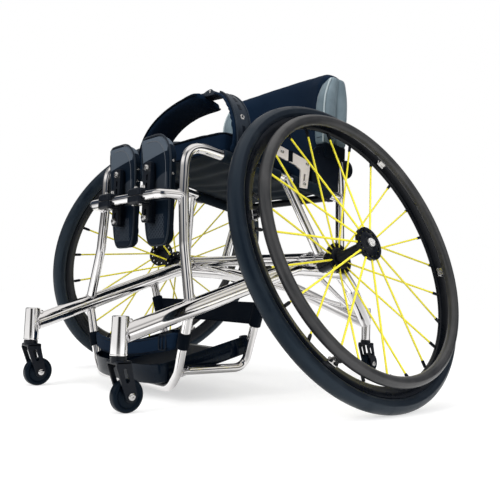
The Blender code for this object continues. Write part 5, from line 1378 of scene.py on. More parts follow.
@dataclass
class Caster:
    """A small swivelling wheel: polished housing, black slotted fork, hard wheel and bright bolt."""

    label: str
    x: float
    y: float
    housing_radius: float
    housing_height: float
    clamped: bool = True
    low: float = 0.092
    radius: float = 0.028
    trail: float = 0.0185
    slot_half: float = 0.0121
    cheek: float = 0.004

    def housing(self) -> None:
        """Model the housing with rolled lips, a recessed lid and its clamp boss."""
        radius, low, top = self.housing_radius, self.low, self.low + self.housing_height
        place = Matrix.Translation((self.x, self.y + AXLE_Y, 0.0))
        profile = [
            (0.0, top - 0.0012), (radius - 0.0045, top - 0.0012), (radius - 0.0038, top - 0.0002), (radius - 0.0012, top),
            (radius, top - 0.0012), (radius, low + 0.0030), (radius + 0.0006, low + 0.0022), (radius + 0.0006, low + 0.0008),
            (radius - 0.0006, low), (0.0066, low), (0.0066, top - 0.004), (0.0, top - 0.004),
        ]
        parts = [dress(turned("housing", profile, place, 64), POLISHED)]
        plug = [(0.0, top - 0.0002), (0.0050, top - 0.0002), (0.0064, top - 0.0011), (0.0, top - 0.0011)]
        parts.append(dress(turned("plug", plug, place, 32), BLACK_PLASTIC))
        if self.clamped:
            boss = slab("boss", (-0.0055, radius - 0.002, top - 0.020), (0.0055, radius + 0.0065, top - 0.004), place, 0.002)
            parts.append(dress(boss, POLISHED))
            head = rod("screw", place @ Vector((-0.0068, radius + 0.0025, top - 0.012)),
                       place @ Vector((0.0068, radius + 0.0025, top - 0.012)), 0.0027, 20)
            parts.append(dress(soften(head, 0.0006), STEEL))
        publish(fuse(parts, self.label + "_head"), "frame", "polished", self.label + "_housing")

    def fork(self, body: str) -> None:
        """Model the crown, stem and two slotted cheeks."""
        place = Matrix.Translation((self.x, self.y + AXLE_Y, 0.0))
        crown = self.low - 0.0006
        bridge = crown - 0.007
        under = bridge - 0.006
        profile = [
            (0.0, crown + self.housing_height - 0.005), (0.006, crown + self.housing_height - 0.005), (0.006, crown),
            (0.0125, crown), (0.0135, crown - 0.001), (0.0135, bridge - 0.003), (0.0, bridge - 0.003),
        ]
        parts = [dress(turned("stem", profile, place, 40), ANODISED)]
        half = self.slot_half + self.cheek
        block = slab("bridge", (-half, -0.012, under), (half, 0.016, bridge + 0.0005), place, 0.0022, 3)
        parts.append(dress(block, SATIN_BLACK))
        outline = [(-0.0115, bridge - 0.001), (-0.0120, under - 0.002)]
        for index in range(13):
            angle = math.radians(195.0 + index * 15.0)
            outline.append((self.trail + 0.010 * math.cos(angle), self.radius + 0.010 * math.sin(angle)))
        outline += [(0.0160, under - 0.002), (0.0155, bridge - 0.001)]
        slot = []
        for index in range(24):
            angle = math.tau * index / 24
            rise = 0.0095 if math.sin(angle) > 0 else -0.0065
            slot.append((0.0075 + 0.0038 * math.cos(angle) - rise * 0.42, 0.0600 + rise + 0.0038 * math.sin(angle)))
        for sign in (-1, 1):
            middle = self.x + sign * (self.slot_half + self.cheek / 2)
            view = Matrix(((0, 0, 1, middle), (1, 0, 0, self.y + AXLE_Y), (0, 1, 0, 0), (0, 0, 0, 1)))
            cheek = plate("cheek", outline, self.cheek, view, 0.0009, [slot])
            parts.append(dress(cheek, SATIN_BLACK))
        publish(fuse(parts, self.label + "_legs"), body, "black_metal", self.label + "_fork")

    def axle_frame(self) -> Matrix:
        """Give the frame with Z across the chair at the bolt."""
        return Matrix.Translation((self.x, self.y + AXLE_Y + self.trail, self.radius)) @ Matrix.Rotation(math.pi / 2, 4, "Y")

    def wheel(self, body: str) -> None:
        """Model the wheel with a rounded tread, sunk faces and bearing rings."""
        right = [
            (0.0046, 0.0115), (0.0088, 0.0115), (0.0095, 0.0108), (0.0095, 0.0088), (0.0120, 0.0070), (0.0190, 0.0066),
            (0.0212, 0.0086), (0.0228, 0.0090), (0.0255, 0.0086), (0.0270, 0.0074), (0.0278, 0.0055), (0.0280, 0.0030),
            (0.0280, 0.0),
        ]
        profile = right + [(r, -h) for r, h in right[-2::-1]]
        parts = [dress(turned("tread", profile, self.axle_frame(), 80, 40.0), CASTER_RUBBER)]
        for sign in (-1, 1):
            ring = [(0.0048, sign * 0.0117), (0.0078, sign * 0.0117), (0.0078, sign * 0.0112), (0.0048, sign * 0.0112)]
            parts.append(dress(turned("bearing", ring, self.axle_frame(), 40), STEEL))
        publish(fuse(parts, self.label + "_roller"), body, "caster_rubber", self.label + "_wheel")

    def bolt(self, body: str) -> None:
        """Model the axle bolt with a socket in each domed head."""
        seat = 0.0164
        half = [
            (0.0, seat + 0.0012), (0.0022, seat + 0.0012), (0.0022, seat + 0.0029), (0.0042, seat + 0.0029),
            (0.0060, seat + 0.0018), (0.0065, seat + 0.0005), (0.0065, seat), (0.0040, seat),
        ]
        profile = half + [(r, -h) for r, h in half[::-1]]
        item = dress(turned(self.label + "_axle_bolt", profile, self.axle_frame(), 36), STEEL)
        publish(item, body, "steel", self.label + "_bolt")

    def build(self) -> None:
        """Build the caster on its swivel and roller."""
        stem = self.label.replace("_caster", "")
        self.housing()
        self.fork(stem + "_swivel")
        self.bolt(stem + "_swivel")
        self.wheel(stem + "_roller")


# Camera, light and floor


@dataclass
class Studio:
    """Plain pale floor, soft light and the camera."""

    place: tuple[float, float, float] = (1.0451, -0.9731, 0.1907)
    yaw: float = math.radians(47.75)
    pitch: float = math.radians(-4.62)
    roll: float = math.radians(2.35)
    lens: float = 44.055
    floor_size: float = 80.0
    floor_lift: float = 0.55
    floor_mirrored: float = 0.94
    panel_turn: float = 0.9
    sky: float = 0.45

    def camera(self) -> None:
        """Set the camera low in front of the chair's left side."""
        back = Vector((
            math.sin(self.yaw) * math.cos(self.pitch), -math.cos(self.yaw) * math.cos(self.pitch), math.sin(self.pitch)
        ))
        level = (-back).cross(Vector((0.0, 0.0, 1.0))).normalized()
        rise = level.cross(-back)
        right = math.cos(self.roll) * level + math.sin(self.roll) * rise
        up = -math.sin(self.roll) * level + math.cos(self.roll) * rise
        bpy.ops.object.camera_add()
        camera = bpy.context.object
        turn = Matrix((right, up, back)).transposed().to_4x4()
        camera.matrix_world = Matrix.Translation(self.place) @ turn
        camera.data.sensor_width = 36.0
        camera.data.lens = self.lens
        camera.data.clip_start = 0.01
        camera.data.clip_end = 300.0
        bpy.context.scene.camera = camera

    def panels(self, wire: Wiring, across, along) -> bpy.types.NodeSocket:
        """Give a mask of bright upright panels round the chair, from two coordinates."""
        turn = wire.math("ARCTAN2", along, across)
        wave = wire.math("SINE", wire.math("MULTIPLY_ADD", turn, 3.0, self.panel_turn))
        return wire.ramp(wave, -0.88, -0.35, 0.0, 1.0)

    def floor(self) -> None:
        """Lay a white floor that keeps the chair's shadow; mirrored, it darkens away from the chair."""
        bpy.ops.object.select_all(action="DESELECT")
        bpy.ops.mesh.primitive_plane_add(size=self.floor_size, location=(0.0, 0.0, -0.0002))
        item = bpy.context.object
        item.name = "studio_floor"
        material = bpy.data.materials.new("white_floor")
        material.use_nodes = True
        wire = Wiring(material.node_tree)
        shader = material.node_tree.nodes["Principled BSDF"]
        shader.inputs["Roughness"].default_value = 0.9
        shader.inputs["Specular IOR Level"].default_value = 0.0
        shader.inputs["Emission Color"].default_value = (1.0, 1.0, 1.0, 1.0)
        place = wire.add("TexCoord").outputs["Object"]
        reach = wire.add("VectorMath", {0: place}, operation="LENGTH").outputs["Value"]
        shade = wire.ramp(reach, 0.8, 1.8, 0.58, 0.03)
        wire.tree.links.new(wire.add("CombineColor", {0: shade, 1: shade, 2: shade}).outputs[0], shader.inputs["Base Color"])
        near = wire.ramp(reach, 0.55, 1.7, self.floor_lift, 1.0)
        path = wire.add("LightPath")
        mirrored = wire.math("MAXIMUM", path.outputs["Is Glossy Ray"], path.outputs["Is Transmission Ray"])
        parts = wire.add("SeparateXYZ", {0: place})
        lit = wire.math("MULTIPLY", self.panels(wire, parts.outputs["X"], parts.outputs["Y"]), self.floor_mirrored)
        far = wire.math("MULTIPLY", lit, wire.ramp(reach, 0.5, 1.2, 0.55, 1.0))
        shown = wire.math("MULTIPLY", path.outputs["Is Camera Ray"], near)
        lift = wire.math("MULTIPLY_ADD", mirrored, far, shown)
        wire.tree.links.new(lift, shader.inputs["Emission Strength"])
        item.data.materials.append(material)

    def world(self) -> None:
        """Light the chair evenly, show white behind it, and mirror soft panels over a dark wall."""
        world = bpy.data.worlds.new("studio")
        bpy.context.scene.world = world
        world.use_nodes = True
        wire = Wiring(world.node_tree)
        path = wire.add("LightPath")
        place = wire.add("TexCoord").outputs["Generated"]
        parts = wire.add("SeparateXYZ", {0: place})
        band = wire.add("ValToRGB", {"Fac": wire.ramp(parts.outputs["Z"], -1.0, 1.0, 0.0, 1.0)})
        ramp = band.color_ramp
        stops = ((0.0, 0.45), (0.49, 0.45), (0.52, 0.30), (0.57, 0.05), (0.62, 0.50), (0.68, 0.96), (0.76, 0.96),
                 (0.82, 0.45), (0.87, 0.45), (0.93, 0.92), (1.0, 0.95))
        while len(ramp.elements) < len(stops):
            ramp.elements.new(0.5)
        for element, (position, value) in zip(ramp.elements, stops):
            element.position = position
            element.color = (value, value * 0.985, value * 0.97, 1.0)
        mask = self.panels(wire, parts.outputs["X"], parts.outputs["Y"])
        mask = wire.math("MAXIMUM", mask, wire.ramp(parts.outputs["Z"], 0.70, 0.85, 0.0, 1.0))
        stripes = wire.blend(mask, (0.030, 0.042, 0.066, 1.0), band.outputs["Color"])
        glossy = wire.math("MAXIMUM", path.outputs["Is Glossy Ray"], path.outputs["Is Transmission Ray"])
        soft = wire.blend(glossy, (self.sky, self.sky, self.sky, 1.0), stripes)
        shown = wire.blend(path.outputs["Is Camera Ray"], soft, (1.0, 1.0, 1.0, 1.0))
        wire.tree.links.new(shown, world.node_tree.nodes["Background"].inputs["Color"])

    def lamps(self) -> None:
        """Hang a large soft lamp above and a smaller one beside the camera."""
        rows = (
            ("overhead", (0.3, -0.2, 2.6), (0.0, 0.0, 0.3), 2.4, 38.0),
            ("front", (0.2, -2.9, 1.5), (0.0, -0.1, 0.3), 1.6, 52.0),
            ("side", (2.8, -0.3, 1.3), (0.0, 0.0, 0.35), 1.4, 40.0),
        )
        for name, place, target, size, power in rows:
            bpy.ops.object.light_add(type="AREA", location=place)
            lamp = bpy.context.object
            lamp.name = name + "_lamp"
            lamp.data.size = size
            lamp.data.energy = power
            lamp.visible_glossy = False
            aim = Vector(target) - Vector(place)
            lamp.rotation_euler = aim.to_track_quat("-Z", "Y").to_euler()

    def build(self) -> None:
        """Set the stage."""
        self.camera()
        self.floor()
        self.world()
        self.lamps()
        bpy.context.scene.view_settings.view_transform = "Standard"


# Padding


def swell(item: bpy.types.Object, voxel: float, cap: float, pressure: float = 4.0) -> bpy.types.Object:
    """Blow up a closed pad with cloth, hold each point within a reach and smooth the result.

    Args:
        item: The pad.
        voxel: Size of the cells before the simulation.
        cap: Furthest that a point may move.
        pressure: Inner pressure.

    Returns: The pad.
    """
    modify(item, "REMESH", mode="VOXEL", voxel_size=voxel)
    rest = [vert.co.copy() for vert in item.data.vertices]
    cloth = item.modifiers.new("cloth", "CLOTH")
    cloth.settings.quality = 4
    cloth.settings.use_pressure = True
    cloth.settings.uniform_pressure_force = pressure
    cloth.settings.effector_weights.gravity = 0.0
    cloth.point_cache.frame_start = 1
    cloth.point_cache.frame_end = 20
    for step in range(1, 21):
        bpy.context.scene.frame_set(step)
    pick_only(item)
    bpy.ops.object.modifier_apply(modifier=cloth.name)
    bpy.context.scene.frame_set(1)
    for vert, start in zip(item.data.vertices, rest):
        move = vert.co - start
        if move.length > cap:
            vert.co = start + move.normalized() * cap
    modify(item, "SUBSURF", levels=1, render_levels=1)
    return settle(item, 180.0)


def seam(name: str, path: Sequence[Vector], radius: float, finish, cyclic: bool = False) -> bpy.types.Object:
    """Lay a round piping along a path and return it."""
    return dress(tube(name, path, radius, 10, cyclic=cyclic), finish)


def stud(name: str, base: Vector, aim: Vector, radius: float, height: float, finish, place: Matrix = Matrix()):
    """Model a domed screw head with a round socket.

    Args:
        name: The head's name.
        base: Where it sits.
        aim: The way it points.
        radius: Its radius.
        height: Its height.
        finish: Its finish.
        place: The frame of base and aim.

    Returns:
        The head.
    """
    profile = [
        (0.0, height * 0.35), (radius * 0.42, height * 0.35), (radius * 0.46, height), (radius * 0.78, height * 0.95),
        (radius, height * 0.55), (radius, -0.0005), (0.0, -0.0005),
    ]
    turn = aim.to_track_quat("Z", "Y").to_matrix().to_4x4()
    return dress(turned(name, profile, place @ Matrix.Translation(base) @ turn, 24), finish)


@dataclass(frozen=True)
class PadCover:
    """A knee pad's cover: grey top panel, dimmer lower panel, black field and a net of small holes."""

    name: str
    centre: float
    black: Colour = (0.0022, 0.0058, 0.0125)
    grey: Colour = (0.080, 0.099, 0.124)
    dim: Colour = (0.028, 0.034, 0.044)
    thread: Colour = (0.085, 0.098, 0.115)

    def build(self) -> bpy.types.Material:
        """Make the material, laid out on x and z."""
        wire, material = start_material(self.name, 0.62, 0.0, Specular_IOR_Level=0.12, Specular_Tint=NAVY_SHINE)
        parts = wire.add("SeparateXYZ", {0: wire.add("TexCoord").outputs["Object"]})
        across = wire.math("SUBTRACT", parts.outputs["X"], self.centre)
        height = parts.outputs["Z"]
        inside = wire.ramp(across, 0.0388, 0.0394, 1.0, 0.0)
        line = wire.math("MULTIPLY_ADD", across, 0.17, 0.4560)
        upper = wire.ramp(wire.math("SUBTRACT", height, line), -0.0004, 0.0004, 0.0, 1.0)
        upper = wire.math("MULTIPLY", upper, wire.ramp(height, 0.4935, 0.4940, 1.0, 0.0))
        left = wire.math("POWER", wire.math("DIVIDE", wire.math("SUBTRACT", across, 0.050), 0.066), 2.0)
        rise = wire.math("POWER", wire.math("DIVIDE", wire.math("SUBTRACT", height, 0.374), 0.050), 2.0)
        round_panel = wire.ramp(wire.math("ADD", left, rise), 0.985, 1.015, 1.0, 0.0)
        lower = wire.math("MULTIPLY", round_panel, wire.ramp(height, 0.3700, 0.3706, 0.0, 1.0))
        rate = math.tau / 0.0052
        slant_one = wire.math("SINE", wire.math("MULTIPLY", wire.math("MULTIPLY_ADD", height, 0.6, across), rate))
        slant_two = wire.math("SINE", wire.math("MULTIPLY", wire.math("MULTIPLY_ADD", height, -0.6, across), rate))
        net = wire.ramp(wire.math("MAXIMUM", slant_one, slant_two), 0.86, 0.98, 0.0, 1.0)
        field = wire.math("MULTIPLY", wire.ramp(height, 0.344, 0.346, 1.0, 0.0), wire.ramp(height, 0.2985, 0.3005, 0.0, 1.0))
        field = wire.math("MULTIPLY", field, wire.ramp(wire.math("ABSOLUTE", across), 0.0265, 0.0285, 1.0, 0.0))
        mesh = wire.math("MULTIPLY", net, field)
        colour = wire.blend(wire.math("MULTIPLY", upper, inside), rgba(self.black), rgba(self.grey))
        colour = wire.blend(wire.math("MULTIPLY", lower, inside), colour, rgba(self.dim))
        colour = wire.blend(mesh, colour, rgba(self.thread))
        knit = wire.add("Group", node_tree=KNIT)
        wire.tree.links.new(wire.add("TexCoord").outputs["Object"], knit.inputs["Vector"])
        level = wire.math("MULTIPLY_ADD", mesh, 1.0, knit.outputs["Height"])
        connect(wire, colour, None, level, 0.0004, 0.6)
        return material


# Knees


@dataclass
class KneePad:
    """One knee pad with piping and rivets, on its ribbed bracket."""

    side: Side
    centre: float = 0.0615
    bottom: float = 0.285
    height: float = 0.215
    width: float = 0.1065
    toe_width: float = 0.0730
    half_depth: float = 0.0090
    middle: float = -0.284
    lean: float = 0.07
    bracket_x: float = 0.056
    plate_half: float = 0.012
    clamp_half: float = 0.021
    grip: float = 0.015
    rib_half: float = 0.006
    plate_low: float = 0.328
    plate_high: float = 0.445
    plate_depth: tuple[float, float] = (-0.3159, -0.3049)

    def middle_y(self, z: float) -> float:
        """Give the pad's middle plane at a height; it leans back toward the feet."""
        return self.middle + AXLE_Y - self.lean * (z - LAYOUT.bar_z)

    def shape(self, x: float, y: float, z: float) -> Vector:
        """Map the pad: narrow at the toe, with its outer upper corner cut round."""
        x, z = math.sin(x * math.pi / 2), math.sin(z * math.pi / 2)
        drop = 0.19 * max(0.0, (x + 0.1) / 1.1) ** 3.0 + 0.020 * max(0.0, (-x - 0.8) / 0.2) ** 2
        lift = 0.060 * abs(x) ** 5 * max(0.0, -z)
        span = self.height * (1.0 - drop)
        level = self.bottom + (z + 1.0) / 2 * span + self.height * lift
        share = (level - self.bottom) / self.height
        width = self.toe_width + (self.width - self.toe_width) * share
        toe = 1.0 - 0.10 * max(0.0, -z - 0.6)
        belly = 1.0 - 0.06 * x * x
        x_at = self.side.value * self.centre + x * toe * width / 2
        return Vector((x_at, self.middle_y(level) + y * self.half_depth * belly, level))

    def edge(self, steps: int = 96, lift: float = -0.78, inset: float = 0.985) -> list[Vector]:
        """Run round the front face near its edge."""
        path = []
        for angle in ring_of(steps):
            x, z = math.cos(angle), math.sin(angle)
            reach = inset / (abs(x) ** 9 + abs(z) ** 9) ** (1 / 9)
            around = [math.asin(value * reach) * 2 / math.pi for value in (x, z)]
            path.append(self.shape(around[0], lift, around[1]))
        return path

    def pad(self) -> None:
        """Model the pad with its piping, channel and rivets."""
        label = self.side.label
        item = swell(shaped("pad", self.shape, (7, 2, 11), 2), 0.004, 0.0016)
        dress(item, PadCover(label + "_pad_cover", self.side.value * self.centre))
        ridge = self.edge(lift=-0.90, inset=0.955)
        parts = [item, seam("piping", self.edge(), 0.0019, PIPING_DARK, True)]
        inner = [point for point in ridge if point.z > 0.40 and point.x > self.side.value * self.centre - 0.02]
        inner = sorted(inner, key=lambda point: point.x - point.z * 0.2)
        shifted = []
        for point in inner:
            shifted.append(Vector((point.x - 0.0105, point.y - 0.0011, point.z - 0.0085)))
        parts.append(seam("inner_piping", shifted, 0.0011, GREY_CLOTH))
        for height in (0.4440, 0.4200):
            share = (height - self.bottom) / self.height
            reach = (self.toe_width + (self.width - self.toe_width) * share) / 2
            base = Vector((self.side.value * self.centre + reach - 0.0007, self.middle_y(height) - 0.0015, height))
            parts.append(stud("rivet", base, Vector((1.0, -0.25, 0.0)), 0.0024, 0.0016, STEEL))
        item = fuse(parts, label + "_knee_cushion")
        publish(item, "frame", "black_fabric", label + "_knee_pad")

    def bracket(self) -> None:
        """Model the split clamp, ribbed plate and bright bolts."""
        label = self.side.label
        x = self.side.value * self.bracket_x
        front, rear = (value + AXLE_Y for value in self.plate_depth)
        bar_y, bar_z = LAYOUT.bar_y + AXLE_Y, LAYOUT.bar_z
        clear = LAYOUT.frame_radius + GAP
        reach = Vector((self.clamp_half + 0.01, 0.0, 0.0))
        middle = Vector((x, bar_y, bar_z))
        clamp = slab("clamp", (x - self.clamp_half, bar_y - self.grip, bar_z - self.grip),
                     (x + self.clamp_half, bar_y + self.grip, bar_z + self.grip), Matrix(), 0.0045, 3)
        split = slab("split", (x - 0.03, bar_y - 0.02, bar_z - 0.0008), (x + 0.03, bar_y, bar_z + 0.0008), Matrix())
        carve(clamp, split)
        carve(clamp, rod("bore", middle - reach, middle + reach, clear, 48))
        parts = [dress(settle(clamp), SATIN_BLACK)]
        outline = []
        low, high, half = self.plate_low, self.plate_high, self.plate_half
        for corner, (cx, cz) in enumerate(((1, 1), (-1, 1), (-1, -1), (1, -1))):
            for step in range(5):
                angle = math.radians(90.0 * corner + 22.5 * step)
                centre_z = (high if cz > 0 else low) - cz * 0.006
                outline.append((x + cx * (half - 0.006) + 0.006 * math.cos(angle), centre_z + 0.006 * math.sin(angle)))
        slots = []
        for height in (0.3985, 0.4145, 0.3490):
            slot = []
            for step in range(16):
                angle = math.tau * step / 16
                rise = math.copysign(0.0035, math.sin(angle))
                slot.append((x + 0.0028 * math.cos(angle), height + rise + 0.0028 * math.sin(angle)))
            slots.append(slot)
        view = Matrix(((1, 0, 0, 0), (0, 0, -1, (front + rear) / 2 + 0.002), (0, 1, 0, 0), (0, 0, 0, 1)))
        parts.append(dress(plate("plate", outline, rear - front - 0.004, view, 0.0012, slots), SATIN_BLACK))
        face = -self.half_depth - 0.0022
        rib = [(rear - 0.0005, low), (self.middle_y(low) + face, low), (self.middle_y(high) + face, high),
               (rear - 0.0005, high)]
        view = Matrix(((0, 0, 1, x), (1, 0, 0, 0), (0, 1, 0, 0), (0, 0, 0, 1)))
        parts.append(dress(plate("rib", rib, 2 * self.rib_half, view, 0.001), SATIN_BLACK))
        ahead = Vector((0.0, -1.0, 0.0))
        for height in (0.4330, 0.3376):
            parts.append(stud("plate_bolt", Vector((x, front + 0.004, height)), ahead, 0.0062, 0.0058, STEEL))
        for shift in (-0.0125, 0.0125):
            base = Vector((x + shift, bar_y, bar_z + self.grip - 0.0005))
            parts.append(stud("clamp_bolt", base, Vector((0.0, 0.0, 1.0)), 0.0046, 0.0068, STEEL))
            parts.append(stud("clamp_nut", base + Vector((0.0, -0.0040, -2 * self.grip + 0.001)),
                              Vector((0.0, 0.0, -1.0)), 0.0038, 0.0022, STEEL))
        publish(fuse(parts, label + "_knee_bracket"), "frame", "black_metal", label + "_pad_bracket")

    def build(self) -> None:
        """Build the pad and its bracket."""
        self.pad()
        self.bracket()


# Feet


@dataclass
class FootRest:
    """The tray under the feet and the two straps round the legs."""

    half_width: float = 0.1209
    length: float = 0.233
    corner: float = 0.035
    wall: float = 0.003
    height: float = 0.037
    tilt: float = math.radians(13.8)
    front: float = 0.030
    rest: tuple[float, float, float] = (0.0, -0.282, 0.026)
    lift: float = 0.0088
    calf_low: float = 0.142
    calf_high: float = 0.186
    calf_sag: float = 0.016
    calf_thickness: float = 0.0026
    strap_z: float = 0.103
    strap_height: float = 0.035
    strap_bow: float = 0.020
    strap_sag: float = 0.016
    strap_tilt: float = 0.010

    def place(self) -> Matrix:
        """Give the tilted tray's frame, resting on the cross tube."""
        slope = Vector((0.0, math.cos(self.tilt), math.sin(self.tilt)))
        normal = Vector((0.0, -math.sin(self.tilt), math.cos(self.tilt)))
        x, y, z = self.rest
        start = Vector((x, y + AXLE_Y, z)) + normal * self.lift - slope * self.front
        return Matrix.Translation(start) @ Matrix.Rotation(self.tilt, 4, "X")

    def outline(self) -> list[tuple[float, float]]:
        """Draw the tray's plan: straight sides and a rounded front."""
        points = [(-self.half_width, self.length)]
        steps = 40
        for step in range(steps + 1):
            angle = math.pi * step / steps
            across = -math.copysign(abs(math.cos(angle)) ** 0.8, math.cos(angle))
            points.append((across * self.half_width, self.corner * (1.0 - math.sin(angle) ** 0.8)))
        points.append((self.half_width, self.length))
        return points

    def tray(self) -> None:
        """Model the glossy tray with turned-over wall tops, ribs and rolled rear ends."""
        place = self.place()
        outline = self.outline()
        work = bmesh.new()
        rows = []
        for level, shrink in ((0.0, 0.004), (0.0015, 0.0012), (0.0045, 0.0), (self.height * 0.5, 0.0),
                              (self.height - 0.002, 0.0), (self.height, 0.0006)):
            row = []
            for x, y in outline:
                inward = -math.copysign(min(shrink, abs(x)), x) if abs(x) > 0.05 else 0.0
                row.append(work.verts.new((x + inward, y + (shrink if y < self.corner * 0.9 else 0.0), level)))
            rows.append(row)
        for low, high in zip(rows, rows[1:]):
            for index in range(len(low) - 1):
                work.faces.new((low[index], low[index + 1], high[index + 1], high[index]))
        base = rows[0]
        count = len(base)
        for index in range(count // 2 - 1):
            work.faces.new((base[index + 1], base[index], base[count - 1 - index], base[count - 2 - index]))
        mesh = bpy.data.meshes.new("tray")
        work.to_mesh(mesh)
        work.free()
        item = bpy.data.objects.new("tray", mesh)
        bpy.context.scene.collection.objects.link(item)
        clean(item)
        modify(item, "SOLIDIFY", thickness=self.wall, offset=-1.0, use_even_offset=True)
        clean(item)
        item.matrix_world = place
        parts = [dress(settle(item, 40.0), GLOSS_BLACK)]
        for sign in (-1, 1):
            x = sign * (self.half_width - 0.0066)
            foot = place @ Vector((x, self.length - 0.006, 0.003))
            top = place @ Vector((x, self.length - 0.006, self.height - 0.001))
            heading = (top - foot).normalized()
            roll = [(0.0052, 0.0), (0.0082, 0.0), (0.0082, (top - foot).length), (0.0052, (top - foot).length)]
            turn = Matrix.Translation(foot) @ heading.to_track_quat("Z", "Y").to_matrix().to_4x4()
            parts.append(dress(turned("roll", roll, turn, 32), GLOSS_BLACK))
        mat = slab("mat", (-0.100, 0.045, self.wall - 0.0005), (0.100, 0.222, self.wall + 0.0012), place, 0.0008)
        parts.append(dress(mat, WEBBING))
        for sign in (-1, 1):
            base_point = Vector((sign * 0.055, self.front, self.wall))
            parts.append(stud("tray_bolt", base_point, Vector((0.0, 0.0, 1.0)), 0.0045, 0.0024, STEEL, place))
        publish(fuse(parts, "foot_tray"), "frame", "black_plastic", "footplate")

    def calf_surface(self, across: float, up: float) -> Vector:
        """Span the runners behind the calves."""
        z = self.calf_low + up * (self.calf_high - self.calf_low)
        point = LAYOUT.runner_at(Side.LEFT, z).lerp(LAYOUT.runner_at(Side.RIGHT, z), across)
        wave = 0.0012 * math.sin(across * 23.0) * math.sin(math.pi * up)
        return point + Vector((0.0, 4.0 * self.calf_sag * across * (1.0 - across) + wave, 0.0))

    def calf_strap(self) -> None:
        """Model the band behind the calves, its hems and the sleeves round the runners."""
        band = dress(lattice_sheet("band", self.calf_surface, 48, 10, self.calf_thickness), WEBBING)
        parts = []
        for up in (0.10, 0.90):
            path = [self.calf_surface(index / 60, up) for index in range(4, 57)]
            for shift in (-1, 1):
                moved = [point + Vector((0.0, shift * self.calf_thickness * 0.5, 0.0)) for point in path]
                parts.append(seam("hem", moved, 0.0007, WEBBING))
        inner = LAYOUT.foot_radius + GAP
        outer = inner + 0.003
        for side in SIDES:
            low = LAYOUT.runner_at(side, self.calf_low - 0.002)
            high = LAYOUT.runner_at(side, self.calf_high + 0.002)
            length = (high - low).length
            profile = [(inner, 0.0), (outer - 0.0006, 0.0), (outer, 0.001), (outer, length * 0.5), (outer, length - 0.001),
                       (outer - 0.0006, length), (inner, length)]
            turn = Matrix.Translation(low) @ (high - low).to_track_quat("Z", "Y").to_matrix().to_4x4()
            parts.append(dress(turned("sleeve", profile, turn, 40), WEBBING))
        clear = []
        for side in SIDES:
            clear.append(rod("clear", LAYOUT.runner_at(side, self.calf_low - 0.02),
                             LAYOUT.runner_at(side, self.calf_high + 0.02), inner, 32))
        band = settle(carve(band, fuse(clear, "clear")), 50.0)
        band = fuse([band], "calf_band")
        hems = fuse(parts, "calf_band_hems")
        publish(band, "frame", "black_fabric", "calf_strap")
        publish(hems, "frame", "black_fabric", "calf_strap")

    def strap_shape(self, x: float, y: float, z: float) -> Vector:
        """Map the padded strap between the front legs."""
        drop = self.strap_sag * (1.0 - x * x) - self.strap_tilt * x
        height = self.strap_z - drop + z * self.strap_height / 2 * (1.0 - 0.06 * y * y)
        point = LAYOUT.leg_at(Side.RIGHT, height).lerp(LAYOUT.leg_at(Side.LEFT, height), (x * 0.905 + 1.0) / 2)
        bow = self.strap_bow * (1.0 - x * x)
        return point + Vector((0.0, y * 0.0052 - bow, 0.0))

    def foot_strap(self) -> None:
        """Model the padded strap, its stitched edge, the loops round the legs and the buckle."""
        item = swell(shaped("strap", self.strap_shape, (15, 1, 3), 2), 0.004, 0.0012)
        parts = [dress(item, NAVY_CLOTH)]
        for up in (-0.72, 0.72):
            path = [self.strap_shape(-0.9 + 1.8 * index / 60, -1.0, up) for index in range(61)]
            parts.append(seam("stitch", path, 0.0008, WEBBING))
        inner = LAYOUT.foot_radius + GAP
        for side in SIDES:
            tilt = side.value * self.strap_tilt
            low = LAYOUT.leg_at(side, self.strap_z + tilt - 0.0135)
            high = LAYOUT.leg_at(side, self.strap_z + tilt + 0.0135)
            length = (high - low).length
            profile = [(inner, 0.0), (inner + 0.0022, 0.0), (inner + 0.0026, 0.001), (inner + 0.0026, length - 0.001),
                       (inner + 0.0022, length), (inner, length)]
            turn = Matrix.Translation(low) @ (high - low).to_track_quat("Z", "Y").to_matrix().to_4x4()
            parts.append(dress(turned("loop", profile, turn, 40), WEBBING))
            end = self.strap_shape(side.value * 0.98, 0.0, 0.0)
            leg = (low + high) / 2
            reach = (leg - end).normalized() * inner
            middle = (end + leg - reach) / 2
            half = Vector(((leg - reach - end).length / 2 + 0.002, 0.0016, 0.013))
            tongue = slab("tongue", -half, half, Matrix.Translation(middle), 0.0008)
            parts.append(dress(tongue, WEBBING))
        tab = self.strap_shape(0.80, -1.25, 0.10)
        turn = Matrix.Translation(tab) @ Matrix.Rotation(math.radians(12.0), 4, "Z")
        frame_path = []
        for angle in ring_of(32):
            x, z = math.cos(angle), math.sin(angle)
            frame_path.append(turn @ Vector((
                0.0085 * math.copysign(abs(x) ** 0.35, x), 0.0, 0.0135 * math.copysign(abs(z) ** 0.35, z)
            )))
        parts.append(seam("buckle", frame_path, 0.0016, BLACK_PLASTIC, True))
        bar = [turn @ Vector((0.0, -0.0006, z)) for z in (-0.0130, 0.0, 0.0130)]
        parts.append(seam("bar", bar, 0.0014, BLACK_PLASTIC))
        item = fuse(parts, "foot_strap_pad")
        publish(item, "frame", "black_fabric", "foot_strap")

    def build(self) -> None:
        """Build the tray and straps."""
        self.tray()
        self.calf_strap()
        self.foot_strap()


# Seat


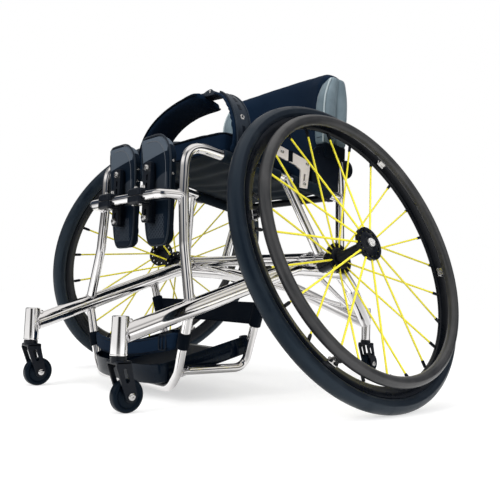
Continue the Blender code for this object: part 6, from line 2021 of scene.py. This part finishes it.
@dataclass
class Seat:
    """Cushion on a wrinkled sling, with the plates and panels beside it."""

    sling_front: float = -0.205
    sling_rear: float = 0.098
    sleeve_rear: float = 0.086
    strut_space: float = 0.018
    sling_thickness: float = 0.0026
    fold: float = 0.006
    cushion_middle: float = -0.0475
    cushion_half: float = 0.1410
    cushion_width: float = 0.273
    cushion_thickness: float = 0.056
    crown: float = 0.014
    plate_thickness: float = 0.004
    panel_x: float = 0.169
    panel_top: float = 0.530
    panel_front: float = 0.030

    def sling_surface(self, across: float, along: float) -> Vector:
        """Span the rails with folds that run across and slacken toward the middle."""
        y = self.sling_front + along * (self.sling_rear - self.sling_front)
        rail = LAYOUT.rail_at(Side.LEFT, y)
        spread = 2.0 * across - 1.0
        wander = noise.noise(Vector((across * 2.2, along * 3.0, 3.0))) * 1.3
        folds = (1.0 - math.cos(math.tau * 6.0 * along + wander * 2.4)) / 2 * (0.75 + 0.5 * wander)
        drop = self.fold * folds * (1.0 - spread ** 4) + 0.004 * (1.0 - spread ** 2)
        top = rail.z + LAYOUT.sleeve_radius - self.sling_thickness / 2 - 0.0003
        return Vector((spread * (rail.x - LAYOUT.frame_radius * 0.6), y + AXLE_Y, top - drop))

    def sleeve(self, side: Side, front: float, rear: float) -> bpy.types.Object:
        """Model a wrinkled sleeve round one rail."""
        start, end = LAYOUT.rail_at(side, front), LAYOUT.rail_at(side, rear)
        length = (end - start).length
        inner = LAYOUT.frame_radius + GAP
        outer = LAYOUT.sleeve_radius
        profile = [(inner, 0.0), (outer - 0.0012, 0.0)]
        steps = 28
        for index in range(steps + 1):
            share = index / steps
            ripple = 0.0006 * abs(math.sin(share * math.pi * 9.0 + side.value))
            profile.append((outer - 0.0006 + ripple, 0.001 + share * (length - 0.002)))
        profile += [(outer - 0.0012, length), (inner, length)]
        turn = Matrix.Translation(start) @ (end - start).to_track_quat("Z", "Y").to_matrix().to_4x4()
        return dress(turned("sleeve", profile, turn, 48, 60.0), SLING_CLOTH)

    def sling(self) -> None:
        """Model the seat sling and its sleeves."""
        sheet = dress(lattice_sheet("sling", self.sling_surface, 40, 60, self.sling_thickness), SLING_CLOTH)
        clear = []
        for side in SIDES:
            clear.append(rod("clear", LAYOUT.rail_at(side, self.sling_front - 0.02),
                             LAYOUT.rail_at(side, self.sling_rear + 0.02), LAYOUT.frame_radius + GAP, 32))
        sheet = settle(carve(sheet, fuse(clear, "clear")), 50.0)
        sheet = fuse([sheet], "seat_sling_cloth")
        sleeves = []
        for side in SIDES:
            sleeves.append(self.sleeve(side, self.sling_front, LAYOUT.strut_top_y - self.strut_space))
            sleeves.append(self.sleeve(side, LAYOUT.strut_top_y + self.strut_space, self.sleeve_rear))
        hems = fuse(sleeves, "seat_sling_sleeves")
        publish(sheet, "frame", "black_fabric", "seat_sling")
        publish(hems, "frame", "black_fabric", "seat_sling")

    def cushion_shape(self, x: float, y: float, z: float) -> Vector:
        """Map the cushion: crowned on top, drawn in at the seam, flat below."""
        along = self.cushion_middle + y * self.cushion_half * (1.0 - 0.035 * x * x)
        base = LAYOUT.rail_at(Side.LEFT, along).z + LAYOUT.sleeve_radius + 0.0006
        rise = (z + 1.0) / 2 * self.cushion_thickness
        edge = max(abs(x), abs(y)) ** 6
        dip = 0.006 * edge if z > 0 else 0.0
        crown = self.crown * (1.0 - x * x) * (1.0 - y * y) if z > 0 else 0.0
        waist = 1.0 - 0.03 * z * z - 0.012 * (1.0 - min(1.0, abs(z) * 4.0))
        corner = 1.0 - 0.05 * x * x * y * y
        return Vector((x * waist * corner * self.cushion_width / 2, along + AXLE_Y, base + rise * corner + crown - dip))

    def cushion(self) -> None:
        """Model the seat cushion with piping round its top and bottom edge."""
        item = dress(swell(shaped("cushion", self.cushion_shape, (9, 9, 5), 2), 0.005, 0.0025), NAVY_CLOTH)
        parts = [item]
        for level in (0.80, -0.80):
            path = []
            for angle in ring_of(120):
                x, y = math.cos(angle), math.sin(angle)
                reach = 0.985 / (abs(x) ** 14 + abs(y) ** 14) ** (1 / 14)
                path.append(self.cushion_shape(x * reach, y * reach, level))
            parts.append(seam("piping", path, 0.0019, WEBBING, True))
        item = fuse(parts, "seat_cushion_pad")
        publish(item, "frame", "black_fabric", "seat_cushion")

    def side_plate(self, side: Side) -> None:
        """Model the bright angled plate on the outside of the rail, with its black band and screws."""
        label = side.label
        rail = LAYOUT.rail_at(side, 0.004)
        x = rail.x + side.value * (LAYOUT.sleeve_radius + GAP + self.plate_thickness / 2)
        corners = [(-0.017, 0.428), (0.004, 0.428), (0.0105, 0.478), (0.0105, 0.486), (-0.080, 0.503), (-0.088, 0.499),
                   (-0.088, 0.482), (-0.034, 0.472), (-0.017, 0.464)]
        outline = [(y + AXLE_Y, z) for y, z in corners]
        slot = []
        for step in range(20):
            angle = math.tau * step / 20
            rise = math.copysign(0.006, math.sin(angle))
            slot.append((-0.0060 + AXLE_Y + 0.0026 * math.cos(angle) + rise * 0.12,
                         0.450 + rise + 0.0026 * math.sin(angle)))
        view = Matrix(((0, 0, 1, x), (1, 0, 0, 0), (0, 1, 0, 0), (0, 0, 0, 1)))
        parts = [dress(plate("plate", outline, self.plate_thickness, view, 0.0008, [slot]), CHROME_PLATE)]
        low, high = sorted((x - self.plate_thickness / 2 - 0.0004, x + self.plate_thickness / 2 + 0.0006))
        band = slab("band", (low, -0.0565 + AXLE_Y, 0.4755), (high, -0.0435 + AXLE_Y, 0.4990), Matrix(), 0.0006)
        parts.append(dress(band, WEBBING))
        aim = Vector((side.value, 0.0, 0.0))
        for y, z in ((-0.075, 0.4915), (0.000, 0.4790), (-0.0060, 0.4360)):
            base = Vector((x + side.value * self.plate_thickness / 2, y + AXLE_Y, z))
            parts.append(stud("screw", base, aim, 0.0042, 0.0026, STEEL))
        publish(fuse(parts, label + "_angle_plate"), "frame", "polished", label + "_seat_plate")

    def side_panel(self, side: Side) -> None:
        """Model the dark guard between cushion and wheel, with a raised rim."""
        label = side.label
        rail = LAYOUT.rail_at(side, self.panel_front)
        low = LAYOUT.post_at(side, rail.z)
        high = LAYOUT.post_at(side, self.panel_top)
        back_z = LAYOUT.rail_at(side, low.y - AXLE_Y).z
        outline = [
            (self.panel_front + AXLE_Y, rail.z),
            (low.y, back_z),
            (high.y, self.panel_top),
            (self.panel_front + 0.019 + AXLE_Y, self.panel_top),
            (self.panel_front + 0.010 + AXLE_Y, self.panel_top - 0.003),
            (self.panel_front + 0.003 + AXLE_Y, self.panel_top - 0.009),
            (self.panel_front + AXLE_Y, self.panel_top - 0.018),
        ]
        view = Matrix(((0, 0, 1, side.value * self.panel_x), (1, 0, 0, 0), (0, 1, 0, 0), (0, 0, 0, 1)))
        item = plate("panel", outline, 0.004, view, 0.0010)
        clear = LAYOUT.frame_radius + GAP
        path = LAYOUT.post_path(side)
        tools = [
            tube("post_clear", path[:-1], clear, 32),
            rod("sleeve_clear", LAYOUT.rail_at(side, self.sling_front), LAYOUT.rail_at(side, self.sleeve_rear + GAP),
                LAYOUT.sleeve_radius + GAP, 32),
            rod("rail_clear", LAYOUT.rail_at(side, 0.0), LAYOUT.rail_at(side, 0.16), clear, 32),
            rod("cross_clear", LAYOUT.rail_at(Side.LEFT, 0.108), LAYOUT.rail_at(Side.RIGHT, 0.108), 0.0110, 32),
        ]
        for tool in tools:
            carve(item, tool)
        item = dress(settle(item), BLACK_PLASTIC)
        parts = [item]
        aim = Vector((side.value, 0.0, 0.0))
        for y, z in ((0.046, 0.515), (0.100, 0.516), (0.046, 0.462)):
            base = Vector((side.value * (self.panel_x + 0.002), y + AXLE_Y, z))
            parts.append(stud("screw", base, aim, 0.0036, 0.0018, ANODISED))
        publish(fuse(parts, label + "_guard"), "frame", "black_plastic", label + "_side_panel")

    def build(self) -> None:
        """Build the seat."""
        self.sling()
        self.cushion()
        for side in SIDES:
            self.side_plate(side)
            self.side_panel(side)


# Back


@dataclass
class Back:
    """Back pad with two upright lobes at each side, over a padded push bar."""

    half_width: float = 0.1535
    low: float = 0.500
    high: float = 0.7105
    middle: float = 0.1145
    half_depth: float = 0.0165
    hollow: float = 0.003
    wing: float = 0.036
    flare: float = 0.015
    crest: float = 0.014
    lobe_x: float = 0.1600
    lobe_low: float = 0.537
    lobe_high: float = 0.6990
    lobe_width: float = 0.0405
    lobe_depth: float = 0.0465
    lobe_lean: float = 0.022
    lobe_places: tuple[float, float] = (0.0785, 0.1180)
    bar_radius: float = 0.021
    bar_half: float = 0.166
    bar_z: float = 0.497

    def shape(self, x: float, y: float, z: float) -> Vector:
        """Map the back pad, hollow toward the middle and soft at its upper corners."""
        drop = 0.003 * abs(x) ** 8
        half_width = self.half_width + self.flare * ((z + 1.0) / 2) ** 1.5
        height = self.low + (z + 1.0) / 2 * (self.high - self.low - drop)
        height += self.crest * (1.0 - x * x) * max(0.0, z) ** 3
        hollow = self.hollow * (1.0 - x * x)
        belly = 1.0 - 0.25 * max(0.0, z) ** 6
        depth = y * self.half_depth * belly
        if y < 0.0:
            depth -= self.wing * abs(x) ** 2.4 * -y
        return Vector((x * half_width, self.middle + AXLE_Y + depth + hollow, height))

    def lobe(self, side: Side, centre_y: float) -> Callable[[float, float, float], Vector]:
        """Give the shape of one lobe: an upright roll that tapers at its top."""

        def shape(x: float, y: float, z: float) -> Vector:
            height = self.lobe_low + (z + 1.0) / 2 * (self.lobe_high - self.lobe_low)
            taper = 1.0 - 0.36 * max(0.0, z) ** 2.5 - 0.10 * max(0.0, -z) ** 6
            lean = (self.lobe_lean if centre_y == self.lobe_places[0] else 0.0) * max(0.0, z) ** 2
            corner = 1.0 - 0.17 * abs(x * y)
            pucker = 1.0 - 0.020 * (0.5 + 0.5 * math.cos(z * 17.0)) * abs(x)
            wide = x * corner * taper * pucker * self.lobe_width / 2
            return Vector((
                side.value * self.lobe_x + wide,
                centre_y + AXLE_Y + lean + y * corner * taper * self.lobe_depth / 2,
                height,
            ))

        return shape

    def pad(self) -> None:
        """Model the back pad, its lobes, the light piping and the dark band at the foot."""
        item = swell(shaped("back", self.shape, (9, 1, 5), 2), 0.006, 0.0022)
        parts = [dress(item, NAVY_CLOTH)]
        for side in SIDES:
            for centre_y in self.lobe_places:
                roll = swell(shaped("lobe", self.lobe(side, centre_y), (2, 2, 7), 2), 0.005, 0.0015)
                parts.append(dress(roll, TEAL_LEATHER))
            front = self.lobe(side, self.lobe_places[0])
            path = [front(side.value * 0.70, -1.0, -0.94 + 1.84 * index / 40) for index in range(41)]
            path += [front(side.value * (0.70 - 0.75 * index / 8), -1.0 + 0.55 * index / 8, 0.90) for index in range(1, 9)]
            parts.append(seam("piping", path, 0.0019, PIPING_CLOTH))
            for centre_y in self.lobe_places:
                around = self.lobe(side, centre_y)
                ring = []
                for angle in ring_of(32):
                    x, y = math.cos(angle), math.sin(angle)
                    reach = 0.90 / max(abs(x), abs(y), 0.9)
                    ring.append(around(x * reach, y * reach, -0.80))
                parts.append(seam("stitch", ring, 0.0012, PIPING_DARK, True))
            foot = self.lobe(side, sum(self.lobe_places) / 2)
            low = foot(0.0, 0.0, -1.0)
            band = slab("band", (-0.016, -0.036, -0.030), (0.016, 0.036, 0.006), Matrix.Translation(low), 0.006, 3)
            parts.append(dress(band, WEBBING))
        item = fuse(parts, "back_pad")
        publish(item, "frame", "black_fabric", "backrest")

    def bar(self) -> None:
        """Model the push bar's foam grip with its seams and end caps."""
        y = LAYOUT.post_at(Side.LEFT, self.bar_z).y + LAYOUT.frame_radius + self.bar_radius - 0.0005
        radius, half = self.bar_radius, self.bar_half
        profile = [(0.0, half - 0.002), (radius * 0.45, half - 0.002), (radius * 0.50, half), (radius * 0.78, half)]
        for step in range(1, 6):
            angle = math.pi / 2 * step / 5
            profile.append((radius * (0.78 + 0.22 * math.sin(angle)), half - radius * 0.22 * (1.0 - math.cos(angle))))
        profile += [(radius, half - 0.012), (radius - 0.0008, half - 0.013), (radius, half - 0.014), (radius, 0.0)]
        profile += [(r, -h) for r, h in profile[-2::-1]]
        place = Matrix.Translation((0.0, y, self.bar_z)) @ Matrix.Rotation(math.pi / 2, 4, "Y")
        item = dress(turned("push_bar_grip", profile, place, 48), BLACK_PLASTIC)
        publish(item, "frame", "black_fabric", "push_bar")

    def build(self) -> None:
        """Build the back."""
        self.pad()
        self.bar()


# Thigh strap


@dataclass
class ThighStrap:
    """The padded strap over the thighs, its toothed ladder, and the ratchet buckle with a lifting lever."""

    y: float = -0.165
    width: float = 0.076
    thickness: float = 0.0165
    tilt: float = 0.22
    end: tuple[float, float] = (0.052, 0.600)
    side_at: tuple[float, float] = (0.186, 0.589)
    crest: tuple[float, float] = (-0.015, 0.605)
    sink: float = 0.0067
    length: float = 0.072
    base_wall: float = 0.0025
    inner: float = 0.0116
    outer: float = 0.0141
    cheek: float = 0.014
    ladder_width: float = 0.022
    ladder_thickness: float = 0.0022
    ladder_height: float = 0.00405
    shoulder: float = 0.050
    ladder_side: tuple[float, float] = (0.180, 0.535)
    straight: float = 0.30
    backing_start: float = 0.02
    backing_width: float = 0.0555
    backing_depth: float = 0.0072
    hinge_x: float = 0.0144
    hinge_z: float = 0.0098
    lever_length: float = 0.050
    lever_thickness: float = 0.0035

    def __post_init__(self) -> None:
        """Find the strap's two curves."""
        seat = LAYOUT.rail_at(Side.LEFT, self.y)
        at = self.y + AXLE_Y
        self.arch = [
            Vector((-seat.x - 0.0095, at, seat.z)),
            Vector((-self.side_at[0], at, self.side_at[1])),
            Vector((self.crest[0], at, self.crest[1])),
            Vector((self.end[0], at, self.end[1])),
        ]
        place, heading = bezier(self.arch, 1.0)
        normal = Vector((-heading.z, 0.0, heading.x))
        across = normal.cross(heading)
        self.frame = Matrix((heading, across, normal)).transposed().to_4x4()
        self.frame.translation = place + normal * self.sink
        self.start = self.frame @ Vector((-0.6 * self.length, 0.0, self.ladder_height))
        mouth = self.frame @ Vector((0.45 * self.length, 0.0, self.ladder_height))
        self.curve = [
            mouth,
            mouth + (mouth - self.start).normalized() * self.shoulder,
            Vector((self.ladder_side[0], at, self.ladder_side[1])),
            Vector((seat.x + 0.004, at, seat.z)),
        ]

    def saddle(self, item: bpy.types.Object, side: Side) -> bpy.types.Object:
        """Clear the sleeve round the rail."""
        front = LAYOUT.rail_at(side, self.y - 0.07)
        rear = LAYOUT.rail_at(side, self.y + 0.07)
        return carve(item, rod("clear", front, rear, LAYOUT.sleeve_radius + 0.0004, 40))

    def arch_shape(self, x: float, y: float, z: float) -> Vector:
        """Map the padded arch."""
        place, heading = bezier(self.arch, (x + 1.0) / 2)
        normal = Vector((-heading.z, 0.0, heading.x))
        width = self.width * (1.0 - 0.20 * max(0.0, -x) ** 3 - 0.24 * max(0.0, x) ** 14)
        tilt = self.tilt * max(0.0, (x + 0.4) / 1.4) ** 1.5
        rise = z * (1.0 - 0.3 * y * y) * self.thickness / 2 - y * width / 2 * tilt
        return place + Vector((0.0, y * width / 2, 0.0)) + normal * rise

    def pad(self) -> None:
        """Model the padded arch with a bound edge."""
        item = swell(shaped("arch", self.arch_shape, (17, 5, 2), 2), 0.005, 0.0015)
        item = dress(self.saddle(item, Side.RIGHT), NAVY_CLOTH)
        parts = [settle(item, 180.0)]
        for edge in (-1.0, 1.0):
            path = [self.arch_shape(-0.86 + 1.80 * index / 90, edge * 0.965, 0.0) for index in range(91)]
            parts.append(seam("binding", path, 0.0021, WEBBING))
        item = fuse(parts, "thigh_pad_arch")
        publish(item, "frame", "black_fabric", "thigh_pad")

    def ladder_point(self, along: float) -> tuple[Vector, Vector]:
        """Give a place on the ladder and its direction, from its start in the buckle to the rail."""
        if along < self.straight:
            place = self.start.lerp(self.curve[0], along / self.straight)
            return place, (self.curve[0] - self.start).normalized()
        return bezier(self.curve, (along - self.straight) / (1.0 - self.straight))

    def backing_shape(self, x: float, y: float, z: float) -> Vector:
        """Map the soft backing under the ladder."""
        share = self.backing_start + (x + 1.0) / 2 * (1.0 - self.backing_start)
        place, heading = bezier(self.curve, share)
        normal = Vector((-heading.z, 0.0, heading.x))
        width = self.backing_width * (1.0 - 0.10 * max(0.0, -x) ** 2)
        depth = -0.0012 + (z - 1.0) * self.backing_depth / 2 * (1.0 - 0.4 * y * y)
        return place + Vector((0.0, y * width / 2, 0.0)) + normal * depth

    def strip(self, name: str, first: float, last: float, low: float, high: float, width: float, finish,
              bow: float = 0.0) -> bpy.types.Object:
        """Model a band that follows the ladder.

        Args:
            name: The band's name.
            first: Share along the ladder where it starts.
            last: Share where it ends.
            low: Height of its underside over the ladder's middle.
            high: Height of its top.
            width: Its width.
            finish: Its finish.
            bow: Widening toward its middle.

        Returns:
            The band.
        """

        def shape(x: float, y: float, z: float) -> Vector:
            place, heading = self.ladder_point(first + (x + 1.0) / 2 * (last - first))
            normal = Vector((-heading.z, 0.0, heading.x))
            half = width / 2 + bow * (1.0 - x * x)
            return place + Vector((0.0, y * half, 0.0)) + normal * (low + (z + 1.0) / 2 * (high - low))

        return dress(shaped(name, shape, (31, 2, 0), 1), finish)

    def ladder(self) -> None:
        """Model the toothed ladder, its moulded edges and slots, the ring rivet and the backing."""
        half = self.ladder_thickness / 2
        parts = [self.strip("ladder", 0.0, 0.985, -half, half, self.ladder_width, STRAP_PLASTIC)]
        cover = self.strip("cover", 0.36, 0.95, -half - 0.0004, half + 0.0016, 0.030, STRAP_PLASTIC, 0.006)
        parts.append(cover)
        for sign in (-1, 1):
            path = []
            for index in range(61):
                along = 0.37 + 0.57 * index / 60
                place, heading = self.ladder_point(along)
                normal = Vector((-heading.z, 0.0, heading.x))
                x = 2.0 * index / 60 - 1.0
                path.append(place + Vector((0.0, sign * (0.0135 + 0.0055 * (1.0 - x * x)), 0.0)) + normal * (half + 0.0016))
            parts.append(seam("edge", path, 0.0014, STRAP_PLASTIC))
        for index in range(22):
            along = 0.012 + 0.0150 * index
            place, heading = self.ladder_point(along)
            normal = Vector((-heading.z, 0.0, heading.x))
            across = normal.cross(heading)
            turn = Matrix((heading, across, normal)).transposed().to_4x4()
            turn.translation = place
            tooth = slab("tooth", (-0.0012, -0.0075, half - 0.0004), (0.0006, 0.0075, half + 0.0010), turn)
            parts.append(dress(tooth, STRAP_PLASTIC))
        for along in (0.44, 0.53, 0.62, 0.80, 0.88):
            place, heading = self.ladder_point(along)
            normal = Vector((-heading.z, 0.0, heading.x))
            across = normal.cross(heading)
            turn = Matrix((heading, across, normal)).transposed().to_4x4()
            turn.translation = place
            parts.append(dress(slab("slot", (-0.0070, -0.0038, half + 0.0010), (0.0070, 0.0038, half + 0.0019), turn, 0.0030,
                                    4), BLACK_PLASTIC))
        place, heading = self.ladder_point(0.71)
        normal = Vector((-heading.z, 0.0, heading.x))
        across = normal.cross(heading)
        turn = Matrix((heading, across, normal)).transposed().to_4x4()
        turn.translation = place
        ring = [(0.0026, half + 0.0012), (0.0026, half + 0.0026), (0.0034, half + 0.0031), (0.0056, half + 0.0026),
                (0.0060, half + 0.0012)]
        parts.append(dress(turned("rivet", ring, turn, 32), STEEL))
        soft = swell(shaped("backing", self.backing_shape, (15, 2, 1), 2), 0.004, 0.0008)
        soft = dress(self.saddle(soft, Side.LEFT), NAVY_CLOTH)
        parts.append(settle(soft, 180.0))
        publish(fuse(parts, "ladder_strap"), "frame", "black_plastic", "strap_ladder")

    def buckle(self) -> None:
        """Model the buckle's base: floor, cheeks with lobes, pawl and hinge screws."""
        frame_at = self.frame
        wall = self.base_wall
        parts = [dress(slab("floor", (-0.6 * self.length, -self.outer, 0.0), (0.4 * self.length, self.outer, wall), frame_at,
                            0.0008), BLACK_PLASTIC)]
        profile = [(-0.0216, 0.0006), (-0.0216, 0.0050), (-0.0150, 0.0088), (-0.0060, 0.0090), (0.0040, 0.0128),
                   (0.0120, 0.0142), (0.0185, 0.0140), (0.0240, 0.0104), (0.0259, 0.0060), (0.0259, 0.0006)]
        for sign in (-1, 1):
            middle = sign * (self.inner + self.outer) / 2
            view = frame_at @ Matrix(((1, 0, 0, 0), (0, 0, -1, middle), (0, 1, 0, 0), (0, 0, 0, 1)))
            parts.append(dress(plate("cheek", profile, self.outer - self.inner, view, 0.0007), STRAP_PLASTIC))
            hinge = frame_at @ Vector((self.hinge_x, sign * self.outer, self.hinge_z))
            aim = frame_at.to_3x3() @ Vector((0.0, sign, 0.0))
            parts.append(stud("hinge", hinge, aim, 0.0034, 0.0012, STEEL))
        pawl = slab("pawl", (-0.0190, -0.0105, 0.0060), (-0.0110, 0.0105, 0.0082), frame_at, 0.0008)
        parts.append(dress(pawl, BLACK_PLASTIC))
        lip = slab("lip", (-0.0432, -0.0120, wall - 0.0005), (-0.0395, 0.0120, wall + 0.0006), frame_at, 0.0004)
        parts.append(dress(lip, BLACK_PLASTIC))
        publish(fuse(parts, "buckle_body"), "frame", "black_metal", "buckle_base")

    def lever(self) -> None:
        """Model the lever with its grip ribs, side wings and barrel."""
        hinge = self.frame @ Matrix.Translation((self.hinge_x, 0.0, self.hinge_z))
        half = self.inner - 0.0006
        reach = self.lever_length
        thick = self.lever_thickness

        def blade(x: float, y: float, z: float) -> Vector:
            along = -reach * (1.0 - x) / 2
            wide = half * (0.86 + 0.14 * x * x)
            curl = 0.0016 * max(0.0, -x) ** 3
            return hinge @ Vector((along, y * wide, z * thick / 2 * (1.0 - 0.25 * max(0.0, -x)) + curl))

        parts = [dress(shaped("blade", blade, (7, 2, 0), 2), STRAP_PLASTIC)]
        for index in range(5):
            x = -reach * 0.93 + index * 0.0044
            ridge = slab("ridge", (x, -half * 0.72, thick * 0.30), (x + 0.0020, half * 0.72, thick * 0.62), hinge, 0.0005)
            parts.append(dress(ridge, BLACK_PLASTIC))
        hump = slab("hump", (-0.0240, -half * 0.55, thick * 0.3), (-0.0050, half * 0.55, thick * 0.95), hinge, 0.0012, 3)
        parts.append(dress(hump, STRAP_PLASTIC))
        barrel = rod("barrel", hinge @ Vector((0.0, -half + 0.0003, 0.0)), hinge @ Vector((0.0, half - 0.0003, 0.0)), 0.0036, 32)
        parts.append(dress(soften(barrel, 0.0005), STRAP_PLASTIC))
        pin = rod("pin", hinge @ Vector((0.0, -self.outer, 0.0)), hinge @ Vector((0.0, self.outer, 0.0)), 0.0020, 20)
        parts.append(dress(pin, STEEL))
        publish(fuse(parts, "ratchet_lever"), "strap_lever", "black_plastic", "buckle_lever")

    def build(self) -> None:
        """Build the strap and its buckle."""
        self.pad()
        self.ladder()
        self.buckle()
        self.lever()


def main() -> None:
    """Build the sub-assemblies in order."""
    logging.basicConfig(level=logging.INFO, format="%(message)s", stream=sys.stdout)
    Studio().build()
    for side in SIDES:
        Wheel(side).build()
    FrameTubes().build()
    for side in SIDES:
        Caster(side.label + "_caster", side.value * LAYOUT.caster_x, LAYOUT.caster_y, 0.014, 0.064).build()
    Caster("tail_caster", 0.0, LAYOUT.tail_y, 0.0125, 0.088, clamped=False).build()
    for side in SIDES:
        KneePad(side).build()
    FootRest().build()
    Seat().build()
    Back().build()
    ThighStrap().build()


if __name__ == "__main__":
    main()
